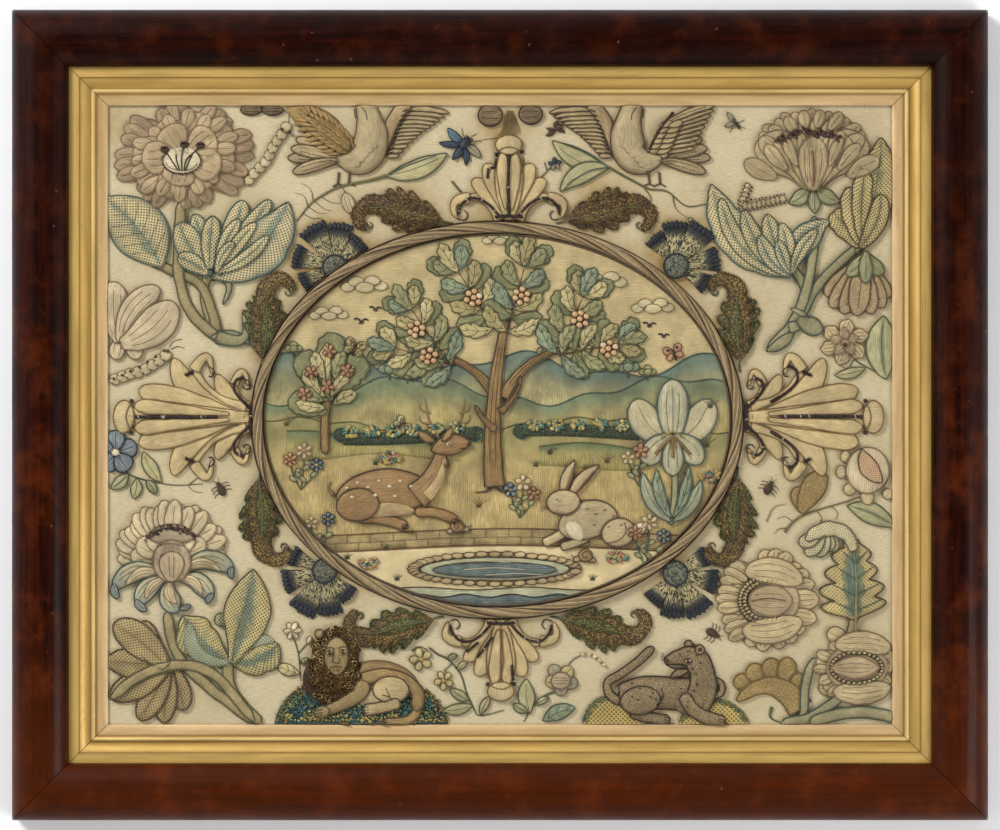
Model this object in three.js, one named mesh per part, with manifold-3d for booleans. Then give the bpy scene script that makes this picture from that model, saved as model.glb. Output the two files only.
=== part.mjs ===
// A framed panel of raised embroidery, lying on its back: +X right, +Y towards the top of the picture, +Z out of it.
// Sizes are in millimetres, and the origin is the middle of the frame's back plane.
import * as THREE from "three";
import { mergeVertices } from "three/addons/utils/BufferGeometryUtils.js";
import { ConvexGeometry } from "three/addons/geometries/ConvexGeometry.js";
import Module from "manifold-3d";

const wasm = await Module();
wasm.setup();

// Outside of the wood frame, and the widths of its two visible bands
const FRAME_WIDTH = 548;
const FRAME_HEIGHT = 455;
const WOOD_FACE = 32;
const SLIP_FACE = 21.5;
const SIGHT_WIDTH = FRAME_WIDTH - 2 * (WOOD_FACE + SLIP_FACE);
const SIGHT_HEIGHT = FRAME_HEIGHT - 2 * (WOOD_FACE + SLIP_FACE);
const GAP = 0.3;

// Wood moulding: a cushion between its outer wall and its inner lip, with a rebate behind the lip
const OUTER_WALL = 11;
const CROWN_AT = 16.5;
const CROWN = 24;
const LIP_TOP = 15.6;
const LIP_UNDER = 13.2;
const REBATE_AT = 26;
const CUSHION_STEPS = 7;
const CUSHION_POWER = 0.6;

// Layers that lie in the rebate, from the back
const BOARD_BACK = 2.6;
const BOARD_TOP = 6.4;
const GROUND_BACK = BOARD_TOP + GAP;
const GROUND_TOP = GROUND_BACK + 2;
const SLIP_BACK = GROUND_TOP + GAP;
const RELIEF_BASE = GROUND_TOP + GAP;

// The oval of couched cord round the middle picture
const OVAL = { x: -1.5, y: -2.8, rx: 135, ry: 108.3, half: 3.1, rise: 5.2, steps: 56 };

// How finely a padded lobe is faceted
const WIDE_LOBE = 10.2;
const NARROW_LOBE = 7.7;
const CURLED_LOBE = 0.4;
const FACET_TOLERANCE = 0.1;
const CUTTER_MARGIN = 0.45;
const CUTTER_HEIGHT = 20;
const SIGHT_CLEARANCE = 0.35;

const COLOURS = {
  wood: [0x3a1c12, 0.3],
  gilt: [0xc09a4a, 0.4],
  board: [0x8a6a48, 0.8],
  satin: [0xd9cdb4, 0.6],
  cord: [0x8b755c, 0.5],
  cream: [0xcdb995, 0.7],
  taupe: [0xa8947c, 0.75],
  moss: [0x5b5233, 0.85],
  navy: [0x3a4150, 0.8],
  green: [0x8c8f70, 0.75],
  teal: [0x5f7f7c, 0.75],
  gold: [0xb59a58, 0.7],
  brown: [0x7a6144, 0.75],
  blue: [0x4d6a94, 0.7],
};

// Half-width along a lobe, from its root at 0 to its tip at 1, as a share of the widest
const WIDTHS = {
  leaf: (t) => Math.sin(Math.PI * t) ** 0.8,
  pod: (t) => Math.sqrt(Math.max(0, 1 - (2 * t - 1) ** 2)),
  petal: (t) =>
    t < 0.6
      ? 0.3 + 0.7 * Math.sin(((Math.PI / 2) * t) / 0.6)
      : Math.sqrt(Math.max(0, 1 - ((t - 0.6) / 0.4) ** 2)),
  fan: (t) => (t < 0.85 ? 0.25 + (0.75 * t) / 0.85 : Math.sqrt(Math.max(0, 1 - ((t - 0.85) / 0.15) ** 2))),
  stem: (t) => Math.sqrt(Math.min(1, t / 0.06, (1 - t) / 0.06)),
  horn: (t) => (1 - 0.65 * t) * Math.sqrt(Math.min(1, (1 - t) / 0.1)),
};

// Every table of lobes below has these columns:
// kind, root x, root y, tip x, tip y, bow (sideways, as a share of the length), half-width, rise

// The acanthus leaf grows along +X from the cord, with its full side on +Y and its curl on -Y
const ACANTHUS = [
  ["leaf", 4, 0, 44, 6, 0.05, 11, 3],
  ["petal", 8, 2, 18, 17, -0.1, 5.6, 2.2],
  ["petal", 16, 4, 27, 19, -0.1, 6, 2.4],
  ["petal", 25, 6, 37, 16, -0.1, 5.6, 2.4],
  ["horn", 28, 6, 49, 1, 0.25, 6.8, 2.8],
  ["horn", 48.2, 2.4, 42, -6, 0.4, 2.6, 2],
  ["petal", 11, 0, 19, -9, 0.1, 5, 2],
  ["petal", 20, 1, 30, -7, 0.1, 5, 2.2],
];
// root x, root y, turn in degrees, side that the full edge is on
const ACANTHUS_PLACES = [
  [-29, 109.5, 180, -1],
  [34, 109.5, 0, 1],
  [-134, 27, 74, 1],
  [136, 27, 106, -1],
  [-136.5, -32, -74, -1],
  [135, -32, -107, 1],
  [-34, -115, 181, 1],
  [31, -115, 0, -1],
];

// The carnation opens along +X from an eye beside the cord
const CARNATION_EYE = ["pod", -7, 0, 7, 0, 0, 7, 3.2];
// petal's turn in degrees, reach, half-width
const CARNATION_PETALS = [
  [-80, 21, 5.8],
  [-44, 25, 6.8],
  [-6, 27, 8],
  [38, 24.5, 6.8],
  [79, 21, 5.6],
];
// x, y, turn in degrees, side
const CARNATION_PLACES = [
  [-92.8, 83, 126, 1],
  [98.9, 83.8, 48, -1],
  [-98.5, -87.5, -126, -1],
  [98.5, -89, -50, 1],
];

// One side of each palmette, along +X from the cord. The other side is its mirror image
const LONG_PALMETTE = [
  ["petal", 10, 1, 65, 15.5, -0.03, 8.4, 2.4],
  ["petal", 8, 2, 45.5, 33, -0.17, 6.6, 2.4],
  ["horn", 5, 3, 34, 28, -0.16, 5.8, 2.6],
  ["horn", 34, 26, 24, 23.5, -0.9, 3.4, 2.2],
  ["petal", 3, 3, 21, 24, -0.12, 4.6, 2],
  ["horn", 0.6, 4, 11.5, 20, -0.2, 4.2, 2.6],
  ["horn", 11.5, 18, 3.6, 17, -1.0, 2.8, 2.2],
];
const SHORT_PALMETTE = [
  ["petal", 5, 3, 31.5, 14, -0.08, 6, 2.4],
  ["petal", 3, 4, 22.5, 21, -0.1, 5.2, 2.2],
  ["horn", 0.6, 4, 12.6, 25, -0.22, 4.8, 2.6],
  ["horn", 12.4, 22, 1, 29, -0.45, 3.4, 2.2],
];
// name, root x, root y, turn, side rows, shaft's kind, length and half-width, knob's middle and half-length
const PALMETTE_PLACES = [
  ["palmette_west", -137.9, -1, 180, LONG_PALMETTE, "fan", 70, 10, 73.5, 6],
  ["palmette_east", 136.2, -1, 0, LONG_PALMETTE, "fan", 70, 10, 73.5, 6],
  ["palmette_north", 5, 109.4, 90, SHORT_PALMETTE, "petal", 41, 8.2, 42.5, 5.6],
  ["palmette_south", 0.5, -114.8, -90, SHORT_PALMETTE, "petal", 40, 8.2, 40.5, 5.6],
];

// Round flowers: name, colour, x, y, x radius, y radius, outer petals, inner petals, eye radius, rise
const ROUND_FLOWERS = [
  ["rose_top_left", "taupe", -177.5, 146, 40.5, 30, 8, 5, 7.5, 3.2],
  ["rose_right", "taupe", 149, -104.5, 28.5, 29, 8, 0, 11, 3],
  ["rose_corner", "taupe", 199.5, -142, 24, 19.5, 7, 0, 8.5, 3],
  ["star_flower", "taupe", 193.5, 41, 14, 13, 6, 0, 4, 2.2],
  ["blue_flower", "blue", -216, -21, 12.5, 12.5, 5, 0, 2.6, 2.2],
];

// Free flowers, each a table of lobes in the panel's own place
const PEONY = [
  ["petal", 175, 143, 145, 162, 0.1, 8, 2],
  ["petal", 175, 144, 158, 172, 0.05, 9, 2],
  ["petal", 176, 145, 177, 176, 0, 9, 2],
  ["petal", 177, 144, 194, 172, -0.05, 9, 2],
  ["petal", 177, 143, 206, 162, -0.1, 8, 2],
  ["petal", 173, 128, 141.5, 150, -0.22, 12.5, 2.8],
  ["petal", 178, 128, 209, 152, 0.22, 12.5, 2.8],
  ["petal", 175.5, 126, 175.5, 158, 0, 13.5, 3.4],
  ["leaf", 174, 128, 162, 119, 0.1, 4.4, 2],
  ["leaf", 176.5, 128, 177, 113, 0, 4, 2],
  ["leaf", 178, 128, 191, 120, -0.1, 4.4, 2],
];
const TULIP = [
  ["petal", -214, 41, -216, 75, 0.06, 8.5, 2.4],
  ["petal", -213, 41, -191, 71, 0.14, 7.5, 2.4],
  ["petal", -213, 40, -184, 64, -0.12, 10.5, 3],
  ["petal", -214, 44, -216, 31, 0, 4.6, 2],
  ["petal", -209, 43, -203, 31.5, 0, 4.6, 2],
];
const BELL = [
  ["petal", 204, 86, 185, 60, 0.12, 7, 2.4],
  ["petal", 204, 86, 195, 57, 0.06, 5.6, 2.6],
  ["petal", 205, 86, 205, 56, 0, 5.6, 2.8],
  ["petal", 206, 86, 214, 58, -0.06, 5.6, 2.6],
];
const POMEGRANATE = [
  ["pod", 206.5, -44, 206.5, -18, 0, 12.5, 3.6],
  ["pod", 191, -23, 197, -24, 0, 3.6, 2],
  ["pod", 188.5, -32, 195, -32, 0, 3.8, 2],
  ["pod", 193.5, -44, 200, -39, 0, 3.6, 2],
  ["pod", 206.5, -50.5, 206.5, -42, 0, 4, 2],
];
// Ring of back petals: middle x and y, first and last turn in degrees, reach, half-width, rise
const DAISY_RING = [-184.5, -80, 176, 8, 31.5, 6.8, 2.4];
const DAISY_RING_PETALS = 8;
const DAISY_FRONT = [
  ["pod", -184.2, -94, -184.2, -70, 0, 10.8, 3.6],
  ["petal", -189, -90, -217, -98, -0.22, 5.8, 2.4],
  ["petal", -187, -92, -203, -107, -0.16, 5.6, 2.4],
  ["petal", -185, -93, -180, -110, -0.2, 6, 2.6],
  ["petal", -181, -92, -163, -104, 0.22, 5.6, 2.4],
  ["petal", -178, -88, -150, -88, 0.24, 5.8, 2.4],
];

const SPRIG_TOP_LEFT = [
  ["stem", -179, 121, -180.5, 74, 0.02, 2.9, 2.4],
  ["stem", -180.8, 77, -158, 42, 0.14, 3.2, 2.6],
  ["leaf", -163, 43, -140, 40, 0.1, 3.8, 2.2],
  ["stem", -197, 87, -163, 66, -0.1, 2.8, 2.4],
  ["stem", -166, 71, -158, 42, -0.06, 2.8, 2.4],
  ["stem", -163, 80, -165, 62, 0.1, 2.6, 2.4],
  ["horn", -159, 44, -145, 58, -0.55, 4, 2.2],
  ["leaf", -190, 83, -221, 122, -0.06, 16, 2.8],
  ["petal", -163, 78, -180, 108, 0.04, 8, 2.8],
  ["petal", -164, 79, -181, 89, -0.06, 5.2, 2.4],
  ["petal", -163, 82, -161, 112, 0.02, 5.6, 2.6],
  ["leaf", -162, 77, -119, 120, -0.14, 13.5, 3],
  ["petal", -157, 86, -144, 120.5, -0.02, 7, 2.8],
];
const SPRIG_TOP_RIGHT = [
  ["stem", 176.8, 112, 170.5, 56, 0.01, 2.8, 2.4],
  ["stem", 163, 84, 171, 56, -0.1, 2.6, 2.4],
  ["stem", 202, 95, 175, 62, -0.06, 2.8, 2.4],
  ["stem", 172.5, 66, 162, 47, -0.05, 3, 2.4],
  ["leaf", 166, 48, 149, 36, 0.08, 3.4, 2],
  ["horn", 162, 49, 163, 60, -0.8, 3.2, 2],
  ["petal", 167, 54, 181.5, 48, -0.05, 5.4, 2.2],
  ["leaf", 164, 78, 118.7, 130, 0.13, 11.5, 3],
  ["petal", 162, 79, 145, 112, 0.04, 8.5, 2.8],
  ["petal", 163, 80, 156.5, 108, -0.04, 6, 2.6],
  ["leaf", 163, 78, 185, 109, 0.14, 8, 2.6],
  ["leaf", 200, 90, 214.5, 156, -0.04, 12, 3],
  ["petal", 203, 98, 205, 138, 0.03, 6, 2.6],
  ["petal", 202, 96, 197, 128, 0.04, 6.6, 2.6],
  ["petal", 202, 94, 187, 114, -0.04, 7.6, 2.4],
];
const SPRIG_BOTTOM_LEFT = [
  ["stem", -187, -110, -180, -139, 0.04, 3, 2.6],
  ["stem", -181, -136, -137, -173, 0.03, 3.2, 2.6],
  ["stem", -188, -141, -146, -166, -0.2, 2.9, 2.4],
  ["stem", -152.3, -136, -134, -172, 0.06, 3, 2.6],
  ["leaf", -151, -139, -138.6, -87.5, -0.03, 13, 3.2],
  ["petal", -151, -137, -177, -117, 0.12, 11, 2.8],
  ["petal", -151, -139, -125, -130, -0.16, 9, 2.8],
  ["petal", -187, -141, -217, -117, -0.04, 9, 2.6],
  ["petal", -187, -141, -199, -115.5, 0.14, 6.8, 2.6],
  ["petal", -186, -141, -221, -138, 0, 8, 2.6],
  ["petal", -186, -141, -219, -158, 0.03, 8, 2.6],
  ["petal", -186, -141, -203, -171, 0.03, 7, 2.6],
  ["petal", -186, -141, -189, -173, 0, 6.4, 2.6],
  ["petal", -186, -141, -178, -166, 0.06, 6.2, 2.4],
];
const OAK_LEAF = [
  ["stem", 199.5, -111, 196.5, -124, 0, 2.4, 2.2],
  ["leaf", 199.5, -114, 199.5, -70, 0.03, 9, 2.6],
  ["petal", 199, -92, 186, -79.5, 0.1, 4.6, 2.4],
  ["petal", 199, -98, 183.5, -90, 0.06, 4.2, 2.4],
  ["petal", 199, -106, 180.5, -101.5, 0.04, 5.4, 2.4],
  ["petal", 200, -90, 208, -73, -0.1, 4.6, 2.4],
  ["petal", 200, -99, 214.5, -83, -0.08, 5, 2.4],
  ["petal", 200, -107, 220, -98, -0.06, 5.6, 2.4],
];
const SCALLOP_LEAF = [
  ["horn", 169, -165, 133, -161, -0.3, 7.6, 2.2],
  ["petal", 143, -153, 131.5, -148, 0, 5, 2],
  ["petal", 148, -152, 140.5, -140, 0, 5.4, 2.2],
  ["petal", 154, -151, 151.5, -136.5, 0, 5.6, 2.2],
  ["petal", 160, -153, 162, -136, 0, 5.6, 2.2],
  ["petal", 164, -156, 169.5, -145, 0, 4.4, 2],
];
const CURLED_LEAF = [
  ["leaf", 204, -78, 168.5, -71, -0.26, 7.6, 2.4],
  ["petal", 177, -68, 176, -79, 0.1, 4.6, 2],
  ["petal", 186, -66, 184.5, -77, 0.1, 4.6, 2],
];
const STEMS_BOTTOM_RIGHT = [
  ["stem", 170, -173, 178, -137, -0.06, 2.5, 2.4],
  ["stem", 158, -173.5, 193, -157, -0.08, 3, 2.4],
  ["stem", 180, -171, 222, -169, 0.06, 3.4, 2.6],
];
const LEAF_GOLD = [
  ["petal", 169, -55, 182.5, -32, 0.04, 7, 2.2],
  ["petal", 169, -54, 167, -40, 0, 4.6, 2],
];
const LEAF_LOW = [["leaf", 195, -51, 222, -63, 0.06, 6, 2.2]];
const LEAF_EDGE = [["leaf", 217, 20, 216, 56, 0.06, 9, 2.2]];

// A bird with its back to the middle: a wing raised on either side and a fanned tail on +X
const BIRD = [
  ["pod", 4, -20, -1, 26, -0.06, 12, 3.8],
  ["leaf", 7, -4, 44, 20, 0.08, 8.5, 2.8],
  ["horn", -6, -8, -15, 26, 0.1, 5.6, 2.6],
  ["leaf", -8, -4, -44, 19, -0.06, 4, 2],
  ["leaf", -8, -5, -39, 11, -0.06, 3.6, 2],
  ["leaf", -8, -6, -33, 3, -0.04, 3.4, 2],
  ["petal", 8, -9, 44, 4, 0.06, 3.8, 2.2],
  ["petal", 8, -10, 46, -5, 0.02, 3.8, 2.2],
  ["petal", 8, -11, 41, -17, -0.04, 3.8, 2.2],
];
// name, x, y, side that the tail is on
const BIRD_PLACES = [
  ["bird_left", -77, 152, -1],
  ["bird_right", 76, 152, 1],
];

const LION_HILL = [
  ["pod", -127, -177, -72, -177, 0, 27, 2],
  ["pod", -88, -177, -29, -177, 0, 27, 2],
];
const LION = [
  ["pod", -92.5, -150, -92.5, -119, 0, 13.5, 4.6],
  ["pod", -95.5, -163, -95.5, -134, 0, 15.5, 4.4],
  ["pod", -90, -152, -46, -155, 0.12, 10.5, 3.8],
  ["pod", -72, -155, -50, -156, 0, 8, 4.6],
  ["stem", -78, -153, -103, -167, -0.02, 3.6, 3.4],
  ["stem", -56, -161, -77, -167, -0.02, 3.2, 3.2],
  ["stem", -49, -152, -60, -172, -0.3, 2.4, 3],
];
const LEOPARD_HILL_LEFT = [["pod", 46, -177, 82, -177, 0, 20, 2]];
const LEOPARD_HILL_RIGHT = [["pod", 100, -177, 140, -177, 0, 17, 2]];
const LEOPARD = [
  ["pod", 67, -160, 118, -158, 0.12, 9, 3.8],
  ["pod", 70, -162, 89, -158, 0, 7.6, 4.4],
  ["pod", 99, -163, 118, -160, 0, 9.5, 4.2],
  ["stem", 113, -162, 111, -135, 0, 6.8, 4],
  ["pod", 96, -137, 117, -134, 0, 7.4, 4.4],
  ["stem", 103, -168, 127, -173, 0.04, 3.4, 3.4],
  ["stem", 73, -166, 95, -172.5, 0, 3.4, 3],
  ["stem", 72, -160, 66, -149, -0.45, 2.6, 2.8],
  ["stem", 65, -150.5, 86, -131, -0.1, 2.6, 2.8],
];

// The garden inside the oval
const TREE = [
  ["horn", -3, -40, 4, 56, 0.04, 6, 3.2],
  ["horn", 0, 4, -36, 34, -0.14, 3.4, 2.6],
  ["horn", 2, 10, 42, 38, 0.14, 3.4, 2.6],
];
// Clumps of its leaves: root x, root y, tip x, tip y, half-width
const TREE_CLUMPS = [
  [-27, 28, -66, 40, 12],
  [-30, 30, -54, 66, 12],
  [-3, 48, -28, 88, 13],
  [4, 46, 16, 92, 13],
  [32, 34, 50, 74, 13],
  [34, 34, 74, 42, 12],
];
const TREE_CLUMP_RISE = 2.6;
const BUSH = [
  ["stem", -98, -22, -96, 14, 0.04, 2.4, 2.4],
  ["petal", -97, 8, -113, 34, -0.05, 9, 2.6],
  ["petal", -96, 10, -94, 46, 0, 9.5, 2.8],
  ["petal", -95, 8, -76, 32, 0.05, 9, 2.6],
  ["petal", -97, 2, -118, 10, 0.05, 7, 2.4],
];
const STAG = [
  ["pod", -92, -48, -38, -44, 0.06, 12.5, 3.8],
  ["pod", -92, -52, -68, -49, 0, 9.5, 4.4],
  ["horn", -47, -46, -33, -16, -0.12, 8, 4],
  ["leaf", -39, -20, -16, -16, 0.06, 6, 4.2],
  ["stem", -48, -55, -24, -60, 0.1, 2.8, 3],
  ["stem", -80, -58, -52, -63, 0.06, 3, 3],
];
const HARE = [
  ["pod", 34, -66, 66, -58, 0.1, 11, 3.8],
  ["pod", 57, -68, 76, -64, 0, 8.4, 4.2],
  ["pod", 26, -50, 45, -48, 0, 7.2, 4.4],
  ["leaf", 38, -48, 56, -28, 0.08, 3.4, 2.8],
  ["leaf", 35, -47, 42, -25, 0.05, 3.2, 2.8],
  ["stem", 38, -64, 24, -72, 0.05, 2.8, 3],
];
const IRIS = [
  ["stem", 96, -62, 97, -14, -0.04, 2, 2.2],
  ["petal", 97, -16, 97, 20, 0, 9, 3.4],
  ["petal", 97, -15, 77, 9, 0.14, 9, 3],
  ["petal", 97, -15, 117, 9, -0.14, 9, 3],
  ["petal", 97, -12, 82, -28, -0.1, 7, 2.8],
  ["petal", 97, -12, 112, -28, 0.1, 7, 2.8],
  ["leaf", 96, -60, 80, -32, 0.1, 4.4, 2.2],
  ["leaf", 97, -60, 113, -36, -0.1, 4.4, 2.2],
];

// A point of a spine that runs from root to tip, bowed to its left by a share of its length.
function spineOf([, x0, y0, x1, y1, bow]) {
  const root = new THREE.Vector2(x0, y0);
  const tip = new THREE.Vector2(x1, y1);
  const along = tip.clone().sub(root);
  const middle = root.clone().add(tip).multiplyScalar(0.5);
  const control = middle.add(new THREE.Vector2(-along.y, along.x).multiplyScalar(2 * bow));
  return new THREE.QuadraticBezierCurve(root, control, tip);
}

// Stations along a lobe, closer together near both ends where the width changes fastest.
function stationsOf([, , , , , bow, widest]) {
  const count = widest < WIDE_LOBE && Math.abs(bow) < CURLED_LOBE ? 3 : 4;
  return Array.from({ length: count }, (_, i) => (1 - Math.cos((Math.PI * (i + 0.5)) / count)) / 2);
}

// A closed surface over a run of rings, each a list of points, between a point at either end.
function skin(rings, first, last) {
  const points = [first, ...rings.flat(), last];
  const size = rings[0].length;
  const faces = [];
  const at = (ring, i) => 1 + ring * size + (i % size);
  for (let i = 0; i < size; i += 1) {
    faces.push(0, at(0, i + 1), at(0, i));
    faces.push(points.length - 1, at(rings.length - 1, i), at(rings.length - 1, i + 1));
    for (let ring = 0; ring + 1 < rings.length; ring += 1) {
      faces.push(at(ring, i), at(ring, i + 1), at(ring + 1, i + 1));
      faces.push(at(ring, i), at(ring + 1, i + 1), at(ring + 1, i));
    }
  }
  const geometry = new THREE.BufferGeometry();
  geometry.setAttribute("position", new THREE.Float32BufferAttribute(points.flat(), 3));
  geometry.setIndex(faces);
  return geometry;
}

// The rings of points across a lobe: each is its spine's place, the way across it, and its half-width.
function stationsAlong(row) {
  const [kind, , , , , , widest] = row;
  const spine = spineOf(row);
  return stationsOf(row).map((t) => {
    const tangent = spine.getTangent(t);
    const share = WIDTHS[kind](t);
    return { place: spine.getPoint(t), across: new THREE.Vector2(-tangent.y, tangent.x), half: widest * share, share };
  });
}

// One padded lobe with a flat underside at z = 0.
function lobe(row) {
  const [, x0, y0, x1, y1, , widest, rise] = row;
  const arcs = widest < NARROW_LOBE ? 2 : 3;
  const rings = stationsAlong(row).map(({ place, across, half, share }) =>
    Array.from({ length: arcs + 1 }, (_, j) => {
      const angle = (Math.PI * j) / arcs;
      const side = half * Math.cos(angle);
      return [place.x + across.x * side, place.y + across.y * side, rise * (0.35 + 0.65 * share) * Math.sin(angle)];
    }),
  );
  return solidOf(skin(rings, [x0, y0, 0], [x1, y1, 0]));
}

// A tall block over the space between some places on the ground.
function blockOver(places) {
  const corners = places.flatMap(({ x, y }) => [new THREE.Vector3(x, y, -1), new THREE.Vector3(x, y, CUTTER_HEIGHT)]);
  return solidOf(new ConvexGeometry(corners));
}

// The tall wall-sided solid that clears one lobe by the cutters' margin.
function lobeCutter(row) {
  const spine = spineOf(row);
  const beyond = (t) => spine.getTangent(t).multiplyScalar((t ? 1 : -1) * CUTTER_MARGIN).add(spine.getPoint(t));
  const edges = stationsAlong(row).map(({ place, across, half }) =>
    [1, -1].map((sign) => across.clone().multiplyScalar(sign * (half + CUTTER_MARGIN)).add(place)),
  );
  const stops = [[beyond(0)], ...edges, [beyond(1)]];
  return joined(stops.slice(1).map((stop, i) => blockOver([...stops[i], ...stop])));
}

// A geometry as a solid that can be joined and cut.
function solidOf(geometry) {
  const bare = new THREE.BufferGeometry();
  bare.setAttribute("position", geometry.getAttribute("position"));
  if (geometry.index) bare.setIndex(geometry.index);
  const merged = mergeVertices(bare, 1e-4);
  return new wasm.Manifold(
    new wasm.Mesh({
      numProp: 3,
      vertProperties: merged.attributes.position.array,
      triVerts: new Uint32Array(merged.index.array),
    }),
  );
}

function geometryOf(solid) {
  const { numProp, vertProperties, triVerts } = solid.getMesh();
  const places = new Float32Array((vertProperties.length / numProp) * 3);
  for (let i = 0; i * 3 < places.length; i += 1) {
    places.set(vertProperties.subarray(i * numProp, i * numProp + 3), i * 3);
  }
  const geometry = new THREE.BufferGeometry();
  geometry.setAttribute("position", new THREE.BufferAttribute(places, 3));
  geometry.setIndex(new THREE.BufferAttribute(new Uint32Array(triVerts), 1));
  return geometry;
}

function joined(solids) {
  return solids.reduce((whole, piece) => whole.add(piece));
}

// Rows moved from their own place to x, y, turned, and mirrored where side is -1.
function placed(rows, x, y, turn = 0, side = 1) {
  const angle = THREE.MathUtils.degToRad(turn);
  const move = (px, py) => [
    x + px * Math.cos(angle) - side * py * Math.sin(angle),
    y + px * Math.sin(angle) + side * py * Math.cos(angle),
  ];
  return rows.map(([kind, x0, y0, x1, y1, bow, half, rise]) => [
    kind, ...move(x0, y0), ...move(x1, y1), side * bow, half, rise,
  ]);
}

// The mirror image of rows across their own X axis, and across their own Y axis.
function mirrored(rows) {
  return rows.map(([kind, x0, y0, x1, y1, bow, half, rise]) => [kind, x0, -y0, x1, -y1, -bow, half, rise]);
}

function flipped(rows) {
  return rows.map(([kind, x0, y0, x1, y1, bow, half, rise]) => [kind, -x0, y0, -x1, y1, -bow, half, rise]);
}

function roundFlower([, , x, y, rx, ry, outer, inner, eye, rise]) {
  const rows = [];
  const ring = (count, reach, level, offset) => {
    for (let i = 0; i < count; i += 1) {
      const angle = (2 * Math.PI * (i + offset)) / count;
      const half = ((Math.PI * reach * (rx + ry)) / 2 / count) * 0.73;
      const at = (share) => [x + share * rx * Math.cos(angle), y + share * ry * Math.sin(angle)];
      rows.push(["petal", ...at(0.1), ...at(reach), 0, half, level]);
    }
  };
  ring(outer, 1, rise * 0.75, 0.25);
  ring(inner, 0.58, rise * 0.95, 0.6);
  rows.push(["pod", x - eye, y, x + eye, y, 0, eye * 0.85, rise * 1.15]);
  return rows;
}

function carnation() {
  const petals = CARNATION_PETALS.map(([turn, reach, half]) => {
    const [c, s] = [Math.cos(THREE.MathUtils.degToRad(turn)), Math.sin(THREE.MathUtils.degToRad(turn))];
    return ["fan", 4 * c, 4 * s, reach * c, reach * s, 0, half, 2.4];
  });
  return [CARNATION_EYE, ...petals];
}

function palmette([, x, y, turn, side, kind, length, half, knobAt, knob]) {
  const shaft = [kind, 0, 0, length, 0, 0, half, 2.8];
  const cap = ["pod", knobAt - knob, 0, knobAt + knob, 0, 0, half * 0.95, 3.2];
  return placed([...side, ...mirrored(side), shaft, cap], x, y, turn);
}

function daisy() {
  const [x, y, first, last, reach, half, rise] = DAISY_RING;
  const ring = Array.from({ length: DAISY_RING_PETALS }, (_, i) => {
    const angle = THREE.MathUtils.degToRad(first + ((last - first) * i) / (DAISY_RING_PETALS - 1));
    const [c, s] = [Math.cos(angle), Math.sin(angle)];
    return ["petal", x + 6 * c, y + 6 * s, x + reach * c, y + reach * s, 0, half, rise];
  });
  return [...ring, ...DAISY_FRONT];
}

function tree() {
  const clumps = TREE_CLUMPS.map(([x0, y0, x1, y1, half]) => ["petal", x0, y0, x1, y1, 0.06, half, TREE_CLUMP_RISE]);
  return [...TREE, ...clumps];
}

// The oval cord as one closed ring with a flat underside. With extra, its wall-sided cutter.
function ovalCord(extra = 0) {
  const { x, y, rx, ry, half, rise, steps } = OVAL;
  const wide = half + extra;
  const section = extra
    ? [[wide, CUTTER_HEIGHT], [-wide, CUTTER_HEIGHT], [-wide, -1], [wide, -1]]
    : Array.from({ length: 5 }, (_, j) => [half * Math.cos((Math.PI * j) / 4), rise * Math.sin((Math.PI * j) / 4)]);
  const places = [];
  for (let i = 0; i < steps; i += 1) {
    const angle = (2 * Math.PI * i) / steps;
    const out = new THREE.Vector2(Math.cos(angle) / rx, Math.sin(angle) / ry).normalize();
    section.forEach(([side, z]) => {
      places.push(x + rx * Math.cos(angle) + out.x * side, y + ry * Math.sin(angle) + out.y * side, z);
    });
  }
  const faces = [];
  const size = section.length;
  const at = (i, j) => (i % steps) * size + (j % size);
  for (let i = 0; i < steps; i += 1) {
    for (let j = 0; j < size; j += 1) {
      faces.push(at(i, j), at(i + 1, j), at(i + 1, j + 1), at(i, j), at(i + 1, j + 1), at(i, j + 1));
    }
  }
  const geometry = new THREE.BufferGeometry();
  geometry.setAttribute("position", new THREE.Float32BufferAttribute(places, 3));
  geometry.setIndex(faces);
  return solidOf(geometry);
}

// The space inside the oval, as a tall plug that keeps the picture within the cord.
function ovalPlug() {
  const plug = new THREE.CylinderGeometry(1, 1, CUTTER_HEIGHT, OVAL.steps);
  const inset = OVAL.half + CUTTER_MARGIN;
  plug.rotateX(Math.PI / 2).scale(OVAL.rx - inset, OVAL.ry - inset, 1).translate(OVAL.x, OVAL.y, CUTTER_HEIGHT / 2 - 1);
  return solidOf(plug);
}

function sightBlock() {
  const clear = 2 * SIGHT_CLEARANCE;
  const block = new THREE.BoxGeometry(SIGHT_WIDTH - clear, SIGHT_HEIGHT - clear, CUTTER_HEIGHT);
  return solidOf(block.translate(0, 0, CUTTER_HEIGHT / 2 - 1));
}

function meshOf(name, colour, geometry) {
  const [hex, roughness] = COLOURS[colour];
  const material = new THREE.MeshStandardMaterial({ color: hex, roughness, metalness: colour === "gilt" ? 0.6 : 0 });
  const mesh = new THREE.Mesh(geometry, material);
  mesh.name = name;
  return mesh;
}

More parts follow.
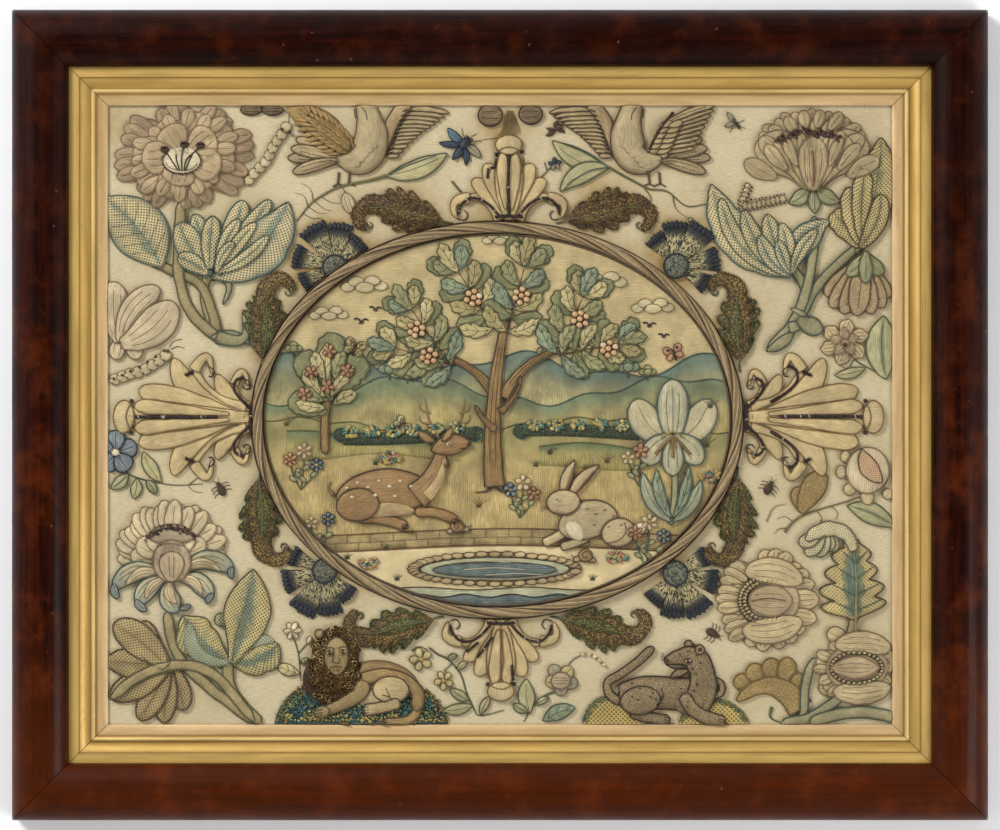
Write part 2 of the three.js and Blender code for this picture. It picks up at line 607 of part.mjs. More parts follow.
// Profiles run over (distance in from the frame's outer edge, height).
function woodProfile() {
  const profile = new THREE.Shape().moveTo(0, 0).lineTo(REBATE_AT, 0).lineTo(REBATE_AT, LIP_UNDER);
  profile.lineTo(WOOD_FACE, LIP_UNDER).lineTo(WOOD_FACE, LIP_TOP);
  const bulge = (share) => (1 - Math.abs(share) ** 2.2) ** CUSHION_POWER;
  for (let i = 1; i < CUSHION_STEPS; i += 1) {
    const share = Math.cos((Math.PI / 2) * (i / CUSHION_STEPS));
    profile.lineTo(CROWN_AT + share * (WOOD_FACE - CROWN_AT), LIP_TOP + bulge(share) * (CROWN - LIP_TOP));
  }
  for (let i = 0; i < CUSHION_STEPS; i += 1) {
    const share = Math.sin((Math.PI / 2) * (i / CUSHION_STEPS));
    profile.lineTo(CROWN_AT - share * CROWN_AT, OUTER_WALL + bulge(share) * (CROWN - OUTER_WALL));
  }
  return profile.lineTo(0, OUTER_WALL);
}

function slipProfile() {
  const outer = REBATE_AT + GAP;
  const tongue = LIP_UNDER - GAP;
  const fillet = WOOD_FACE + GAP;
  const inner = WOOD_FACE + SLIP_FACE;
  const profile = new THREE.Shape().moveTo(outer, SLIP_BACK).lineTo(inner, SLIP_BACK).lineTo(inner, 10.4);
  profile.lineTo(46.6, 11.4).lineTo(46.2, 12.2).lineTo(44.8, 12.2).lineTo(44.4, 11.3);
  profile.lineTo(42.5, 11.6).lineTo(40.4, 12.2).lineTo(38.9, 13).lineTo(38.3, 13.8);
  return profile.lineTo(fillet, 13.8).lineTo(fillet, tongue).lineTo(outer, tongue);
}

// A straight length of moulding along X with mitred ends, its outer edge on y = 0.
function moulding(profile, length) {
  const geometry = new THREE.ExtrudeGeometry(profile, { depth: 1, steps: 1, bevelEnabled: false });
  const places = geometry.getAttribute("position");
  for (let i = 0; i < places.count; i += 1) {
    const [inwards, height, end] = [places.getX(i), places.getY(i), places.getZ(i) > 0.5 ? 1 : -1];
    places.setXYZ(i, end * (length / 2 - inwards - GAP * Math.SQRT1_2), inwards, height);
  }
  return geometry;
}

// The four lengths of a mitred frame.
function mitredFrame(name, colour, profile) {
  const group = new THREE.Group();
  const sides = [
    ["bottom", FRAME_WIDTH, 0, -FRAME_HEIGHT / 2, 0],
    ["right", FRAME_HEIGHT, FRAME_WIDTH / 2, 0, 90],
    ["top", FRAME_WIDTH, 0, FRAME_HEIGHT / 2, 180],
    ["left", FRAME_HEIGHT, -FRAME_WIDTH / 2, 0, 270],
  ];
  sides.forEach(([side, length, x, y, turn]) => {
    const mesh = meshOf(`${name}_${side}`, colour, moulding(profile, length));
    mesh.position.set(x, y, 0);
    mesh.rotation.z = THREE.MathUtils.degToRad(turn);
    group.add(mesh);
  });
  return group;
}

function sheet(name, colour, back, top) {
  const inset = 2 * (REBATE_AT + GAP);
  const mesh = meshOf(name, colour, new THREE.BoxGeometry(FRAME_WIDTH - inset, FRAME_HEIGHT - inset, top - back));
  mesh.position.z = (top + back) / 2;
  return mesh;
}

// The embroidered motifs: name, colour, rows, and whether they lie inside the oval. Earlier ones lie over later ones.
function motifs() {
  return [
    ...ACANTHUS_PLACES.map((place, i) => [`acanthus_${i + 1}`, "moss", placed(ACANTHUS, ...place)]),
    ...CARNATION_PLACES.map((place, i) => [`carnation_${i + 1}`, "navy", placed(carnation(), ...place)]),
    ...PALMETTE_PLACES.map((row) => [row[0], "cream", palmette(row)]),
    ...BIRD_PLACES.map(([name, x, y, side]) => [name, "cream", placed(side > 0 ? BIRD : flipped(BIRD), x, y)]),
    ["rose_top_left", "taupe", roundFlower(ROUND_FLOWERS[0])],
    ["peony", "taupe", PEONY],
    ["tulip", "taupe", TULIP],
    ["bell_flower", "taupe", BELL],
    ["pomegranate", "taupe", POMEGRANATE],
    ["daisy", "cream", daisy()],
    ...ROUND_FLOWERS.slice(1).map((row) => [row[0], row[1], roundFlower(row)]),
    ["lion", "brown", LION],
    ["lion_hill", "teal", LION_HILL],
    ["leopard", "taupe", LEOPARD],
    ["leopard_hill_left", "gold", LEOPARD_HILL_LEFT],
    ["leopard_hill_right", "gold", LEOPARD_HILL_RIGHT],
    ["sprig_top_left", "green", SPRIG_TOP_LEFT],
    ["sprig_top_right", "teal", SPRIG_TOP_RIGHT],
    ["sprig_bottom_left", "teal", SPRIG_BOTTOM_LEFT],
    ["oak_leaf", "teal", OAK_LEAF],
    ["scallop_leaf", "gold", SCALLOP_LEAF],
    ["curled_leaf", "teal", CURLED_LEAF],
    ["stems_bottom_right", "green", STEMS_BOTTOM_RIGHT],
    ["leaf_gold", "gold", LEAF_GOLD],
    ["leaf_low", "green", LEAF_LOW],
    ["leaf_edge", "green", LEAF_EDGE],
    ["stag", "brown", STAG, true],
    ["hare", "cream", HARE, true],
    ["iris", "blue", IRIS, true],
    ["tree", "green", tree(), true],
    ["bush", "green", BUSH, true],
  ];
}

function boxesMeet(a, b) {
  return [0, 1].every((i) => a.min[i] < b.max[i] + GAP && b.min[i] < a.max[i] + GAP);
}

// Each motif is cut back from the cord, the sight edge and the motifs that lie over it, and keeps its largest body.
function embroidery() {
  const group = new THREE.Group();
  group.position.z = RELIEF_BASE;
  group.add(meshOf("oval_cord", "cord", geometryOf(ovalCord())));
  const cordCutter = ovalCord(CUTTER_MARGIN);
  const sight = sightBlock();
  const plug = ovalPlug();
  const above = [];
  motifs().forEach(([name, colour, rows, inside]) => {
    let solid = joined(rows.map(lobe));
    solid = inside ? solid.intersect(plug) : solid.intersect(sight).subtract(cordCutter);
    above
      .filter((other) => boxesMeet(other.box, solid.boundingBox()))
      .forEach((other) => {
        solid = solid.subtract(other.cutter);
      });
    const bodies = solid.simplify(FACET_TOLERANCE).decompose();
    const body = bodies.reduce((best, piece) => (piece.volume() > best.volume() ? piece : best));
    const cutter = joined(rows.map(lobeCutter));
    above.push({ cutter, box: cutter.boundingBox() });
    group.add(meshOf(name, colour, geometryOf(body)));
  });
  return group;
}

const panel = new THREE.Group();
panel.add(mitredFrame("frame", "wood", woodProfile()));
panel.add(mitredFrame("slip", "gilt", slipProfile()));
panel.add(sheet("backboard", "board", BOARD_BACK, BOARD_TOP));
panel.add(sheet("satin_ground", "satin", GROUND_BACK, GROUND_TOP));
panel.add(embroidery());

export default panel;
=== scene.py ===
import math
import random

import bpy
import numpy as np
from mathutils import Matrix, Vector, noise


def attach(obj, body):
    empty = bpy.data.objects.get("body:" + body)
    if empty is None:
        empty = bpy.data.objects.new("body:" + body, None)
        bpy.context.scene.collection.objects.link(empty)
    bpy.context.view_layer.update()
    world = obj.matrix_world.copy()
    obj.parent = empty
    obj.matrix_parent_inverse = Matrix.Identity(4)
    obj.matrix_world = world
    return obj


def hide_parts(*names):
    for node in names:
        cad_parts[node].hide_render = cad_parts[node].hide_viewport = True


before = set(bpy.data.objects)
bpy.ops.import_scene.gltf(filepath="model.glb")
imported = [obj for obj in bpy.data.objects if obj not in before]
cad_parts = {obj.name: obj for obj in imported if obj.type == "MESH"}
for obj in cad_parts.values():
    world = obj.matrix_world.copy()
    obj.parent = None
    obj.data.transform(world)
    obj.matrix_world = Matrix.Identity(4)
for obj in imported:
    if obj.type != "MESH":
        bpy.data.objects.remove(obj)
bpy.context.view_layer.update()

MM = 0.001

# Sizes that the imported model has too
FRAME_WIDTH, FRAME_HEIGHT = 548, 455
WOOD_FACE = 32
SLIP_FACE = 21.5
SIGHT_X = FRAME_WIDTH / 2 - WOOD_FACE - SLIP_FACE
SIGHT_Y = FRAME_HEIGHT / 2 - WOOD_FACE - SLIP_FACE
GAP = 0.3
REBATE_AT = 26
OUTER_WALL, CROWN_AT, CROWN = 11, 16.5, 24
LIP_TOP, LIP_UNDER = 15.6, 13.2
GROUND_BACK, GROUND_TOP = 6.7, 8.7
SLIP_BACK = 9.0
OVAL_X, OVAL_Y, OVAL_RX, OVAL_RY = -1.5, -2.8, 135, 108.3
CORD_HALF, CORD_RISE = 3.1, 5.2

# How fine the stitched pieces are meshed
GRAIN_ALONG = 1.3
GRAIN_ACROSS = 1.15
LINE_STEP = 1.5
STRIP_STEP = 2.8
SATIN_STEP = 4.0
BEAD_RINGS, BEAD_SIDES = 4, 6
COARSE_RINGS, COARSE_SIDES = 3, 4
THIN_LINE = 0.45

# How the work lies: its foot over the satin, the least pad, and how far it keeps from the sight edge
# and from the cord.
WORK_BASE = GROUND_TOP + 0.02
LEAST_PAD = 0.8
SIGHT_INSET = 0.35
CORD_CLEAR, CORD_RAMP, CORD_LOW = 0.8, 2.6, 0.08
LINE_INSET, LINE_CLEAR = 0.6, 1.5

# A lobe: how full its pad is at the ends, how far it sinks over other work, and how square and ridged it is
PAD_AT_ENDS = 0.35
PAD_SINK = 0.8
PAD_SQUARENESS = 2.4
RIDGE_TURNS = 9.4
EVEN_SHARE = 0.15
VEIN_RADIUS, RIB_RADIUS, INNER_LIFT = 0.16, 0.15, 0.1


# Colours


def colour(code):
    """The linear colour of a six-digit sRGB code."""
    parts = [int(code[i : i + 2], 16) / 255 for i in (0, 2, 4)]
    return tuple(c / 12.92 if c <= 0.04045 else ((c + 0.055) / 1.055) ** 2.4 for c in parts) + (1.0,)


# How much of its colour a silk has lost, the tint of the grey in its place, and the tint of the dirt over all
LOST_COLOUR = 0.24
GREY_TINT = (1.1, 1.0, 0.72)
DIRT_TINT = (0.93, 0.89, 0.75)


def aged(code):
    """A silk colour as it looks after three centuries: duller and warmer."""
    fresh = colour(code)[:3]
    grey = sum(fresh) / 3
    faded = [c * (1 - LOST_COLOUR) + grey * tint * LOST_COLOUR for c, tint in zip(fresh, GREY_TINT)]
    return tuple(c * dirt for c, dirt in zip(faded, DIRT_TINT)) + (1.0,)


# Materials


class Shade:
    """One node material, with short ways to add nodes and link them."""

    def __init__(self, name, roughness=0.6):
        self.material = bpy.data.materials.new(name)
        self.material.use_nodes = True
        self.tree = self.material.node_tree
        self.shader = self.tree.nodes["Principled BSDF"]
        self.shader.inputs["Roughness"].default_value = roughness

    def node(self, kind, inputs=None, **settings):
        made = self.tree.nodes.new("ShaderNode" + kind)
        for key, value in settings.items():
            setattr(made, key, value)
        for key, value in (inputs or {}).items():
            self.put(made.inputs[key], value)
        return made

    def put(self, socket, value):
        if isinstance(value, bpy.types.NodeSocket):
            self.tree.links.new(value, socket)
        else:
            socket.default_value = value

    def set(self, **values):
        for key, value in values.items():
            self.put(self.shader.inputs[key.replace("_", " ").title().replace("Ior", "IOR")], value)

    def math(self, operation, a, b=0.0, c=0.0):
        return self.node("Math", {0: a, 1: b, 2: c}, operation=operation).outputs[0]

    def mix(self, factor, a, b, blend="MIX"):
        made = self.node("Mix", data_type="RGBA", blend_type=blend)
        self.put(made.inputs["Factor"], factor)
        self.put(made.inputs[6], a)
        self.put(made.inputs[7], b)
        return made.outputs[2]

    def span(self, value, low, high, start=0.0, end=1.0):
        made = self.node("MapRange", {0: value, 1: low, 2: high, 3: start, 4: end},
                         interpolation_type="SMOOTHSTEP")
        return made.outputs[0]

    def attribute(self, name):
        return self.node("Attribute", attribute_name=name).outputs["Fac"]

    def thread_place(self, along=1.0, across=1.0, turn=0.0):
        """The place on a lobe in millimetres, along it and across it, scaled, and apart for each lobe."""
        place = self.node("UVMap", uv_map="thread").outputs[0]
        if turn:
            place = self.node("VectorRotate", {"Vector": place, "Angle": turn},
                              rotation_type="Z_AXIS").outputs[0]
        own = self.node("CombineXYZ", {2: self.math("MULTIPLY", self.attribute("tone"), 50.0)}).outputs[0]
        scaled = self.node("VectorMath", {0: place, 1: (along, across, 0)}, operation="MULTIPLY").outputs[0]
        return self.node("VectorMath", {0: scaled, 1: own}, operation="ADD").outputs[0]

    def noise(self, place, scale=1.0, detail=2.0, roughness=0.5):
        inputs = {"Vector": place, "Scale": scale, "Detail": detail, "Roughness": roughness}
        return self.node("TexNoise", inputs).outputs["Fac"]

    def cells(self, place, scale=1.0, jitter=1.0):
        inputs = {"Vector": place, "Scale": scale, "Randomness": jitter}
        return self.node("TexVoronoi", inputs).outputs["Distance"]

    def object_place(self):
        return self.node("TexCoord").outputs["Object"]

    def bump(self, height, strength=0.4, distance=0.3):
        inputs = {"Height": height, "Strength": strength, "Distance": distance * MM}
        self.put(self.shader.inputs["Normal"], self.node("Bump", inputs).outputs[0])


def streaks(shade, pitch, along=True):
    """Fine silk lines, along a lobe or across it: how light they are, and how high."""
    lengthwise, crosswise = (0.16 / pitch, 1.1 / pitch) if along else (1.1 / pitch, 0.16 / pitch)
    fine = shade.noise(shade.thread_place(lengthwise, crosswise), 1.0, 3.0, 0.6)
    slow = shade.noise(shade.thread_place(0.09, 0.09), 1.0, 2.0)
    run = shade.node("SeparateXYZ",
                     {0: shade.thread_place(1 / pitch, 1 / pitch)}).outputs[1 if along else 0]
    turn = shade.math("MULTIPLY_ADD", run, 5.2, shade.math("MULTIPLY", slow, 11.0))
    rows = shade.span(shade.math("SINE", turn), -0.95, -0.25)
    broken = shade.span(fine, 0.62, 0.5, 0.15, 1.0)
    lines = shade.math("SUBTRACT", 1.0, shade.math("MULTIPLY", shade.math("SUBTRACT", 1.0, rows), broken))
    return shade.math("MULTIPLY", shade.span(fine, 0.28, 0.62, 0.35, 1.0), lines)


def lattice(shade, pitch, hole):
    """Needle lace as rows of small holes: 1 on the thread and 0 in a hole."""
    place = shade.thread_place(1 / pitch, 1 / pitch, math.radians(45))
    near = shade.node("VectorMath", {0: place}, operation="FRACTION").outputs[0]
    centred = shade.node("VectorMath", {0: near, 1: (0.5, 0.5, 0.5)}, operation="SUBTRACT").outputs[0]
    flat = shade.node("VectorMath", {0: centred, 1: (1, 1, 0)}, operation="MULTIPLY").outputs[0]
    away = shade.node("VectorMath", {0: flat}, operation="LENGTH").outputs["Value"]
    return shade.span(away, hole - 0.1, hole + 0.12)


def thread(name, light, dark, pattern="satin", pitch=0.8, edge=None, band=None, tip=None, hole=0.27,
           fade=0.25, roughness=0.62, bump=0.5):
    """A stitched surface. edge is (colour, share of the width), band (colour, centre, half-width)
    across the lobe, and tip (colour, start, end) along it."""
    shade = Shade(name, roughness)
    light, dark = aged(light), aged(dark)
    if pattern == "lace":
        height = lattice(shade, pitch, hole)
        sheer = shade.noise(shade.thread_place(0.12, 0.12), 1.0, 2.0)
        tinted = light
        if band:
            tone, centre, half = band
            off = shade.math("ABSOLUTE", shade.math("SUBTRACT", shade.attribute("side"), centre))
            stitch = shade.noise(shade.thread_place(0.7 / pitch, 0.7 / pitch), 1.0, 1.0)
            uneven = shade.math("ADD", shade.math("MULTIPLY", sheer, 0.7),
                                shade.math("MULTIPLY", stitch, 0.6))
            wavy = shade.math("ADD", off, shade.math("SUBTRACT", uneven, 0.65))
            tinted = shade.mix(shade.span(wavy, half * 1.7, half * 0.1, 0.0, 0.9), light, aged(tone))
        base = shade.mix(height, dark, tinted)
    elif pattern == "loops":
        loops = shade.cells(shade.thread_place(0.4 / pitch, 1.25 / pitch), 1.0, 0.9)
        height = shade.span(loops, 0.66, 0.2)
        if band:
            drift = shade.span(shade.noise(shade.thread_place(0.09, 0.13), 1.0, 2.0), 0.42, 0.6)
            light = shade.mix(drift, light, aged(band[0]))
        base = shade.mix(height, dark, light)
    elif pattern == "knots":
        round_knots = shade.cells(shade.thread_place(1 / pitch, 1 / pitch), 1.0, 0.9)
        height = shade.span(round_knots, 0.6, 0.15)
        base = shade.mix(height, dark, light)
    elif pattern == "dashes":
        strands = shade.noise(shade.thread_place(0.42 / pitch, 1.5 / pitch), 1.0, 2.0, 0.5)
        height = shade.span(strands, 0.44, 0.54)
        base = shade.mix(height, dark, light)
    elif pattern == "wrap":
        height = streaks(shade, pitch, along=False)
        base = shade.mix(height, dark, light)
    else:
        height = streaks(shade, pitch, along=pattern == "satin")
        base = shade.mix(height, dark, light)
        if band:
            tone, centre, half = band
            off = shade.math("ABSOLUTE", shade.math("SUBTRACT", shade.attribute("side"), centre))
            base = shade.mix(shade.span(off, half, half * 0.3), base, aged(tone))
    if tip:
        tone, start, end = tip
        ragged = shade.math("MULTIPLY", shade.math("SUBTRACT", height, 0.5), 0.18)
        base = shade.mix(shade.span(shade.math("ADD", shade.attribute("along"), ragged), start, end), base,
                         aged(tone))
    if edge:
        tone, share = edge
        rim = shade.span(shade.math("ABSOLUTE", shade.attribute("side")), 1 - share, 1.0)
        base = shade.mix(shade.math("MULTIPLY", rim, 0.85), base, aged(tone))
    worn = shade.noise(shade.object_place(), 70.0, 3.0, 0.6)
    faded = shade.span(worn, 0.3, 0.75, 1.0 - fade, 1.0 + 0.3 * fade)
    own = shade.math("MULTIPLY_ADD", shade.attribute("tone"), 0.14, 0.93)
    grey = shade.math("MULTIPLY", faded, own)
    base = shade.mix(1.0, base, shade.node("CombineColor", {0: grey, 1: grey, 2: grey}).outputs[0],
                     "MULTIPLY")
    shade.set(base_color=base, sheen_weight=0.12, sheen_roughness=0.4, specular_ior_level=0.35)
    shade.bump(height, bump, 0.35)
    return shade.material


def wire(name, dark, light, glint_colour="c9c2b6", share=0.06, metal=0.55):
    """Coiled metal wire, mostly tarnished, with a few turns given a light colour as painted glints."""
    shade = Shade(name, 0.38)
    tone = shade.attribute("tone")
    base = shade.mix(tone, colour(dark), colour(light))
    # A few turns, picked at random, take the glint colour: painted glints
    base = shade.mix(shade.span(tone, 1 - share - 0.01, 1 - share), base, colour(glint_colour))
    turns = shade.noise(shade.thread_place(2.4, 0.6), 1.0, 2.0)
    shade.set(base_color=shade.mix(shade.span(turns, 0.35, 0.65), colour(dark), base), metallic=metal)
    shade.bump(turns, 0.5, 0.2)
    return shade.material


def satin_ground():
    """Ivory satin: a fine weave, loose threads, faint age stains and darker halos by the work."""
    shade = Shade("ground_satin", 0.5)
    place = shade.object_place()
    weft = shade.node("VectorMath", {0: place, 1: (260, 2600, 1)}, operation="MULTIPLY").outputs[0]
    warp = shade.node("VectorMath", {0: place, 1: (2400, 200, 1)}, operation="MULTIPLY").outputs[0]
    slubs = shade.node("VectorMath", {0: place, 1: (14, 520, 1)}, operation="MULTIPLY").outputs[0]
    fine = shade.noise(weft, 1.0, 2.0)
    cross = shade.noise(warp, 1.0, 2.0)
    slub = shade.noise(slubs, 1.0, 3.0, 0.6)
    cloud = shade.noise(place, 16.0, 4.0, 0.6)
    base = shade.mix(shade.span(fine, 0.3, 0.7), colour("b8a986"), colour("cdc09d"))
    base = shade.mix(shade.span(cross, 0.45, 0.75, 0.0, 0.25), base, colour("d9ceae"))
    base = shade.mix(shade.span(slub, 0.6, 0.78, 0.0, 0.45), base, colour("97855b"))
    base = shade.mix(shade.span(cloud, 0.4, 0.75, 0.0, 0.5), base, colour("a9976c"))
    blotch = shade.math("MULTIPLY", shade.attribute("stain"),
                        shade.span(shade.noise(place, 60.0, 4.0, 0.65), 0.2, 0.7, 0.55, 1.1))
    base = shade.mix(shade.span(blotch, 0.0, 1.0), base, colour("957740"))
    shade.set(base_color=base, sheen_weight=0.1, specular_ior_level=0.3)
    shade.bump(shade.math("ADD", fine, shade.math("MULTIPLY", slub, 0.6)), 0.25, 0.15)
    return shade.material


def polished_wood():
    """Dark red-brown polished wood with fine scratches and small knocks, with painted shade darkening the top
    length of the frame and a painted highlight lightening the bottom length.
    """
    shade = Shade("polished_wood", 0.36)
    grain = shade.noise(shade.thread_place(0.012, 0.32), 1.0, 5.0, 0.62)
    pores = shade.noise(shade.thread_place(0.09, 2.4), 1.0, 3.0, 0.6)
    figure = shade.noise(shade.thread_place(0.05, 0.06), 1.0, 3.0, 0.55)
    base = shade.mix(shade.span(grain, 0.3, 0.7), colour("120201"), colour("350f02"))
    base = shade.mix(shade.span(figure, 0.45, 0.75, 0.0, 0.55), base, colour("602709"))
    base = shade.mix(shade.span(pores, 0.58, 0.74, 0.0, 0.6), base, colour("0e0403"))
    # Painted light: by height in the frame, the wood is shaded darker towards the top and painted lighter
    # towards the bottom
    upward = shade.node("SeparateXYZ", {0: shade.object_place()}).outputs[1]
    base = shade.mix(shade.span(upward, -0.05, 0.2, 0.0, 0.5), base, colour("100403"))
    base = shade.mix(shade.span(upward, -0.1, -0.2, 0.0, 0.28), base, colour("6a3010"))
    scratch = shade.noise(shade.thread_place(0.5, 0.035, 0.7), 1.0, 2.0, 0.4)
    scratched = shade.span(shade.math("ABSOLUTE", shade.math("SUBTRACT", scratch, 0.5)), 0.0016, 0.0)
    dents = shade.cells(shade.thread_place(0.06, 0.06), 1.0, 1.0)
    dent = shade.span(dents, 0.06, 0.02)
    base = shade.mix(shade.math("MULTIPLY", scratched, 0.25), base, colour("8a6248"))
    base = shade.mix(shade.math("MULTIPLY", dent, 0.6), base, colour("7a4a30"))
    rough = shade.span(shade.noise(shade.object_place(), 40.0, 3.0, 0.6), 0.3, 0.7, 0.3, 0.46)
    shade.set(base_color=base, roughness=rough, specular_ior_level=0.07, coat_weight=0.05,
              coat_roughness=0.12)
    shade.bump(shade.math("SUBTRACT", shade.math("MULTIPLY", pores, -0.3), dent), 0.25, 0.25)
    return shade.material


# Colours across the gilt slip, from its outer edge to the satin: share of the way and colour. Besides the
# gilt's own tones, the light band on the bead's crest is painted highlight, and the dark bands at the cove's
# edges and at the bead's foot are painted shade.
GILT_FIRST, GILT_LAST = "b08a45", "e9d5ae"
GILT_BANDS_AND_PAINTED_LIGHT = [
    (0.06, "d8b263"), (0.27, "e0bc70"), (0.3, "8a6a30"), (0.35, "d3ad5f"), (0.48, "c49f54"),
    (0.56, "9d7c3c"), (0.6, "ead08c"), (0.65, "dcb971"), (0.68, "94713a"), (0.74, "d9b57f"),
    (0.92, "e0bf8d"),
]


def gold_leaf():
    """Gilding over its mouldings: bands by the distance across, with painted highlight on the bead and
    painted shade in the hollows, leaf joins, rubbed edges and dark specks.
    """
    shade = Shade("gold_leaf", 0.4)
    across = shade.node("SeparateXYZ", {0: shade.node("UVMap", uv_map="thread").outputs[0]}).outputs[1]
    first, last = WOOD_FACE - 1.0, WOOD_FACE + SLIP_FACE + 1.5
    ramp = shade.node("ValToRGB", {0: shade.node("MapRange", {0: across, 1: first, 2: last}).outputs[0]})
    band = ramp.color_ramp.elements
    band[0].color, band[1].color = colour(GILT_FIRST), colour(GILT_LAST)
    # These bands hold painted highlight and painted shade as well as the gilt's tones
    for place, code in GILT_BANDS_AND_PAINTED_LIGHT:
        band.new(place).color = colour(code)
    base = ramp.outputs[0]
    cloud = shade.noise(shade.thread_place(0.02, 0.2), 1.0, 4.0, 0.6)
    base = shade.mix(shade.span(cloud, 0.35, 0.7, 0.0, 0.35), base, colour("8a6527"))
    fine = shade.noise(shade.thread_place(0.5, 1.6), 1.0, 4.0, 0.7)
    base = shade.mix(shade.span(fine, 0.6, 0.75, 0.0, 0.5), base, colour("7a5424"))
    joins = shade.cells(shade.thread_place(0.021, 0.0), 1.0, 0.9)
    join = shade.span(joins, 0.012, 0.002)
    specks = shade.span(shade.cells(shade.thread_place(0.33, 0.5), 1.0, 1.0), 0.13, 0.05)
    patchy = shade.span(shade.noise(shade.thread_place(0.05, 0.1), 1.0, 2.0), 0.5, 0.65)
    speck = shade.math("MULTIPLY", specks, patchy)
    base = shade.mix(shade.math("MULTIPLY", join, 0.55), base, colour("5a3c1c"))
    base = shade.mix(shade.math("MULTIPLY", speck, 0.9), base, colour("4a2c18"))
    rough = shade.span(fine, 0.3, 0.8, 0.34, 0.6)
    shade.set(base_color=base, roughness=rough, metallic=0.4)
    shade.bump(shade.math("SUBTRACT", fine, shade.math("MULTIPLY", join, 1.5)), 0.18, 0.2)
    return shade.material


def old_board():
    """A plain backing board with a dry grain."""
    shade = Shade("old_board", 0.85)
    place = shade.node("VectorMath", {0: shade.object_place(), 1: (7, 160, 40)},
                       operation="MULTIPLY").outputs[0]
    grain = shade.noise(place, 1.0, 5.0, 0.65)
    blot = shade.noise(shade.object_place(), 14.0, 3.0)
    base = shade.mix(shade.span(grain, 0.3, 0.7), colour("6f5438"), colour("a58a66"))
    base = shade.mix(shade.span(blot, 0.45, 0.8, 0.0, 0.5), base, colour("5d4630"))
    shade.set(base_color=base)
    shade.bump(grain, 0.3, 0.4)
    return shade.material


def floor_paper():
    shade = Shade("floor_paper", 0.9)
    soft = shade.noise(shade.object_place(), 6.0, 2.0)
    shade.set(base_color=shade.mix(soft, colour("fafcff"), colour("ffffff")))
    return shade.material


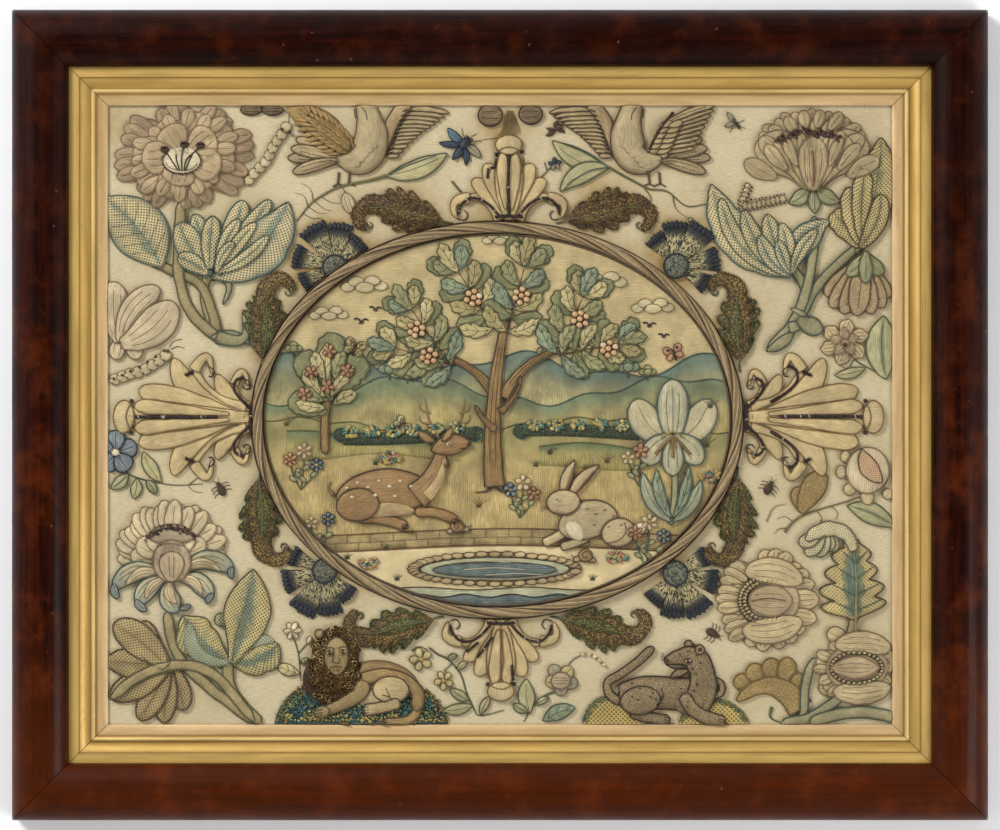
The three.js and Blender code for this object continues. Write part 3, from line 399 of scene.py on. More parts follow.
THREADS = {
    "petal_taupe": dict(light="d4c099", dark="b49e7a", pitch=0.9, edge=("96805e", 0.16)),
    "petal_inner": dict(light="c5ad8e", dark="a99072", pitch=0.9, edge=("9c8464", 0.18)),
    "petal_dusky": dict(light="b39a7f", dark="947a60", pitch=0.9, edge=("867052", 0.16)),
    "petal_dotted": dict(light="cdb48e", dark="a68c6a", pattern="knots", pitch=0.8, edge=("8a7454", 0.2)),
    "petal_grey": dict(light="c5b18e", dark="9d8865", pitch=0.9, edge=("766246", 0.14)),
    "petal_pale": dict(light="d8c7ad", dark="bda78a", pitch=1.0, edge=("a08a70", 0.14)),
    "petal_cream": dict(light="dccdb0", dark="c4ae8c", pitch=1.0, edge=("b09878", 0.12)),
    "petal_blue": dict(light="cec6a6", dark="a6a792", pitch=0.9, edge=("7f9090", 0.3),
                       tip=("93a09e", 0.7, 1.0)),
    "blue_silk": dict(light="8c9ca8", dark="49648a", pitch=0.8, edge=("2c4468", 0.35)),
    "white_silk": dict(light="e9dfca", dark="d2c4a8", pitch=0.9),
    "sepal": dict(light="a7a682", dark="7f8566", pitch=0.9, edge=("5f6a52", 0.2)),
    "heart_pink": dict(light="bbab93", dark="a48c76", pitch=0.9, edge=("9f8570", 0.12)),
    "lace_pale": dict(light="d6c69a", dark="443b29", pattern="lace", pitch=1.5, band=("8d9c8a", 0.05, 0.2),
                      edge=("7b8f86", 0.3)),
    "lace_teal": dict(light="d0c39e", dark="3e3a2d", pattern="lace", pitch=1.5, band=("7d9690", 0.2, 0.28),
                      edge=("6f8a86", 0.34)),
    "lace_olive": dict(light="c8b67e", dark="463b25", pattern="lace", pitch=1.5, band=("8f8f68", 0.0, 0.22),
                       edge=("6c6340", 0.2)),
    "lace_gold": dict(light="b49e70", dark="513e27", pattern="lace", pitch=1.5, hole=0.25,
                      band=("a08a5e", 0.0, 0.3), edge=("6e5535", 0.1)),
    "lace_yellow": dict(light="c7b880", dark="473c25", pattern="lace", pitch=1.5,
                        band=("5c7d76", 0.0, 0.34), edge=("9c8f58", 0.12)),
    "lace_curl": dict(light="d3c9a6", dark="5a5344", pattern="lace", pitch=1.3, hole=0.22,
                      edge=("7b8f86", 0.2)),
    "lace_fold": dict(light="a3ac96", dark="46544a", pattern="lace", pitch=1.5, hole=0.22,
                      edge=("52706a", 0.3)),
    "leaf_teal": dict(light="6f8a7c", dark="3f5c54", pitch=0.8, edge=("8a8f68", 0.5), fade=0.35),
    "gold_silk": dict(light="c0a66c", dark="977c46", pattern="knots", pitch=0.9, edge=("85703f", 0.2)),
    "leaf_silk": dict(light="b9b58e", dark="8f946f", pitch=0.9, edge=("5c6b50", 0.2),
                      band=("7c8768", 0.0, 0.25)),
    "leaf_blue": dict(light="aeb098", dark="7d8f80", pitch=0.9, edge=("52685e", 0.22)),
    "stem": dict(light="b0a074", dark="90825a", pattern="wrap", pitch=0.6, edge=("6c6a48", 0.42)),
    "stem_teal": dict(light="aca482", dark="8a8766", pattern="wrap", pitch=0.6, edge=("5f6e5c", 0.45)),
    "acanthus": dict(light="ab8b3e", dark="463514", pattern="knots", pitch=1.0, band=("747a48", 0, 0),
                     fade=0.35),
    "acanthus_brown": dict(light="a07b31", dark="402d0f", pattern="knots", pitch=1.0, band=("7d6a3c", 0, 0),
                           fade=0.35),
    "acanthus_green": dict(light="969447", dark="3b3e1b", pattern="knots", pitch=1.0, band=("a08a52", 0, 0),
                           fade=0.35),
    "navy_fan": dict(light="bcb084", dark="2b3234", pattern="dashes", pitch=0.85, tip=("1b2233", 0.62, 0.8),
                     fade=0.3),
    "navy_eye": dict(light="7e8270", dark="28323a", pattern="dashes", pitch=0.6, fade=0.3,
                     edge=("222a38", 0.2)),
    "navy_teeth": dict(light="2b3446", dark="141926", pitch=0.6, fade=0.3),
    "lace_rust": dict(light="cfa98a", dark="8a5a40", pattern="lace", pitch=1.2, hole=0.24, fade=0.2),
    "lace_oak": dict(light="c6b27a", dark="4a4428", pattern="lace", pitch=1.5, hole=0.22,
                     band=("5c7d76", 0.0, 0.3), edge=("6d7a58", 0.2)),
    "tip_blue": dict(light="98a4a2", dark="6b8088", pitch=0.7, edge=("56707e", 0.3)),
    "mane_ground": dict(light="4e3719", dark="2f200f", pattern="loops", pitch=1.2),
    "leopard_pale": dict(light="bda682", dark="857052", pattern="knots", pitch=0.75, edge=("6a5640", 0.3)),
    "palmette": dict(light="d6c093", dark="bda272", pitch=0.9, edge=("a98750", 0.16)),
    "palmette_knob": dict(light="d9c49b", dark="c0a67a", pitch=0.9, edge=("a98750", 0.1)),
    "bird_body": dict(light="bdad8b", dark="a79270", pitch=0.9, edge=("a08a62", 0.4)),
    "feather_dark": dict(light="b89f78", dark="8f7652", pitch=0.8, edge=("6a5334", 0.3)),
    "bird_grey": dict(light="c6b493", dark="a39070", pitch=0.9, edge=("7f6a4c", 0.4)),
    "feather": dict(light="c5b189", dark="9a8258", pitch=0.8, edge=("6a5230", 0.35)),
    "feather_gold": dict(light="b8965a", dark="86653a", pitch=0.7, edge=("6e5230", 0.3)),
    "tail_feather": dict(light="bda783", dark="9c8562", pitch=0.9, edge=("6a5334", 0.3)),
    "lion_fur": dict(light="ae8f5c", dark="866a3e", pitch=0.8, edge=("6a5030", 0.25)),
    "lion_cream": dict(light="cdb88c", dark="b09a6e", pitch=0.9, edge=("7f6540", 0.16)),
    "lion_face": dict(light="b39a68", dark="937a4c", pitch=0.8, edge=("6a5030", 0.16)),
    "leopard_fur": dict(light="b59d7a", dark="7a664a", pattern="knots", pitch=0.75, edge=("6a5640", 0.3)),
    "hill_teal": dict(light="4d7872", dark="243f3e", pattern="knots", pitch=0.8, fade=0.45),
    "hill_gold": dict(light="bda258", dark="5f4f26", pattern="lace", pitch=1.8, hole=0.27,
                      edge=("6f7a4a", 0.12)),
    "brown_silk": dict(light="5a4232", dark="38281e", pitch=0.8),
    "navy_silk": dict(light="3d5a78", dark="1d2a40", pitch=0.7),
    "trunk": dict(light="a5834f", dark="7b5c34", pitch=0.9, edge=("5a4226", 0.25)),
    "foliage": dict(light="aca77a", dark="7c845f", pitch=0.9, edge=("5f6c52", 0.25)),
    "foliage_gold": dict(light="c2b07c", dark="9c935e", pitch=0.9, edge=("757850", 0.25)),
    "foliage_teal": dict(light="9aa68c", dark="66806f", pitch=0.9, edge=("4c665a", 0.25)),
    "stag_fur": dict(light="b08a5a", dark="8b6840", pitch=0.8, edge=("6a4c2c", 0.2)),
    "hare_fur": dict(light="cbb894", dark="aa9470", pitch=0.8, edge=("7a6344", 0.2)),
    "iris_silk": dict(light="cdc4a4", dark="969a8e", pitch=0.8, edge=("6f8288", 0.35)),
    "sky_silk": dict(light="d2bf92", dark="c2ad7e", pitch=1.0, fade=0.25),
    "hill_far": dict(light="c0b280", dark="98946a", pattern="across", pitch=1.0, tip=("64807a", 0.35, 1.0),
                     fade=0.4),
    "hill_near": dict(light="c2ae72", dark="9c9260", pattern="across", pitch=1.0, tip=("6f8468", 0.4, 1.0),
                      fade=0.4),
    "meadow": dict(light="d2b87c", dark="ae9860", pattern="across", pitch=1.0, tip=("9c9860", 0.65, 1.0),
                   fade=0.35),
    "meadow_olive": dict(light="b8a866", dark="868450", pattern="across", pitch=1.0,
                         tip=("6a7d56", 0.5, 1.0), fade=0.35),
    "hedge": dict(light="52624a", dark="2a3a2c", pattern="knots", pitch=0.9, tip=("6f8a5a", 0.7, 1.0),
                  fade=0.3),
    "lawn": dict(light="dccaa0", dark="c2ae84", pattern="lace", pitch=0.9, hole=0.14, fade=0.25),
    "brick": dict(light="bfa56e", dark="978a5e", pitch=0.9, fade=0.5),
    "pond_rim": dict(light="c4a578", dark="a5835a", pattern="wrap", pitch=1.2, fade=0.3),
    "water": dict(light="c3c0a2", dark="93a496", pitch=1.0, fade=0.3),
    "water_blue": dict(light="71868a", dark="3f586a", pitch=0.9, fade=0.4),
    "cloud_silk": dict(light="d6c8a0", dark="b5ad92", pitch=0.8, edge=("98a094", 0.3)),
    "stone": dict(light="c8b189", dark="a68c64", pitch=0.8, edge=("7d6444", 0.25), fade=0.4),
    "bead_silk": dict(light="d3c294", dark="b3a074", pitch=0.7, edge=("7d6a48", 0.3)),
    "pale_leaf": dict(light="c2ba90", dark="a09c74", pitch=0.9, edge=("5f7d70", 0.3)),
    "blue_wing": dict(light="6a96b8", dark="3a6694", pitch=0.7, edge=("27406e", 0.3)),
    "grey_wing": dict(light="b4ad98", dark="8c8878", pitch=0.7, edge=("6a6a60", 0.25)),
    "brown_bunch": dict(light="8a7256", dark="5c4834", pitch=0.8, edge=("45342a", 0.3)),
    "speckled": dict(light="d6c8a4", dark="b0a07c", pitch=0.7, edge=("8c7c5c", 0.25)),
    "petal_yellow": dict(light="d3c592", dark="b0a06c", pitch=0.9, edge=("8d7f4e", 0.2)),
    "foliage_deep": dict(light="949668", dark="667054", pitch=0.9, edge=("4f6048", 0.25)),
    "foliage_pale": dict(light="d3c492", dark="b2a574", pitch=0.9, edge=("868a60", 0.22)),
    "rose_silk": dict(light="c79a7c", dark="a8725a", pitch=0.7, edge=("8a543f", 0.3)),
    "iris_pale": dict(light="d9cda8", dark="b4ac92", pitch=0.8, edge=("84928f", 0.3)),
    "stag_pale": dict(light="cdb083", dark="a98b60", pitch=0.8),
    "berry_ground": dict(light="8b7a50", dark="5e5836", pattern="knots", pitch=0.9),
    "snail_shell": dict(light="b4905c", dark="8a6840", pitch=0.7, edge=("6a4a2c", 0.3)),
    "snail_foot": dict(light="c0ae8a", dark="94825f", pitch=0.7),
}

LINES = {
    "line_brown": ("6d573f", "4c3a28"),
    "line_taupe": ("9a836a", "7d6852"),
    "line_dark": ("3b2c20", "251a13"),
    "line_gold": ("9a7a44", "74582c"),
    "line_teal": ("557471", "3c5a5c"),
    "line_green": ("6a7250", "4d553a"),
    "line_navy": ("2a3852", "151e33"),
    "line_rust": ("9a5a3c", "73402a"),
    "line_white": ("e6dcc6", "c9bca0"),
    "line_grey": ("7d7d6c", "5c5f52"),
    "line_olive": ("7d7a4a", "5b5c38"),
    "line_tan": ("a5835a", "7c5f3c"),
    "stem_line": ("a89c6c", "7f7a50"),
    "line_pink": ("b09478", "8f745a"),
    "cord_brown": ("9c8260", "745a40"),
    "cord_tan": ("bb9f77", "957955"),
    "cord_silver": ("cfbf9b", "a79570"),
    "cord_dark": ("5e4836", "3d2e23"),
}

MATERIALS = {}


def material(name):
    """The material of that name, made when it is first asked for."""
    if name not in MATERIALS:
        if name in THREADS:
            MATERIALS[name] = thread(name, **THREADS[name])
        elif name in LINES:
            MATERIALS[name] = thread(name, *LINES[name], pattern="satin", pitch=0.5, fade=0.2,
                                     roughness=0.55)
        else:
            MATERIALS[name] = SPECIAL[name]()
    return MATERIALS[name]


SPECIAL = {
    # Wires, beads and knots: dark colour, light colour, then the colour of their painted glints and the share
    # of turns that get it
    "purl": lambda: wire("purl", "2c2021", "5a4642"),
    "purl_gold": lambda: wire("purl_gold", "3d2a10", "8a6a34", "e0c88a", 0.1),
    "bead_cream": lambda: wire("bead_cream", "b3a074", "d3c496", "e6dcc0", 0.1, 0.0),
    "white_bead": lambda: wire("white_bead", "d8cdb4", "efe6d2", "ffffff", 0.1, 0.0),
    "bead_gold": lambda: wire("bead_gold", "8a6a34", "c4a05a", "e6cc8c", 0.1, 0.3),
    "berry": lambda: wire("berry", "b58e64", "d8bf94", "ead9b8", 0.1, 0.0),
    "knot_teal": lambda: wire("knot_teal", "2f4f48", "5c7c68", "7f9a80", 0.1, 0.0),
    "knot_gold": lambda: wire("knot_gold", "8f7c40", "c2ab62", "d8c884", 0.1, 0.0),
    "knot_blue": lambda: wire("knot_blue", "24383c", "3f6468", "6f9290", 0.1, 0.0),
    "knot_leaf": lambda: wire("knot_leaf", "5c6036", "8a8a50", "b0ac74", 0.1, 0.0),
    "knot_brown": lambda: wire("knot_brown", "4e3d1e", "86703a", "a89258", 0.1, 0.0),
    "knot_rose": lambda: wire("knot_rose", "8a5a44", "b98468", "d0a488", 0.1, 0.0),
    "seed_dark": lambda: wire("seed_dark", "2a1a15", "6a4a38", "a08a78", 0.04, 0.2),
    "ground_satin": satin_ground,
    "polished_wood": polished_wood,
    "gold_leaf": gold_leaf,
    "old_board": old_board,
    "floor_paper": floor_paper,
}


# The height of the work over the satin


class Relief:
    """How high the work stands at each place, so that each new lobe or line lies on what is below it."""

    STEP = 0.6
    SPREAD = [(0, 0), (1.2, 0), (-1.2, 0), (0, 1.2), (0, -1.2), (0.85, 0.85), (-0.85, 0.85), (0.85, -0.85),
              (-0.85, -0.85)]

    def __init__(self):
        self.nx = int(2 * SIGHT_X / self.STEP) + 3
        self.ny = int(2 * SIGHT_Y / self.STEP) + 3
        self.high = np.zeros((self.ny, self.nx))

    def cell(self, x, y):
        fx = np.clip((np.asarray(x, float) + SIGHT_X) / self.STEP, 0, self.nx - 1.001)
        fy = np.clip((np.asarray(y, float) + SIGHT_Y) / self.STEP, 0, self.ny - 1.001)
        return fx, fy

    def top(self, x, y):
        fx, fy = self.cell(x, y)
        ix, iy = fx.astype(int), fy.astype(int)
        u, v = fx - ix, fy - iy
        low = self.high[iy, ix] * (1 - u) + self.high[iy, ix + 1] * u
        high = self.high[iy + 1, ix] * (1 - u) + self.high[iy + 1, ix + 1] * u
        return low * (1 - v) + high * v

    def soft(self, x, y, spread=1.0):
        x, y = np.asarray(x, float), np.asarray(y, float)
        return sum(self.top(x + dx * spread, y + dy * spread) for dx, dy in self.SPREAD) / len(self.SPREAD)

    def add(self, x, y, z):
        fx, fy = self.cell(x, y)
        for ox in (0, 1):
            for oy in (0, 1):
                np.maximum.at(self.high, (fy.astype(int) + oy, fx.astype(int) + ox), z)

    def cover(self, x, y, z):
        """Add a whole grid of places, and those between them at a quarter of its step."""
        fine = []
        for grid in (x, y, z):
            for _ in range(4):
                middle = (grid[:-1] + grid[1:]) / 2
                doubled = np.stack([grid[:-1], middle], axis=1).reshape(-1, grid.shape[1])
                grid = np.concatenate([doubled, grid[-1:]]).T
            fine.append(grid)
        self.add(*fine)


RELIEF = Relief()


def in_sight(x, y, inset):
    """Whether a place lies inside the sight edge by at least the inset."""
    return abs(x) <= SIGHT_X - inset and abs(y) <= SIGHT_Y - inset


def from_cord(x, y):
    """How far a place lies outside the middle of the oval cord, in millimetres. Inside it is below 0."""
    dx, dy = x - OVAL_X, y - OVAL_Y
    reach = np.hypot(dx / OVAL_RX, dy / OVAL_RY)
    return (reach - 1) * np.hypot(dx, dy) / np.maximum(reach, 1e-6)


# Meshes


class Work:
    """One piece of the object, gathered as patches of mesh, each in its own material."""

    def __init__(self, name, inside=False):
        self.name = name
        self.inside = inside
        self.random = random.Random(name)
        self.places, self.marks, self.faces, self.slots = [], [], [], []
        self.materials = []
        self.count = 0

    def add(self, places, faces, finish, uv, along=None, side=None, tone=None):
        total = len(places)
        along = np.zeros(total) if along is None else along
        side = np.zeros(total) if side is None else side
        tone = self.random.random() if tone is None else tone
        if finish not in self.materials:
            self.materials.append(finish)
        self.places.append(np.asarray(places, float))
        self.marks.append(np.column_stack([uv, along, side, np.broadcast_to(tone, (total,))]))
        for group in faces:
            group = np.asarray(group, int) + self.count
            self.faces.extend(group.tolist())
            self.slots.extend([self.materials.index(finish)] * len(group))
        self.count += total

    def build(self, body="root", slot=None, stands_for=(), padded=None):
        mesh = bpy.data.meshes.new(self.name)
        places = np.vstack(self.places) * MM
        mesh.from_pydata(places.tolist(), [], self.faces)
        marks = np.vstack(self.marks)
        corners = np.empty(len(mesh.loops), int)
        mesh.loops.foreach_get("vertex_index", corners)
        layer = mesh.uv_layers.new(name="thread")
        layer.data.foreach_set("uv", marks[corners, :2].astype(np.float32).ravel())
        for column, name in ((2, "along"), (3, "side"), (4, "tone")):
            extra = mesh.attributes.new(name, "FLOAT", "POINT")
            extra.data.foreach_set("value", marks[:, column].astype(np.float32))
        for name in self.materials:
            mesh.materials.append(material(name))
        mesh.polygons.foreach_set("material_index", self.slots)
        mesh.polygons.foreach_set("use_smooth", [True] * len(self.faces))
        mesh.update()
        piece = bpy.data.objects.new(self.name, mesh)
        bpy.context.scene.collection.objects.link(piece)
        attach(piece, body)
        if stands_for:
            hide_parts(*stands_for)
        return piece


def skin(rings, size, closed=False):
    """Faces over a run of rings of points, numbered ring by ring. closed joins the last to the first."""
    count = rings if closed else rings - 1
    i, j = np.meshgrid(np.arange(count), np.arange(size), indexing="ij")
    i, j = i.ravel(), j.ravel()
    ahead, beside = (i + 1) % rings, (j + 1) % size
    return np.column_stack([i * size + j, i * size + beside, ahead * size + beside, ahead * size + j])


def capped(rings, size):
    """Faces over a run of rings with a point at either end: the root point, the rings, then the tip."""
    j = np.arange(size)
    beside = (j + 1) % size
    last = 1 + (rings - 1) * size
    root = np.column_stack([np.zeros(size, int), 1 + beside, 1 + j])
    tip = np.column_stack([np.full(size, 1 + rings * size), last + j, last + beside])
    return [skin(rings, size) + 1, root, tip]


WIDTHS = {
    "leaf": lambda t: np.sin(np.pi * t) ** 0.8,
    "pod": lambda t: np.sqrt(np.maximum(0, 1 - (2 * t - 1) ** 2)),
    "petal": lambda t: np.where(t < 0.6, 0.3 + 0.7 * np.sin(np.pi / 2 * np.minimum(t, 0.6) / 0.6),
                                np.sqrt(np.maximum(0, 1 - ((t - 0.6) / 0.4) ** 2))),
    "fan": lambda t: np.where(t < 0.85, 0.25 + 0.75 * t / 0.85,
                              np.sqrt(np.maximum(0, 1 - ((t - 0.85) / 0.15) ** 2))),
    "stem": lambda t: np.sqrt(np.minimum(1, np.minimum(t, 1 - t) / 0.06)),
    "horn": lambda t: (1 - 0.65 * t) * np.sqrt(np.minimum(1, (1 - t) / 0.1)),
    "taper": lambda t: (1 - 0.72 * t) * np.sqrt(np.minimum(1, np.minimum(t + 0.01, 1.01 - t) / 0.08)),
}

# What each finish does to a lobe: outline, its radius, inner lines, and the shape of its pad
PLAIN = dict(outline="line_brown", radius=0.38, veins=(), scallop=0.0, ridges=0.0, crown=0.55, wobble=0.05,
             ribs=0, fringe=0.0, shape=None, notches=None)
STYLES = {
    "petal_taupe": dict(outline="line_taupe", radius=0.3, veins=(-0.5, 0.0, 0.5), scallop=0.07, ridges=0.16,
                        crown=0.5),
    "petal_inner": dict(outline="line_pink", radius=0.28, veins=(-0.4, 0.1, 0.5), scallop=0.05, ridges=0.14,
                        crown=0.5),
    "petal_dusky": dict(outline="line_pink", veins=(-0.5, 0.0, 0.5), scallop=0.07, ridges=0.16, crown=0.5,
                        radius=0.3),
    "petal_dotted": dict(outline="line_brown", veins=(), scallop=0.05, radius=0.3, crown=0.5),
    "petal_grey": dict(outline="line_taupe", radius=0.28, veins=(-0.55, -0.2, 0.25, 0.6), scallop=0.03,
                       ridges=0.16, crown=0.5),
    "petal_pale": dict(outline="line_taupe", veins=(-0.4, 0.4), ridges=0.1, crown=0.5),
    "petal_cream": dict(outline="line_pink", radius=0.32, veins=(-0.3, 0.3), scallop=0.04, ridges=0.1,
                        crown=0.5),
    "petal_blue": dict(outline="line_teal", veins=(-0.3, 0.3), ridges=0.16),
    "blue_silk": dict(outline="line_navy", veins=(0.0,)),
    "tip_blue": dict(outline="line_navy", radius=0.3),
    "white_silk": dict(outline=None),
    "sepal": dict(outline="line_green", veins=(0.0,)),
    "heart_pink": dict(outline="line_taupe", veins=(-0.35, 0.0, 0.35), ridges=0.1),
    "lace_pale": dict(outline="line_teal", veins=(0.0,), ridges=0.3, crown=0.5),
    "lace_teal": dict(outline="line_teal", veins=(0.1,), ridges=0.3, crown=0.5),
    "lace_olive": dict(outline="line_brown", veins=(0.0,), ridges=0.3, crown=0.5),
    "lace_gold": dict(outline="line_brown", radius=0.45, veins=(0.0,), ridges=0.25, crown=0.5),
    "lace_yellow": dict(outline="line_green", ridges=0.25, crown=0.5),
    "lace_curl": dict(outline="line_grey", radius=0.4, ridges=0.2),
    "lace_fold": dict(outline=None, ridges=0.2),
    "gold_silk": dict(outline="line_gold", ridges=0.2, scallop=0.05),
    "leaf_silk": dict(outline="line_green", veins=(0.0,), ridges=0.1),
    "leaf_blue": dict(outline="line_teal", veins=(0.0,), ridges=0.1),
    "stem": dict(outline="line_green", radius=0.32, crown=0.6, wobble=0.08),
    "stem_teal": dict(outline="line_teal", radius=0.32, crown=0.6, wobble=0.08),
    "acanthus": dict(outline=None, ridges=0.4, crown=0.6, fringe=0.9),
    "acanthus_brown": dict(outline=None, ridges=0.4, crown=0.6, fringe=0.9),
    "acanthus_green": dict(outline=None, ridges=0.4, crown=0.6, fringe=0.9),
    "mane_ground": dict(outline=None),
    "cloud_silk": dict(outline="line_tan", radius=0.18),
    "stone": dict(outline="line_brown", radius=0.22),
    "navy_fan": dict(outline=None, scallop=0.03, ridges=0.2, crown=0.45),
    "navy_teeth": dict(outline=None, ridges=0.1, crown=0.5),
    "navy_eye": dict(outline="line_navy", radius=0.45, crown=0.5),
    "palmette": dict(outline="line_gold", radius=0.28, veins=(), ridges=0.12, crown=0.5),
    "palmette_knob": dict(outline="line_gold", radius=0.34, crown=0.5),
    "bird_body": dict(outline="line_brown", crown=0.55, radius=0.28),
    "feather_dark": dict(outline="line_brown", radius=0.3, veins=()),
    "bird_grey": dict(outline="line_brown", crown=0.55, radius=0.32),
    "feather": dict(outline="line_brown", radius=0.34, veins=(0.0,)),
    "feather_gold": dict(outline=None, ridges=0.3),
    "tail_feather": dict(outline="line_brown", radius=0.4),
    "lion_fur": dict(outline="line_brown", crown=0.6),
    "lion_cream": dict(outline="line_brown", crown=0.6),
    "lion_face": dict(outline="line_brown", radius=0.3),
    "leopard_fur": dict(outline="line_dark", radius=0.32, crown=0.6),
    "leopard_pale": dict(outline="line_dark", radius=0.3, crown=0.6),
    "hill_teal": dict(outline=None, ridges=0.3),
    "hill_gold": dict(outline="line_green", ridges=0.2),
    "brown_silk": dict(outline=None),
    "navy_silk": dict(outline="line_navy", radius=0.25),
    "trunk": dict(outline="line_brown", veins=(-0.3, 0.3), ridges=0.3),
    "foliage": dict(outline="line_green", radius=0.3, veins=(0.0,), scallop=0.05, ridges=0.15, ribs=3),
    "foliage_gold": dict(outline="line_green", radius=0.3, veins=(0.0,), scallop=0.05, ridges=0.15, ribs=3),
    "foliage_teal": dict(outline="line_teal", radius=0.3, veins=(0.0,), scallop=0.05, ridges=0.15, ribs=3),
    "stag_fur": dict(outline="line_brown", crown=0.6),
    "hare_fur": dict(outline="line_brown", crown=0.6),
    "iris_silk": dict(outline="line_teal", veins=(0.0,), ridges=0.15),
    "iris_pale": dict(outline="line_teal", veins=(0.0,), ridges=0.15, radius=0.3),
    "bead_silk": dict(outline="line_dark", radius=0.24),
    "pale_leaf": dict(outline="line_green", radius=0.3, veins=(0.0,)),
    "grey_wing": dict(outline="line_grey", radius=0.25, veins=(0.0,)),
    "blue_wing": dict(outline="line_navy", radius=0.25),
    "brown_bunch": dict(outline="line_dark", radius=0.3, veins=(-0.3, 0.3)),
    "speckled": dict(outline="line_taupe", radius=0.24),
    "petal_yellow": dict(outline="line_olive", radius=0.25, veins=(0.0,)),
    "foliage_deep": dict(outline="line_green", radius=0.25, scallop=0.06),
    "foliage_pale": dict(outline="line_green", radius=0.28, veins=(0.0,), ribs=3),
    "rose_silk": dict(outline="line_rust", radius=0.24),
    "berry_ground": dict(outline=None),
    "stag_pale": dict(outline=None),
    "hedge": dict(outline="line_teal"),
}


class Spine:
    """The bowed middle line of a lobe, in the columns of the tables."""

    def __init__(self, row):
        _, x0, y0, x1, y1, bow = row[:6]
        self.root, self.tip = np.array([x0, y0], float), np.array([x1, y1], float)
        way = self.tip - self.root
        self.bend = (self.root + self.tip) / 2 + 2 * bow * np.array([-way[1], way[0]])
        at = self.at(np.linspace(0, 1, 40))
        self.length = float(np.hypot(*np.diff(at, axis=0).T).sum())

    def at(self, t):
        t = np.asarray(t, float)[..., None]
        return (1 - t) ** 2 * self.root + 2 * t * (1 - t) * self.bend + t**2 * self.tip

    def across(self, t):
        t = np.asarray(t, float)[..., None]
        way = 2 * (1 - t) * (self.bend - self.root) + 2 * t * (self.tip - self.bend)
        way = way / np.maximum(np.hypot(way[..., 0], way[..., 1])[..., None], 1e-9)
        return np.stack([-way[..., 1], way[..., 0]], axis=-1)


class Way(Spine):
    """A middle line through any number of places."""

    def __init__(self, points):
        self.path, self.length = spaced(rounded(points), 1.0)
        self.marks = np.linspace(0, 1, len(self.path))
        self.root, self.tip = self.path[0], self.path[-1]

    def at(self, t):
        t = np.asarray(t, float)
        return np.stack([np.interp(t, self.marks, self.path[:, i]) for i in (0, 1)], axis=-1)

    def across(self, t):
        t = np.asarray(t, float)
        way = self.at(np.minimum(t + 0.02, 1.0)) - self.at(np.maximum(t - 0.02, 0.0))
        way = way / np.maximum(np.hypot(way[..., 0], way[..., 1])[..., None], 1e-9)
        return np.stack([-way[..., 1], way[..., 0]], axis=-1)


def limb(work, kind, points, half, rise, finish, **changes):
    """A lobe along a curve through some places."""
    (x0, y0), (x1, y1) = points[0], points[-1]
    lobe(work, (kind, x0, y0, x1, y1, 0, half, rise), finish, way=Way(points), **changes)


def wavering(x, y, size=0.12, seed=0.0):
    """Slow uneven steps between -1 and 1, one for each place."""
    flat = [noise.noise(Vector((a * size, b * size, seed))) for a, b in zip(np.ravel(x), np.ravel(y))]
    return np.reshape(flat, np.shape(x))


def held_in(work, x, y, z):
    """Keeps places inside the sight edge and on their own side of the cord, low where it lies over them."""
    x = np.clip(x, SIGHT_INSET - SIGHT_X, SIGHT_X - SIGHT_INSET)
    y = np.clip(y, SIGHT_INSET - SIGHT_Y, SIGHT_Y - SIGHT_INSET)
    out = from_cord(x, y) * (-1 if work.inside else 1)
    scale = np.hypot((x - OVAL_X) / OVAL_RX, (y - OVAL_Y) / OVAL_RY)
    pulled = out < 0
    safe = np.maximum(scale, 1e-6)
    x = np.where(pulled, OVAL_X + (x - OVAL_X) / safe, x)
    y = np.where(pulled, OVAL_Y + (y - OVAL_Y) / safe, y)
    z = z * np.clip((out - CORD_CLEAR) / CORD_RAMP, CORD_LOW, 1.0)
    return x, y, z


def smoothed(t, marks, values):
    """Values at t, without corners, between values at marks from 0 to 1."""
    curve = rounded([(100 * mark, value) for mark, value in zip(marks, values)], step=2.0)
    return np.interp(100 * t, curve[:, 0], np.maximum(curve[:, 1], 0.03))


def half_widths(row, style, t):
    """The half-widths on the left and on the right of the middle line, and how full the pad is there."""
    if style["shape"]:
        marks, *sides = zip(*style["shape"])
        left, right = [smoothed(t, marks, values) for values in sides]
        base = np.clip((left + right) / 2, 0, 1)
    else:
        base = WIDTHS[row[0]](t)
        left = right = base
    if style["scallop"]:
        count = max(3, round(row[6] * 0.7))
        waves = np.abs(np.sin(t * np.pi * count + row[1] + row[3])) - 0.5
        ruffle = 1 + style["scallop"] * waves * (t > 0.3)
        left, right = left * ruffle, right * ruffle
    if style["notches"]:
        count, depth, _ = style["notches"]
        left = left * (1 - depth * (1 - np.abs(np.sin(np.pi * count * t)) ** 0.6))
        right = right * (1 - depth * (1 - np.abs(np.sin(np.pi * (count - 0.3) * t)) ** 0.6))
    return row[6] * left, row[6] * right, base


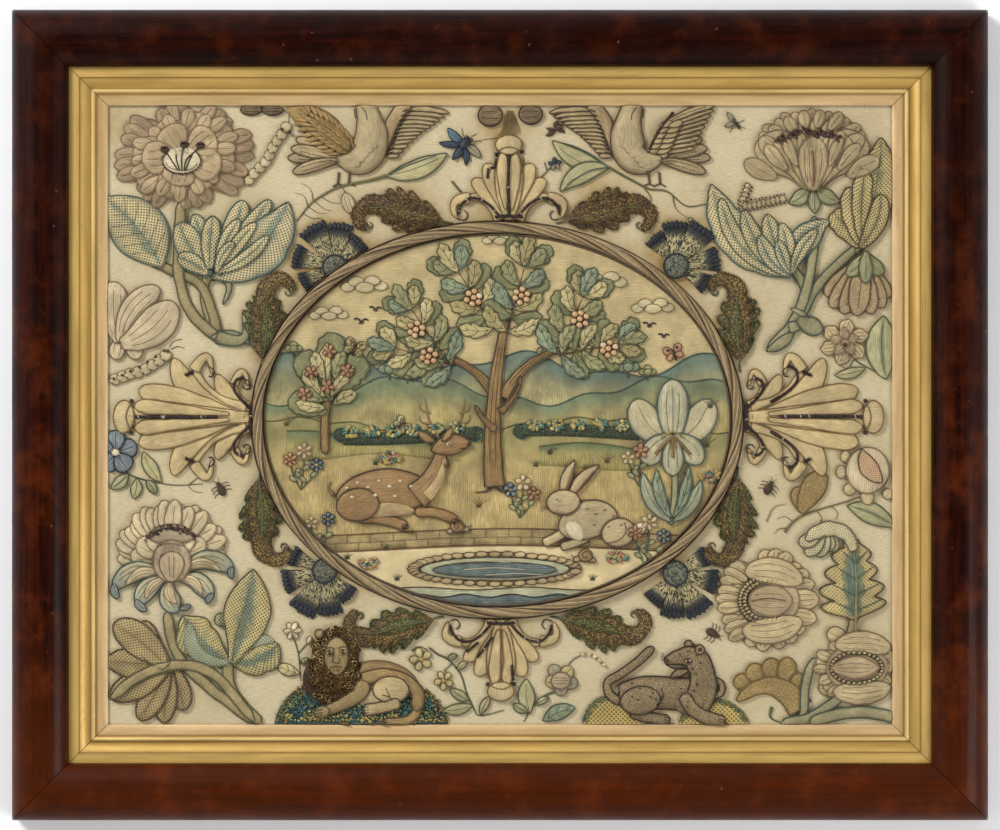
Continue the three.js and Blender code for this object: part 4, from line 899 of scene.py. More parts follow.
def lobe(work, row, finish, rise=None, way=None, **changes):
    """One padded lobe, with its outline and inner lines. Its columns are those of the tables."""
    style = {**PLAIN, **STYLES.get(finish, {}), **changes}
    spine = way or Spine(row)
    top = row[7] if rise is None else rise
    finer = 1.5 if style["notches"] else 1
    stations = max(7, int(spine.length / GRAIN_ALONG * finer))
    arcs = max(6, int(math.pi * row[6] / GRAIN_ACROSS / 1.5))
    even = (np.arange(stations) + 0.5) / stations
    t = (1 - np.cos(np.pi * even)) / 2 * (1 - EVEN_SHARE) + EVEN_SHARE * even
    left, right, share = half_widths(row, style, t)
    angle = np.pi * np.arange(arcs + 1) / arcs
    c = np.cos(angle)
    half = np.where(c > 0, left[:, None], right[:, None])
    place, across = spine.at(t), spine.across(t)
    lean = style["notches"][2] * half * c**2 if style["notches"] else 0 * half
    x = place[:, None, 0] + across[:, None, 0] * half * c + across[:, None, 1] * lean
    y = place[:, None, 1] + across[:, None, 1] * half * c - across[:, None, 0] * lean
    seed = work.random.uniform(0, 50)
    shift = wavering(x, y, 0.16, seed) * style["wobble"] * 6
    x, y = x + shift * across[:, None, 0], y + shift * across[:, None, 1]
    under = RELIEF.soft(x, y)
    full = PAD_AT_ENDS + (1 - PAD_AT_ENDS) * share[:, None]
    pad = np.maximum(LEAST_PAD, top * full - PAD_SINK * under)
    dome = np.maximum(0, 1 - np.abs(c) ** PAD_SQUARENESS) ** style["crown"]
    own = pad * dome * (1 + 0.12 * wavering(x, y, 0.25, seed + 9))
    settled = np.minimum(1, share[:, None] * 1.2)
    own = own + style["ridges"] * (np.cos(c * RIDGE_TURNS) - 1) / 2 * dome * settled
    z = np.where(dome > 0.02, under + own, np.maximum(0, under - 0.3))
    x, y, z = held_in(work, x, y, z)
    RELIEF.cover(x[:, 1:-1], y[:, 1:-1], z[:, 1:-1])
    root, tip = spine.root, spine.tip
    ends = held_in(work, np.array([root[0], tip[0]]), np.array([root[1], tip[1]]), np.zeros(2))
    rings = np.stack([x, y, z + WORK_BASE], axis=-1).reshape(-1, 3)
    first, last = [[ends[0][i], ends[1][i], WORK_BASE] for i in (0, 1)]
    offset = work.random.uniform(0, 9)
    u = np.repeat(t * spine.length, arcs + 1) + offset
    v = (half * c).ravel()
    uv = np.vstack([[offset, 0], np.column_stack([u, v]), [spine.length + offset, 0]])
    along = np.concatenate([[0], np.repeat(t, arcs + 1), [1]])
    side = np.concatenate([[0], np.tile(c, stations), [0]])
    work.add(np.vstack([first, rings, last]), capped(stations, arcs + 1), finish, uv, along, side)
    if style["outline"]:
        left = np.vstack([root, np.column_stack([x[:, 0], y[:, 0]]), tip])
        right = np.column_stack([x[:, -1], y[:, -1]])[::-1]
        line(work, np.vstack([left, right]), style["outline"], style["radius"], closed=True, smooth=False)
    if style["fringe"]:
        fringe(work, spine, row, style, finish)
    for place_across in style["veins"]:
        reach = np.linspace(0.14, 0.86 - 0.16 * abs(place_across), max(6, stations // 2))
        wide = half_widths(row, style, reach)[0 if place_across > 0 else 1]
        path = spine.at(reach) + spine.across(reach) * (wide * place_across)[:, None]
        line(work, path, style["outline"] or "line_brown", VEIN_RADIUS, smooth=False, lift=INNER_LIFT)
    for k in range(style["ribs"]):
        start = 0.16 + 0.56 * k / max(1, style["ribs"] - 1)
        reach = np.linspace(start, min(0.95, start + 0.15), 5)
        for way in (1, -1):
            wide = half_widths(row, style, reach)[0 if way > 0 else 1]
            path = spine.at(reach) + spine.across(reach) * (way * wide * np.linspace(0, 0.8, 5))[:, None]
            line(work, path, style["outline"] or "line_brown", RIB_RADIUS, smooth=False, lift=INNER_LIFT)


def fringe(work, spine, row, style, finish):
    """Loose loops standing out along both edges of a lobe and round its tip."""
    count = max(6, int(spine.length / 0.8))
    spots, turns, sizes = [], [], []
    for way in (1, -1):
        t = np.linspace(0.06, 0.985, count)
        wide = half_widths(row, style, t)[0 if way > 0 else 1]
        off = spine.across(t)
        lean = style["notches"][2] if style["notches"] else 0.0
        ahead_by = np.column_stack([off[:, 1], -off[:, 0]]) * (lean * wide)[:, None]
        at = spine.at(t) + off * (way * wide * 0.97)[:, None] + ahead_by
        ahead = np.arctan2(-off[:, 0], off[:, 1])
        for (x, y), turn, share in zip(at, ahead, t):
            if not in_sight(x, y, 2) or (from_cord(x, y) < 2.5) != work.inside:
                continue
            spots.append((x + work.random.uniform(-0.3, 0.3), y + work.random.uniform(-0.3, 0.3)))
            turns.append(turn + way * (0.35 + 0.6 * (1 - share)) + work.random.uniform(-0.35, 0.35))
            sizes.append([style["fringe"] * work.random.uniform(0.8, 1.3), 0.36, 0.4])
    if spots:
        beads(work, spots, sizes, finish, turns, 0.1, coarse=True)


def rounded(points, closed=False, step=LINE_STEP):
    """A smooth curve through some places, as places a step apart."""
    places = np.asarray(points, float)
    if closed:
        ahead = np.vstack([places[-1], places, places[0], places[1]])
    else:
        ahead = np.vstack([2 * places[0] - places[1], places, 2 * places[-1] - places[-2]])
    made = []
    for p0, p1, p2, p3 in zip(ahead, ahead[1:], ahead[2:], ahead[3:]):
        t = np.linspace(0, 1, max(2, int(np.hypot(*(p2 - p1)) / step * 1.5)), endpoint=False)[:, None]
        square, cube = 2 * p0 - 5 * p1 + 4 * p2 - p3, 3 * p1 - p0 - 3 * p2 + p3
        made.append(0.5 * (2 * p1 + (p2 - p0) * t + square * t**2 + cube * t**3))
    if not closed:
        made.append(places[-1:])
    return np.vstack(made)


def spaced(path, step, closed=False):
    """The same path with its places evenly a step apart."""
    if closed:
        path = np.vstack([path, path[:1]])
    run = np.concatenate([[0], np.cumsum(np.hypot(*np.diff(path, axis=0).T))])
    count = max(2, int(run[-1] / step) + 1)
    marks = np.linspace(0, run[-1], count, endpoint=not closed)
    return np.column_stack([np.interp(marks, run, path[:, 0]), np.interp(marks, run, path[:, 1])]), run[-1]


def shown_runs(work, path, closed):
    """The stretches of a path that lie inside the sight edge and clear of the oval cord."""
    out = from_cord(path[:, 0], path[:, 1]) * (-1 if work.inside else 1)
    near_x, near_y = SIGHT_X - LINE_INSET, SIGHT_Y - LINE_INSET
    shown = (np.abs(path[:, 0]) < near_x) & (np.abs(path[:, 1]) < near_y) & (out > LINE_CLEAR)
    if shown.all():
        return [(path, closed)]
    runs, current = [], []
    start = int(np.argmin(shown)) if closed else 0
    for k in range(len(path)):
        i = (start + k) % len(path)
        if shown[i]:
            current.append(path[i])
        elif current:
            runs.append(current)
            current = []
    if current:
        runs.append(current)
    return [(np.array(run), False) for run in runs if len(run) > 2]


def tube(work, path, radius, finish, closed, lift):
    """A round thread laid along a path, on whatever is below it. radius is one number or one a place."""
    count = len(path)
    sides = 3 if np.max(radius) < THIN_LINE else 4
    ahead = np.roll(path, -1, axis=0) if closed else np.vstack([path[1:], 2 * path[-1] - path[-2]])
    behind = np.roll(path, 1, axis=0) if closed else np.vstack([2 * path[0] - path[1], path[:-1]])
    way = ahead - behind
    way = way / np.maximum(np.hypot(way[:, 0], way[:, 1])[:, None], 1e-9)
    across = np.column_stack([-way[:, 1], way[:, 0]])
    radius = np.broadcast_to(radius, (count,)).astype(float)
    z = RELIEF.soft(path[:, 0], path[:, 1], 0.35) + radius * lift + 0.05
    angle = 2 * np.pi * np.arange(sides) / sides + np.pi / 2
    ring_x = path[:, None, 0] + across[:, None, 0] * radius[:, None] * np.cos(angle)
    ring_y = path[:, None, 1] + across[:, None, 1] * radius[:, None] * np.cos(angle)
    ring_z = z[:, None] + radius[:, None] * np.sin(angle) + WORK_BASE
    rings = np.stack([ring_x, ring_y, ring_z], axis=-1).reshape(-1, 3)
    u = np.repeat(np.arange(count) * LINE_STEP, sides)
    v = np.tile(angle, count) * np.repeat(radius, sides)
    uv = np.column_stack([u, v])
    if closed:
        work.add(rings, [skin(count, sides, True)], finish, uv)
        return
    ends = np.array([[path[i][0], path[i][1], z[i] + WORK_BASE] for i in (0, -1)])
    uv = np.vstack([[0, 0], uv, [u[-1], 0]])
    work.add(np.vstack([ends[:1], rings, ends[1:]]), capped(count, sides), finish, uv)


def line(work, points, finish, radius=0.35, closed=False, smooth=True, lift=0.45, taper=False):
    """A stitched line along some places."""
    path = rounded(points, closed) if smooth else np.asarray(points, float)
    path, _ = spaced(path, LINE_STEP, closed)
    for run, loop in shown_runs(work, path, closed):
        ends = 0.35 if taper and not loop else 1.0
        tube(work, run, radius * np.linspace(1.0, ends, len(run)), finish, loop, lift)


def knotted(work, box, step, size, pick):
    """Knots over a box, about a step apart. pick gives the finish at a place, or None."""
    x0, y0, x1, y1 = box
    sorts = {}
    for i in range(int((x1 - x0) / step)):
        for j in range(int((y1 - y0) / step)):
            x = x0 + (i + 0.5 * (j % 2) + work.random.uniform(0.1, 0.9)) * step
            y = y0 + (j + work.random.uniform(0.1, 0.9)) * step
            if not in_sight(x, y, 1.6):
                continue
            finish = pick(x, y)
            if finish:
                sorts.setdefault(finish, []).append((x, y))
    for finish, spots in sorts.items():
        sizes = [[size * work.random.uniform(0.8, 1.25), size * 0.8, size * 0.7] for _ in spots]
        turns = [work.random.uniform(0, 3.1) for _ in spots]
        beads(work, spots, sizes, finish, turns, coarse=True)


def beads(work, places, radii, finish, turns=None, lift=0.55, tones=None, coarse=False):
    """Small rounded beads, seeds or turns of wire: places are x and y, radii along, across and up."""
    places = np.asarray(places, float).reshape(-1, 2)
    if not len(places):
        return
    radii = np.broadcast_to(np.asarray(radii, float), (len(places), 3))
    turns = np.zeros(len(places)) if turns is None else np.asarray(turns, float)
    rings, sides = (COARSE_RINGS, COARSE_SIDES) if coarse else (BEAD_RINGS, BEAD_SIDES)
    polar = np.pi * np.arange(1, rings) / rings
    angle = 2 * np.pi * np.arange(sides) / sides
    unit = [[-1, 0, 0]]
    for p in polar:
        unit.extend([-math.cos(p), math.sin(p) * math.cos(a), math.sin(p) * math.sin(a)] for a in angle)
    unit = np.array(unit + [[1, 0, 0]])
    faces = capped(rings - 1, sides)
    high = RELIEF.soft(places[:, 0], places[:, 1], 0.4)
    for i, (x, y) in enumerate(places):
        shape = unit * radii[i]
        c, s = math.cos(turns[i]), math.sin(turns[i])
        made = np.column_stack([x + shape[:, 0] * c - shape[:, 1] * s,
                                y + shape[:, 0] * s + shape[:, 1] * c,
                                high[i] + WORK_BASE + radii[i][2] * lift + shape[:, 2]])
        tone = None if tones is None else tones[i]
        work.add(made, faces, finish, unit[:, :2] * 2 + i, unit[:, 0] * 0.5 + 0.5, unit[:, 1], tone)


def purl(work, points, radius=1.0, finish="purl", pitch=0.95, smooth=True):
    """Coiled wire laid along some places, turn by turn."""
    path = rounded(points) if smooth else np.asarray(points, float)
    path, _ = spaced(path, pitch)
    for run, _ in shown_runs(work, path, False):
        way = np.gradient(run, axis=0)
        turns = np.arctan2(way[:, 1], way[:, 0]) + np.array([work.random.uniform(0.1, 0.5) for _ in run])
        sizes = [[pitch * 0.62, radius * work.random.uniform(0.85, 1.1), radius * 0.8] for _ in run]
        beads(work, run, sizes, finish, turns)


def seeds(work, points, radius, pitch, finish="seed_dark", jitter=0.3, rows=1):
    """Seed beads in one or more loose rows along some places."""
    path, _ = spaced(rounded(points), pitch)
    spots = []
    for row in range(rows):
        for x, y in path:
            spread = jitter + 0.9 * radius * row
            spots.append([x + work.random.uniform(-spread, spread),
                          y + work.random.uniform(-spread, spread)])
    spots = [spot for spot in spots if in_sight(*spot, 1.5)]
    beads(work, spots, [radius, radius, radius], finish)


def ring_of_curls(work, middle, reach, count, radius, wire_radius, finish):
    """Many small loops of wire over an oval place, in no order."""
    for _ in range(count):
        a, r = work.random.uniform(0, 2 * math.pi), math.sqrt(work.random.random())
        x, y = middle[0] + reach[0] * r * math.cos(a), middle[1] + reach[1] * r * math.sin(a)
        if not in_sight(x, y, 2):
            continue
        start = work.random.uniform(0, 2 * math.pi)
        size = radius * work.random.uniform(0.75, 1.2)
        turns = [start + k * 0.75 for k in range(8)]
        path = np.array([(x + size * math.cos(turn), y + size * math.sin(turn)) for turn in turns])
        tube(work, path, wire_radius, finish, False, 0.9)
        RELIEF.add(path[:, 0], path[:, 1], RELIEF.top(path[:, 0], path[:, 1]) + 0.05)


# Rows of lobes, moved, mirrored and made by rule


def placed(rows, x, y, turn=0, side=1):
    c, s = math.cos(math.radians(turn)), math.sin(math.radians(turn))

    def move(px, py):
        return x + px * c - side * py * s, y + px * s + side * py * c

    return [(kind, *move(x0, y0), *move(x1, y1), side * bow, half, rise) for kind, x0, y0, x1, y1, bow,
            half, rise in rows]


def placed_points(points, x, y, turn=0, side=1):
    c, s = math.cos(math.radians(turn)), math.sin(math.radians(turn))
    return [(x + px * c - side * py * s, y + px * s + side * py * c) for px, py in points]


def mirrored(rows):
    return [(kind, x0, -y0, x1, -y1, -bow, half, rise) for kind, x0, y0, x1, y1, bow, half, rise in rows]


def flipped(rows):
    return [(kind, -x0, y0, -x1, y1, -bow, half, rise) for kind, x0, y0, x1, y1, bow, half, rise in rows]


def turned(rows, x, y, turn):
    """The rows turned about a place."""
    return placed(placed(rows, -x, -y), x, y, turn)


def shortened(row, share, width=1.0):
    """The same lobe with its tip drawn in and its half-width changed."""
    kind, x0, y0, x1, y1, bow, half, rise = row
    return kind, x0, y0, x0 + share * (x1 - x0), y0 + share * (y1 - y0), bow, half * width, rise


def swapped(shape):
    """A shape for the other side: its left and right half-widths change places."""
    return [(mark, right, left) for mark, left, right in shape]


def one_of(draw, *sorts):
    """The first name whose limit lies above a draw between 0 and 1."""
    return next(name for limit, name in sorts if draw < limit)


def lobes(work, rows, finish, **changes):
    for row in rows:
        lobe(work, row, finish, **changes)


# Every table of lobes below has these columns:
# kind, root x, root y, tip x, tip y, bow (sideways, as a share of the length), half-width, rise

# The acanthus leaf grows along +X from the cord, with its full side on +Y and its curl on -Y
ACANTHUS_BODY = [(0, 0.05, 0.05), (0.12, 0.7, 0.45), (0.35, 1.1, 0.8), (0.6, 1.15, 0.85), (0.8, 0.95, 0.7),
                 (1, 0.6, 0.45)]
ACANTHUS_MIDDLE = [(3, 0), (14, 1.5), (26, 4), (36, 7.5)]
ACANTHUS_TIP = [(26, 4), (36, 8.5), (45, 8.6), (50.5, 3.6), (49.6, -2.4), (45.4, -4.6)]
ACANTHUS_CURL = [(46, -4.8), (43.2, -4.4), (42.6, -2), (44.6, -1)]
# root x, root y, turn in degrees, side that the full edge is on
ACANTHUS_PLACES = [
    (-29, 109.5, 180, -1),
    (34, 109.5, 0, 1),
    (-134, 27, 74, 1),
    (136, 27, 106, -1),
    (-136.5, -32, -74, -1),
    (135, -32, -107, 1),
    (-34, -115, 181, 1),
    (31, -115, 0, -1),
]

# The carnation opens along +X from an eye beside the cord
CARNATION_EYE = ("pod", -7, 0, 7, 0, 0, 7, 3.2)
# petal's turn in degrees, reach, half-width
CARNATION_PETALS = [(-80, 21, 5.8), (-44, 25, 6.8), (-6, 27, 8), (38, 24.5, 6.8), (79, 21, 5.6)]
# x, y, turn in degrees, side
CARNATION_PLACES = [
    (-92.8, 83, 126, 1),
    (98.9, 83.8, 48, -1),
    (-98.5, -87.5, -126, -1),
    (98.5, -89, -50, 1),
]
CARNATION_TEETH = 6

# One side of each palmette, along +X from the cord. The other side is its mirror image
LONG_PALMETTE = [
    ("horn", 0.6, 4, 11.5, 20, -0.2, 4.2, 2.6),
    ("horn", 11.5, 18, 3.6, 17, -1.0, 2.8, 2.2),
    ("petal", 3, 3, 21, 24, -0.12, 4.6, 2),
    ("horn", 5, 3, 34, 28, -0.16, 5.8, 2.6),
    ("horn", 34, 26, 24, 23.5, -0.9, 3.4, 2.2),
    ("petal", 8, 2, 45.5, 33, -0.17, 6.6, 2.4),
    ("petal", 10, 1, 65, 15.5, -0.03, 8.4, 2.4),
]
SHORT_PALMETTE = [
    ("horn", 0.6, 4, 12.6, 25, -0.22, 4.8, 2.6),
    ("horn", 12.4, 22, 1, 29, -0.45, 3.4, 2.2),
    ("petal", 3, 4, 22.5, 21, -0.1, 5.2, 2.2),
    ("petal", 5, 3, 31.5, 14, -0.08, 6, 2.4),
]
# name, root x, root y, turn, side rows, shaft's kind, length and half-width, knob's middle and half-length
PALMETTE_PLACES = [
    ("palmette_west", -137.9, -1, 180, LONG_PALMETTE, "fan", 70, 10, 73.5, 6),
    ("palmette_east", 136.2, -1, 0, LONG_PALMETTE, "fan", 70, 10, 73.5, 6),
    ("palmette_north", 5, 109.4, 90, SHORT_PALMETTE, "petal", 41, 8.2, 42.5, 5.6),
    ("palmette_south", 0.5, -114.8, -90, SHORT_PALMETTE, "petal", 40, 8.2, 40.5, 5.6),
]
# Coiled wire and dark hooks on one side of a palmette, along +X from the cord
LONG_SCROLL_WIRE = [(3, 5.5), (8, 10.5), (11.4, 15.5), (10.6, 20.2), (6.5, 22)]
LONG_SCROLL_HOOK = [(6.5, 21.6), (2.9, 19.6), (2.8, 16.2), (5.4, 15.4), (6.6, 17.2)]
SECOND_SCROLL_WIRE = [(16, 8.5), (25, 14), (30.6, 20), (30, 26.5), (26, 28.6)]
SECOND_SCROLL_HOOK = [(26, 28.4), (22.8, 26.2), (23.4, 22.8), (26, 22.8)]
SHORT_SCROLL_WIRE = [(3, 6), (8.5, 11), (12, 17), (12, 22.5), (8, 27), (3.5, 28.5)]
SHORT_SCROLL_HOOK = [(1, 28.6), (0.2, 24.8), (3.4, 23), (5.6, 25)]

# Round flowers: name, x, y, x radius, y radius, outer petals, inner petals, eye radius, rise
ROUND_FLOWERS = {
    "rose_top_left": (-177.5, 146, 40.5, 30, 8, 5, 7.5, 3.2),
    "rose_corner": (199.5, -142, 24, 19.5, 7, 0, 8.5, 3),
    "star_flower": (193.5, 41, 14, 13, 6, 0, 4, 2.2),
    "blue_flower": (-216, -21, 12.5, 12.5, 5, 0, 2.6, 2.2),
}

# Its back petals: turn in degrees and reach
PEONY_MIDDLE = (175.5, 147)
PEONY_BACK = [(158, 29), (134, 27), (112, 25), (90, 25), (68, 25), (46, 27), (22, 29)]
PEONY = [
    ("petal", 173, 128, 141, 150, -0.22, 12.5, 2.8),
    ("petal", 178, 128, 209.5, 151, 0.22, 12.5, 2.8),
    ("petal", 174, 127, 153, 156, -0.1, 9.5, 3.0),
    ("petal", 177, 127, 198, 156, 0.1, 9.5, 3.0),
    ("petal", 174.5, 126.5, 164, 158, -0.04, 7.5, 3.2),
    ("petal", 176.5, 126.5, 187.5, 158, 0.04, 7.5, 3.2),
    ("petal", 175.5, 126, 175.5, 156, 0, 8.5, 3.4),
]
PEONY_SEPALS = [
    ("leaf", 174, 128, 162, 119, 0.1, 4.4, 2),
    ("leaf", 176.5, 128, 177, 113, 0, 4, 2),
    ("leaf", 178, 128, 191, 120, -0.1, 4.4, 2),
]
PEONY_SEEDS = [(156, 154.5), (166, 158), (177, 158.6), (189, 155.5)]
TULIP = [
    ("petal", -214, 41, -216, 75, 0.06, 8.5, 2.4),
    ("petal", -213, 41, -191, 71, 0.14, 7.5, 2.4),
    ("petal", -213, 40, -184, 64, -0.12, 10.5, 3),
]
TULIP_SEPALS = [("petal", -214, 44, -216, 31, 0, 4.6, 2), ("petal", -209, 43, -203, 31.5, 0, 4.6, 2)]
# Its petals hang from one place: tip x, tip y, bow, half-width
BELL_PETALS = [
    (182.5, 67.5, 0.04, 5.8),
    (219, 66, -0.04, 5.6),
    (185.5, 60.5, 0.04, 5.8),
    (216, 60.4, -0.04, 5.6),
    (192, 57, 0.04, 5.8),
    (209.4, 56.8, -0.04, 5.8),
    (200.6, 55.6, 0, 6.2),
]
BELL_CAP = [
    ("petal", 205, 92, 194, 79, 0.12, 4.2, 2.8),
    ("petal", 205, 92, 216, 80, -0.12, 4.2, 2.8),
    ("petal", 205, 92, 205, 74, 0, 4.2, 3),
]
POMEGRANATE_FRILLS = [
    ("pod", 191, -23, 197, -24, 0, 3.6, 2),
    ("pod", 188.5, -32, 195, -32, 0, 3.8, 2),
    ("pod", 193.5, -44, 200, -39, 0, 3.6, 2),
    ("pod", 206.5, -50.5, 206.5, -42, 0, 4, 2),
    ("pod", 216, -47, 220, -42, 0, 3.2, 2),
]
POMEGRANATE = ("pod", 206.5, -44, 206.5, -18, 0, 12.5, 3.6)
POMEGRANATE_PATCH = ("leaf", 203, -19, 215, -38, -0.1, 5.2, 3.8)
DAISY_RING = (-184.5, -80, 176, 8, 31.5, 6.8, 2.4)
DAISY_HEART = ("pod", -184.2, -94, -184.2, -70, 0, 10.8, 3.6)
DAISY_CURLS = [
    ("petal", -189, -90, -217, -98, -0.22, 5.8, 2.4),
    ("petal", -187, -92, -203, -107, -0.16, 5.6, 2.4),
    ("petal", -185, -93, -180, -110, -0.2, 6, 2.6),
    ("petal", -181, -92, -163, -104, 0.22, 5.6, 2.4),
    ("petal", -178, -88, -150, -88, 0.24, 5.8, 2.4),
]
DAISY_CURL_TIPS = [(-215.5, -98.9, 4.4), (-201.4, -106.7, 4.4), (-177, -107.5, 3.4), (-162.6, -103.4, 3.6),
                   (-150.2, -88.7, 3.6)]

TOP_LEFT_CURLS = [("leaf", -163, 43, -140, 40, 0.1, 3.8, 2.2), ("horn", -159, 44, -145, 58, -0.55, 4, 2.2)]
TOP_LEFT_LEAVES = [
    ("leaf", -190, 83, -221, 122, -0.06, 16, 2.8),
    ("petal", -163, 78, -180, 108, 0.04, 8, 2.8),
    ("petal", -164, 79, -181, 89, -0.06, 5.2, 2.4),
    ("petal", -163, 82, -161, 112, 0.02, 5.6, 2.6),
    ("leaf", -162, 77, -119, 120, -0.14, 13.5, 3),
    ("petal", -157, 86, -144, 120.5, -0.02, 7, 2.8),
]
TOP_RIGHT_CURLS = [
    ("leaf", 166, 48, 149, 36, 0.08, 3.4, 2),
    ("horn", 162, 49, 163, 60, -0.8, 3.2, 2),
    ("petal", 167, 54, 181.5, 48, -0.05, 5.4, 2.2),
]
TOP_RIGHT_LEAVES = [
    ("leaf", 163, 78, 185, 109, 0.14, 8, 2.6),
    ("leaf", 164, 78, 118.7, 130, 0.13, 11.5, 3),
    ("petal", 162, 79, 145, 112, 0.04, 8.5, 2.8),
    ("petal", 163, 80, 156.5, 108, -0.04, 6, 2.6),
]
RIGHT_EDGE_LEAVES = [
    ("leaf", 200, 90, 214.5, 156, -0.04, 12, 3),
    ("petal", 202, 94, 187, 114, -0.04, 7.6, 2.4),
    ("petal", 202, 96, 197, 128, 0.04, 6.6, 2.6),
    ("petal", 203, 98, 205, 138, 0.03, 6, 2.6),
]
BOTTOM_LEFT_FAN = [
    ("petal", -186, -141, -178, -166, 0.06, 6.2, 2.4),
    ("petal", -186, -141, -189, -173, 0, 6.4, 2.6),
    ("petal", -186, -141, -203, -171, 0.03, 7, 2.6),
    ("petal", -186, -141, -219, -158, 0.03, 8, 2.6),
    ("petal", -186, -141, -221, -138, 0, 8, 2.6),
    ("petal", -187, -141, -199, -115.5, 0.14, 6.8, 2.6),
    ("petal", -187, -141, -217, -117, -0.04, 9, 2.6),
]
OAK_STEM = ("stem", 199.5, -111, 196.5, -124, 0, 2.4, 2.2)
SCALLOP_LEAF = [
    ("petal", 143, -153, 131.5, -148, 0, 5, 2),
    ("petal", 148, -152, 140.5, -140, 0, 5.4, 2.2),
    ("petal", 154, -151, 151.5, -136.5, 0, 5.6, 2.2),
    ("petal", 160, -153, 162, -136, 0, 5.6, 2.2),
    ("petal", 164, -156, 169.5, -145, 0, 4.4, 2),
    ("horn", 169, -165, 133, -161, -0.3, 7.6, 2.2),
]
LEAF_GOLD = [("petal", 169, -54, 167, -40, 0, 4.6, 2), ("petal", 169, -55, 182.5, -32, 0.04, 7, 2.2)]
LEAF_LOW = ("leaf", 195, -51, 222, -63, 0.06, 6, 2.2)
LEAF_EDGE = ("leaf", 217, 20, 216, 56, 0.06, 9, 2.2)

# A bird with its tail on +X: its near wing, the middle line of its body, and the half-widths along that line
BIRD_NEAR_WING = ("leaf", 7, -4, 44, 20, 0.08, 8.5, 2.8)
BIRD_SPINE = [(0, 26), (-3.6, 14), (-4.6, 4), (-2.6, -5), (4, -9), (14.5, -8.6)]
BIRD_FORM = [(0, 0.5, 0.5), (0.2, 0.68, 0.68), (0.45, 0.95, 0.95), (0.62, 0.95, 0.95), (0.78, 0.75, 0.85),
             (0.92, 0.35, 0.5), (1, 0.22, 0.25)]
# name, x, y, side that the tail is on
BIRD_PLACES = [("bird_left", -77, 152, -1), ("bird_right", 76, 152, 1)]

LION_HILL = [("pod", -88, -177, -29, -177, 0, 27, 2), ("pod", -127, -177, -72, -177, 0, 27, 2)]
LION_BACK = ("pod", -90, -152, -46, -155, 0.12, 10.5, 3.8)
LION_MANE = [("pod", -95.5, -163, -95.5, -134, 0, 15.5, 4.4),
             ("pod", -92.5, -150, -92.5, -119, 0, 13.5, 4.6)]
LEOPARD_HILLS = {
    "leopard_hill_left": ("pod", 46, -177, 82, -177, 0, 20, 2),
    "leopard_hill_right": ("pod", 100, -177, 140, -177, 0, 17, 2),
}
LEOPARD_NECK = [(92.4, -138.4), (99, -136.6), (107, -136.4), (112.4, -142), (114.2, -151), (111.6, -160),
                (108, -168)]
LEOPARD_FORM = [(0, 0.2, 0.2), (0.07, 0.38, 0.36), (0.2, 0.62, 0.5), (0.36, 0.9, 0.72), (0.5, 0.86, 0.8),
                (0.75, 0.95, 0.95), (1, 0.8, 0.8)]

# The garden inside the oval
TREE = [
    ("horn", 0, 4, -36, 34, -0.14, 3.4, 2.6),
    ("horn", 2, 10, 42, 38, 0.14, 3.4, 2.6),
    ("horn", -3, -40, 4, 56, 0.04, 6, 3.2),
]
# Clumps of its leaves: root x, root y, tip x, tip y, half-width
TREE_CLUMPS = [
    (-27, 28, -66, 40, 12),
    (-30, 30, -54, 66, 12),
    (-3, 48, -28, 88, 13),
    (4, 46, 16, 92, 13),
    (32, 34, 50, 74, 13),
    (34, 34, 74, 42, 12),
]
BUSH_STEM = ("stem", -98, -22, -96, 14, 0.04, 2.4, 2.4)
BUSH = [
    ("petal", -97, 2, -118, 10, 0.05, 7, 2.4),
    ("petal", -97, 8, -113, 34, -0.05, 9, 2.6),
    ("petal", -95, 8, -76, 32, 0.05, 9, 2.6),
    ("petal", -96, 10, -94, 46, 0, 9.5, 2.8),
]
STAG = [
    ("stem", -80, -58, -52, -63, 0.06, 3, 3),
    ("stem", -48, -55, -24, -60, 0.1, 2.8, 3),
    ("pod", -92, -48, -38, -44, 0.06, 12.5, 3.8),
    ("pod", -92, -52, -68, -49, 0, 9.5, 4.4),
    ("horn", -47, -46, -33, -16, -0.12, 8, 4),
    ("leaf", -39, -20, -16, -16, 0.06, 6, 4.2),
]
HARE = [
    ("stem", 38, -64, 24, -72, 0.05, 2.8, 3),
    ("leaf", 38, -48, 56, -28, 0.08, 3.4, 2.8),
    ("leaf", 35, -47, 42, -25, 0.05, 3.2, 2.8),
    ("pod", 34, -66, 66, -58, 0.1, 11, 3.8),
    ("pod", 57, -68, 76, -64, 0, 8.4, 4.2),
    ("pod", 26, -50, 45, -48, 0, 7.2, 4.4),
]
IRIS_STEM = ("stem", 96, -62, 97, -14, -0.04, 2, 2.2)
IRIS_LEAVES = [("leaf", 96, -60, 80, -32, 0.1, 4.4, 2.2), ("leaf", 97, -60, 113, -36, -0.1, 4.4, 2.2)]
IRIS = [
    ("petal", 97, -12, 82, -28, -0.1, 7, 2.8),
    ("petal", 97, -12, 112, -28, 0.1, 7, 2.8),
    ("petal", 97, -15, 77, 9, 0.14, 9, 3),
    ("petal", 97, -15, 117, 9, -0.14, 9, 3),
    ("petal", 97, -16, 97, 20, 0, 9, 3.4),
]


# The motifs, each one piece over its node of the model


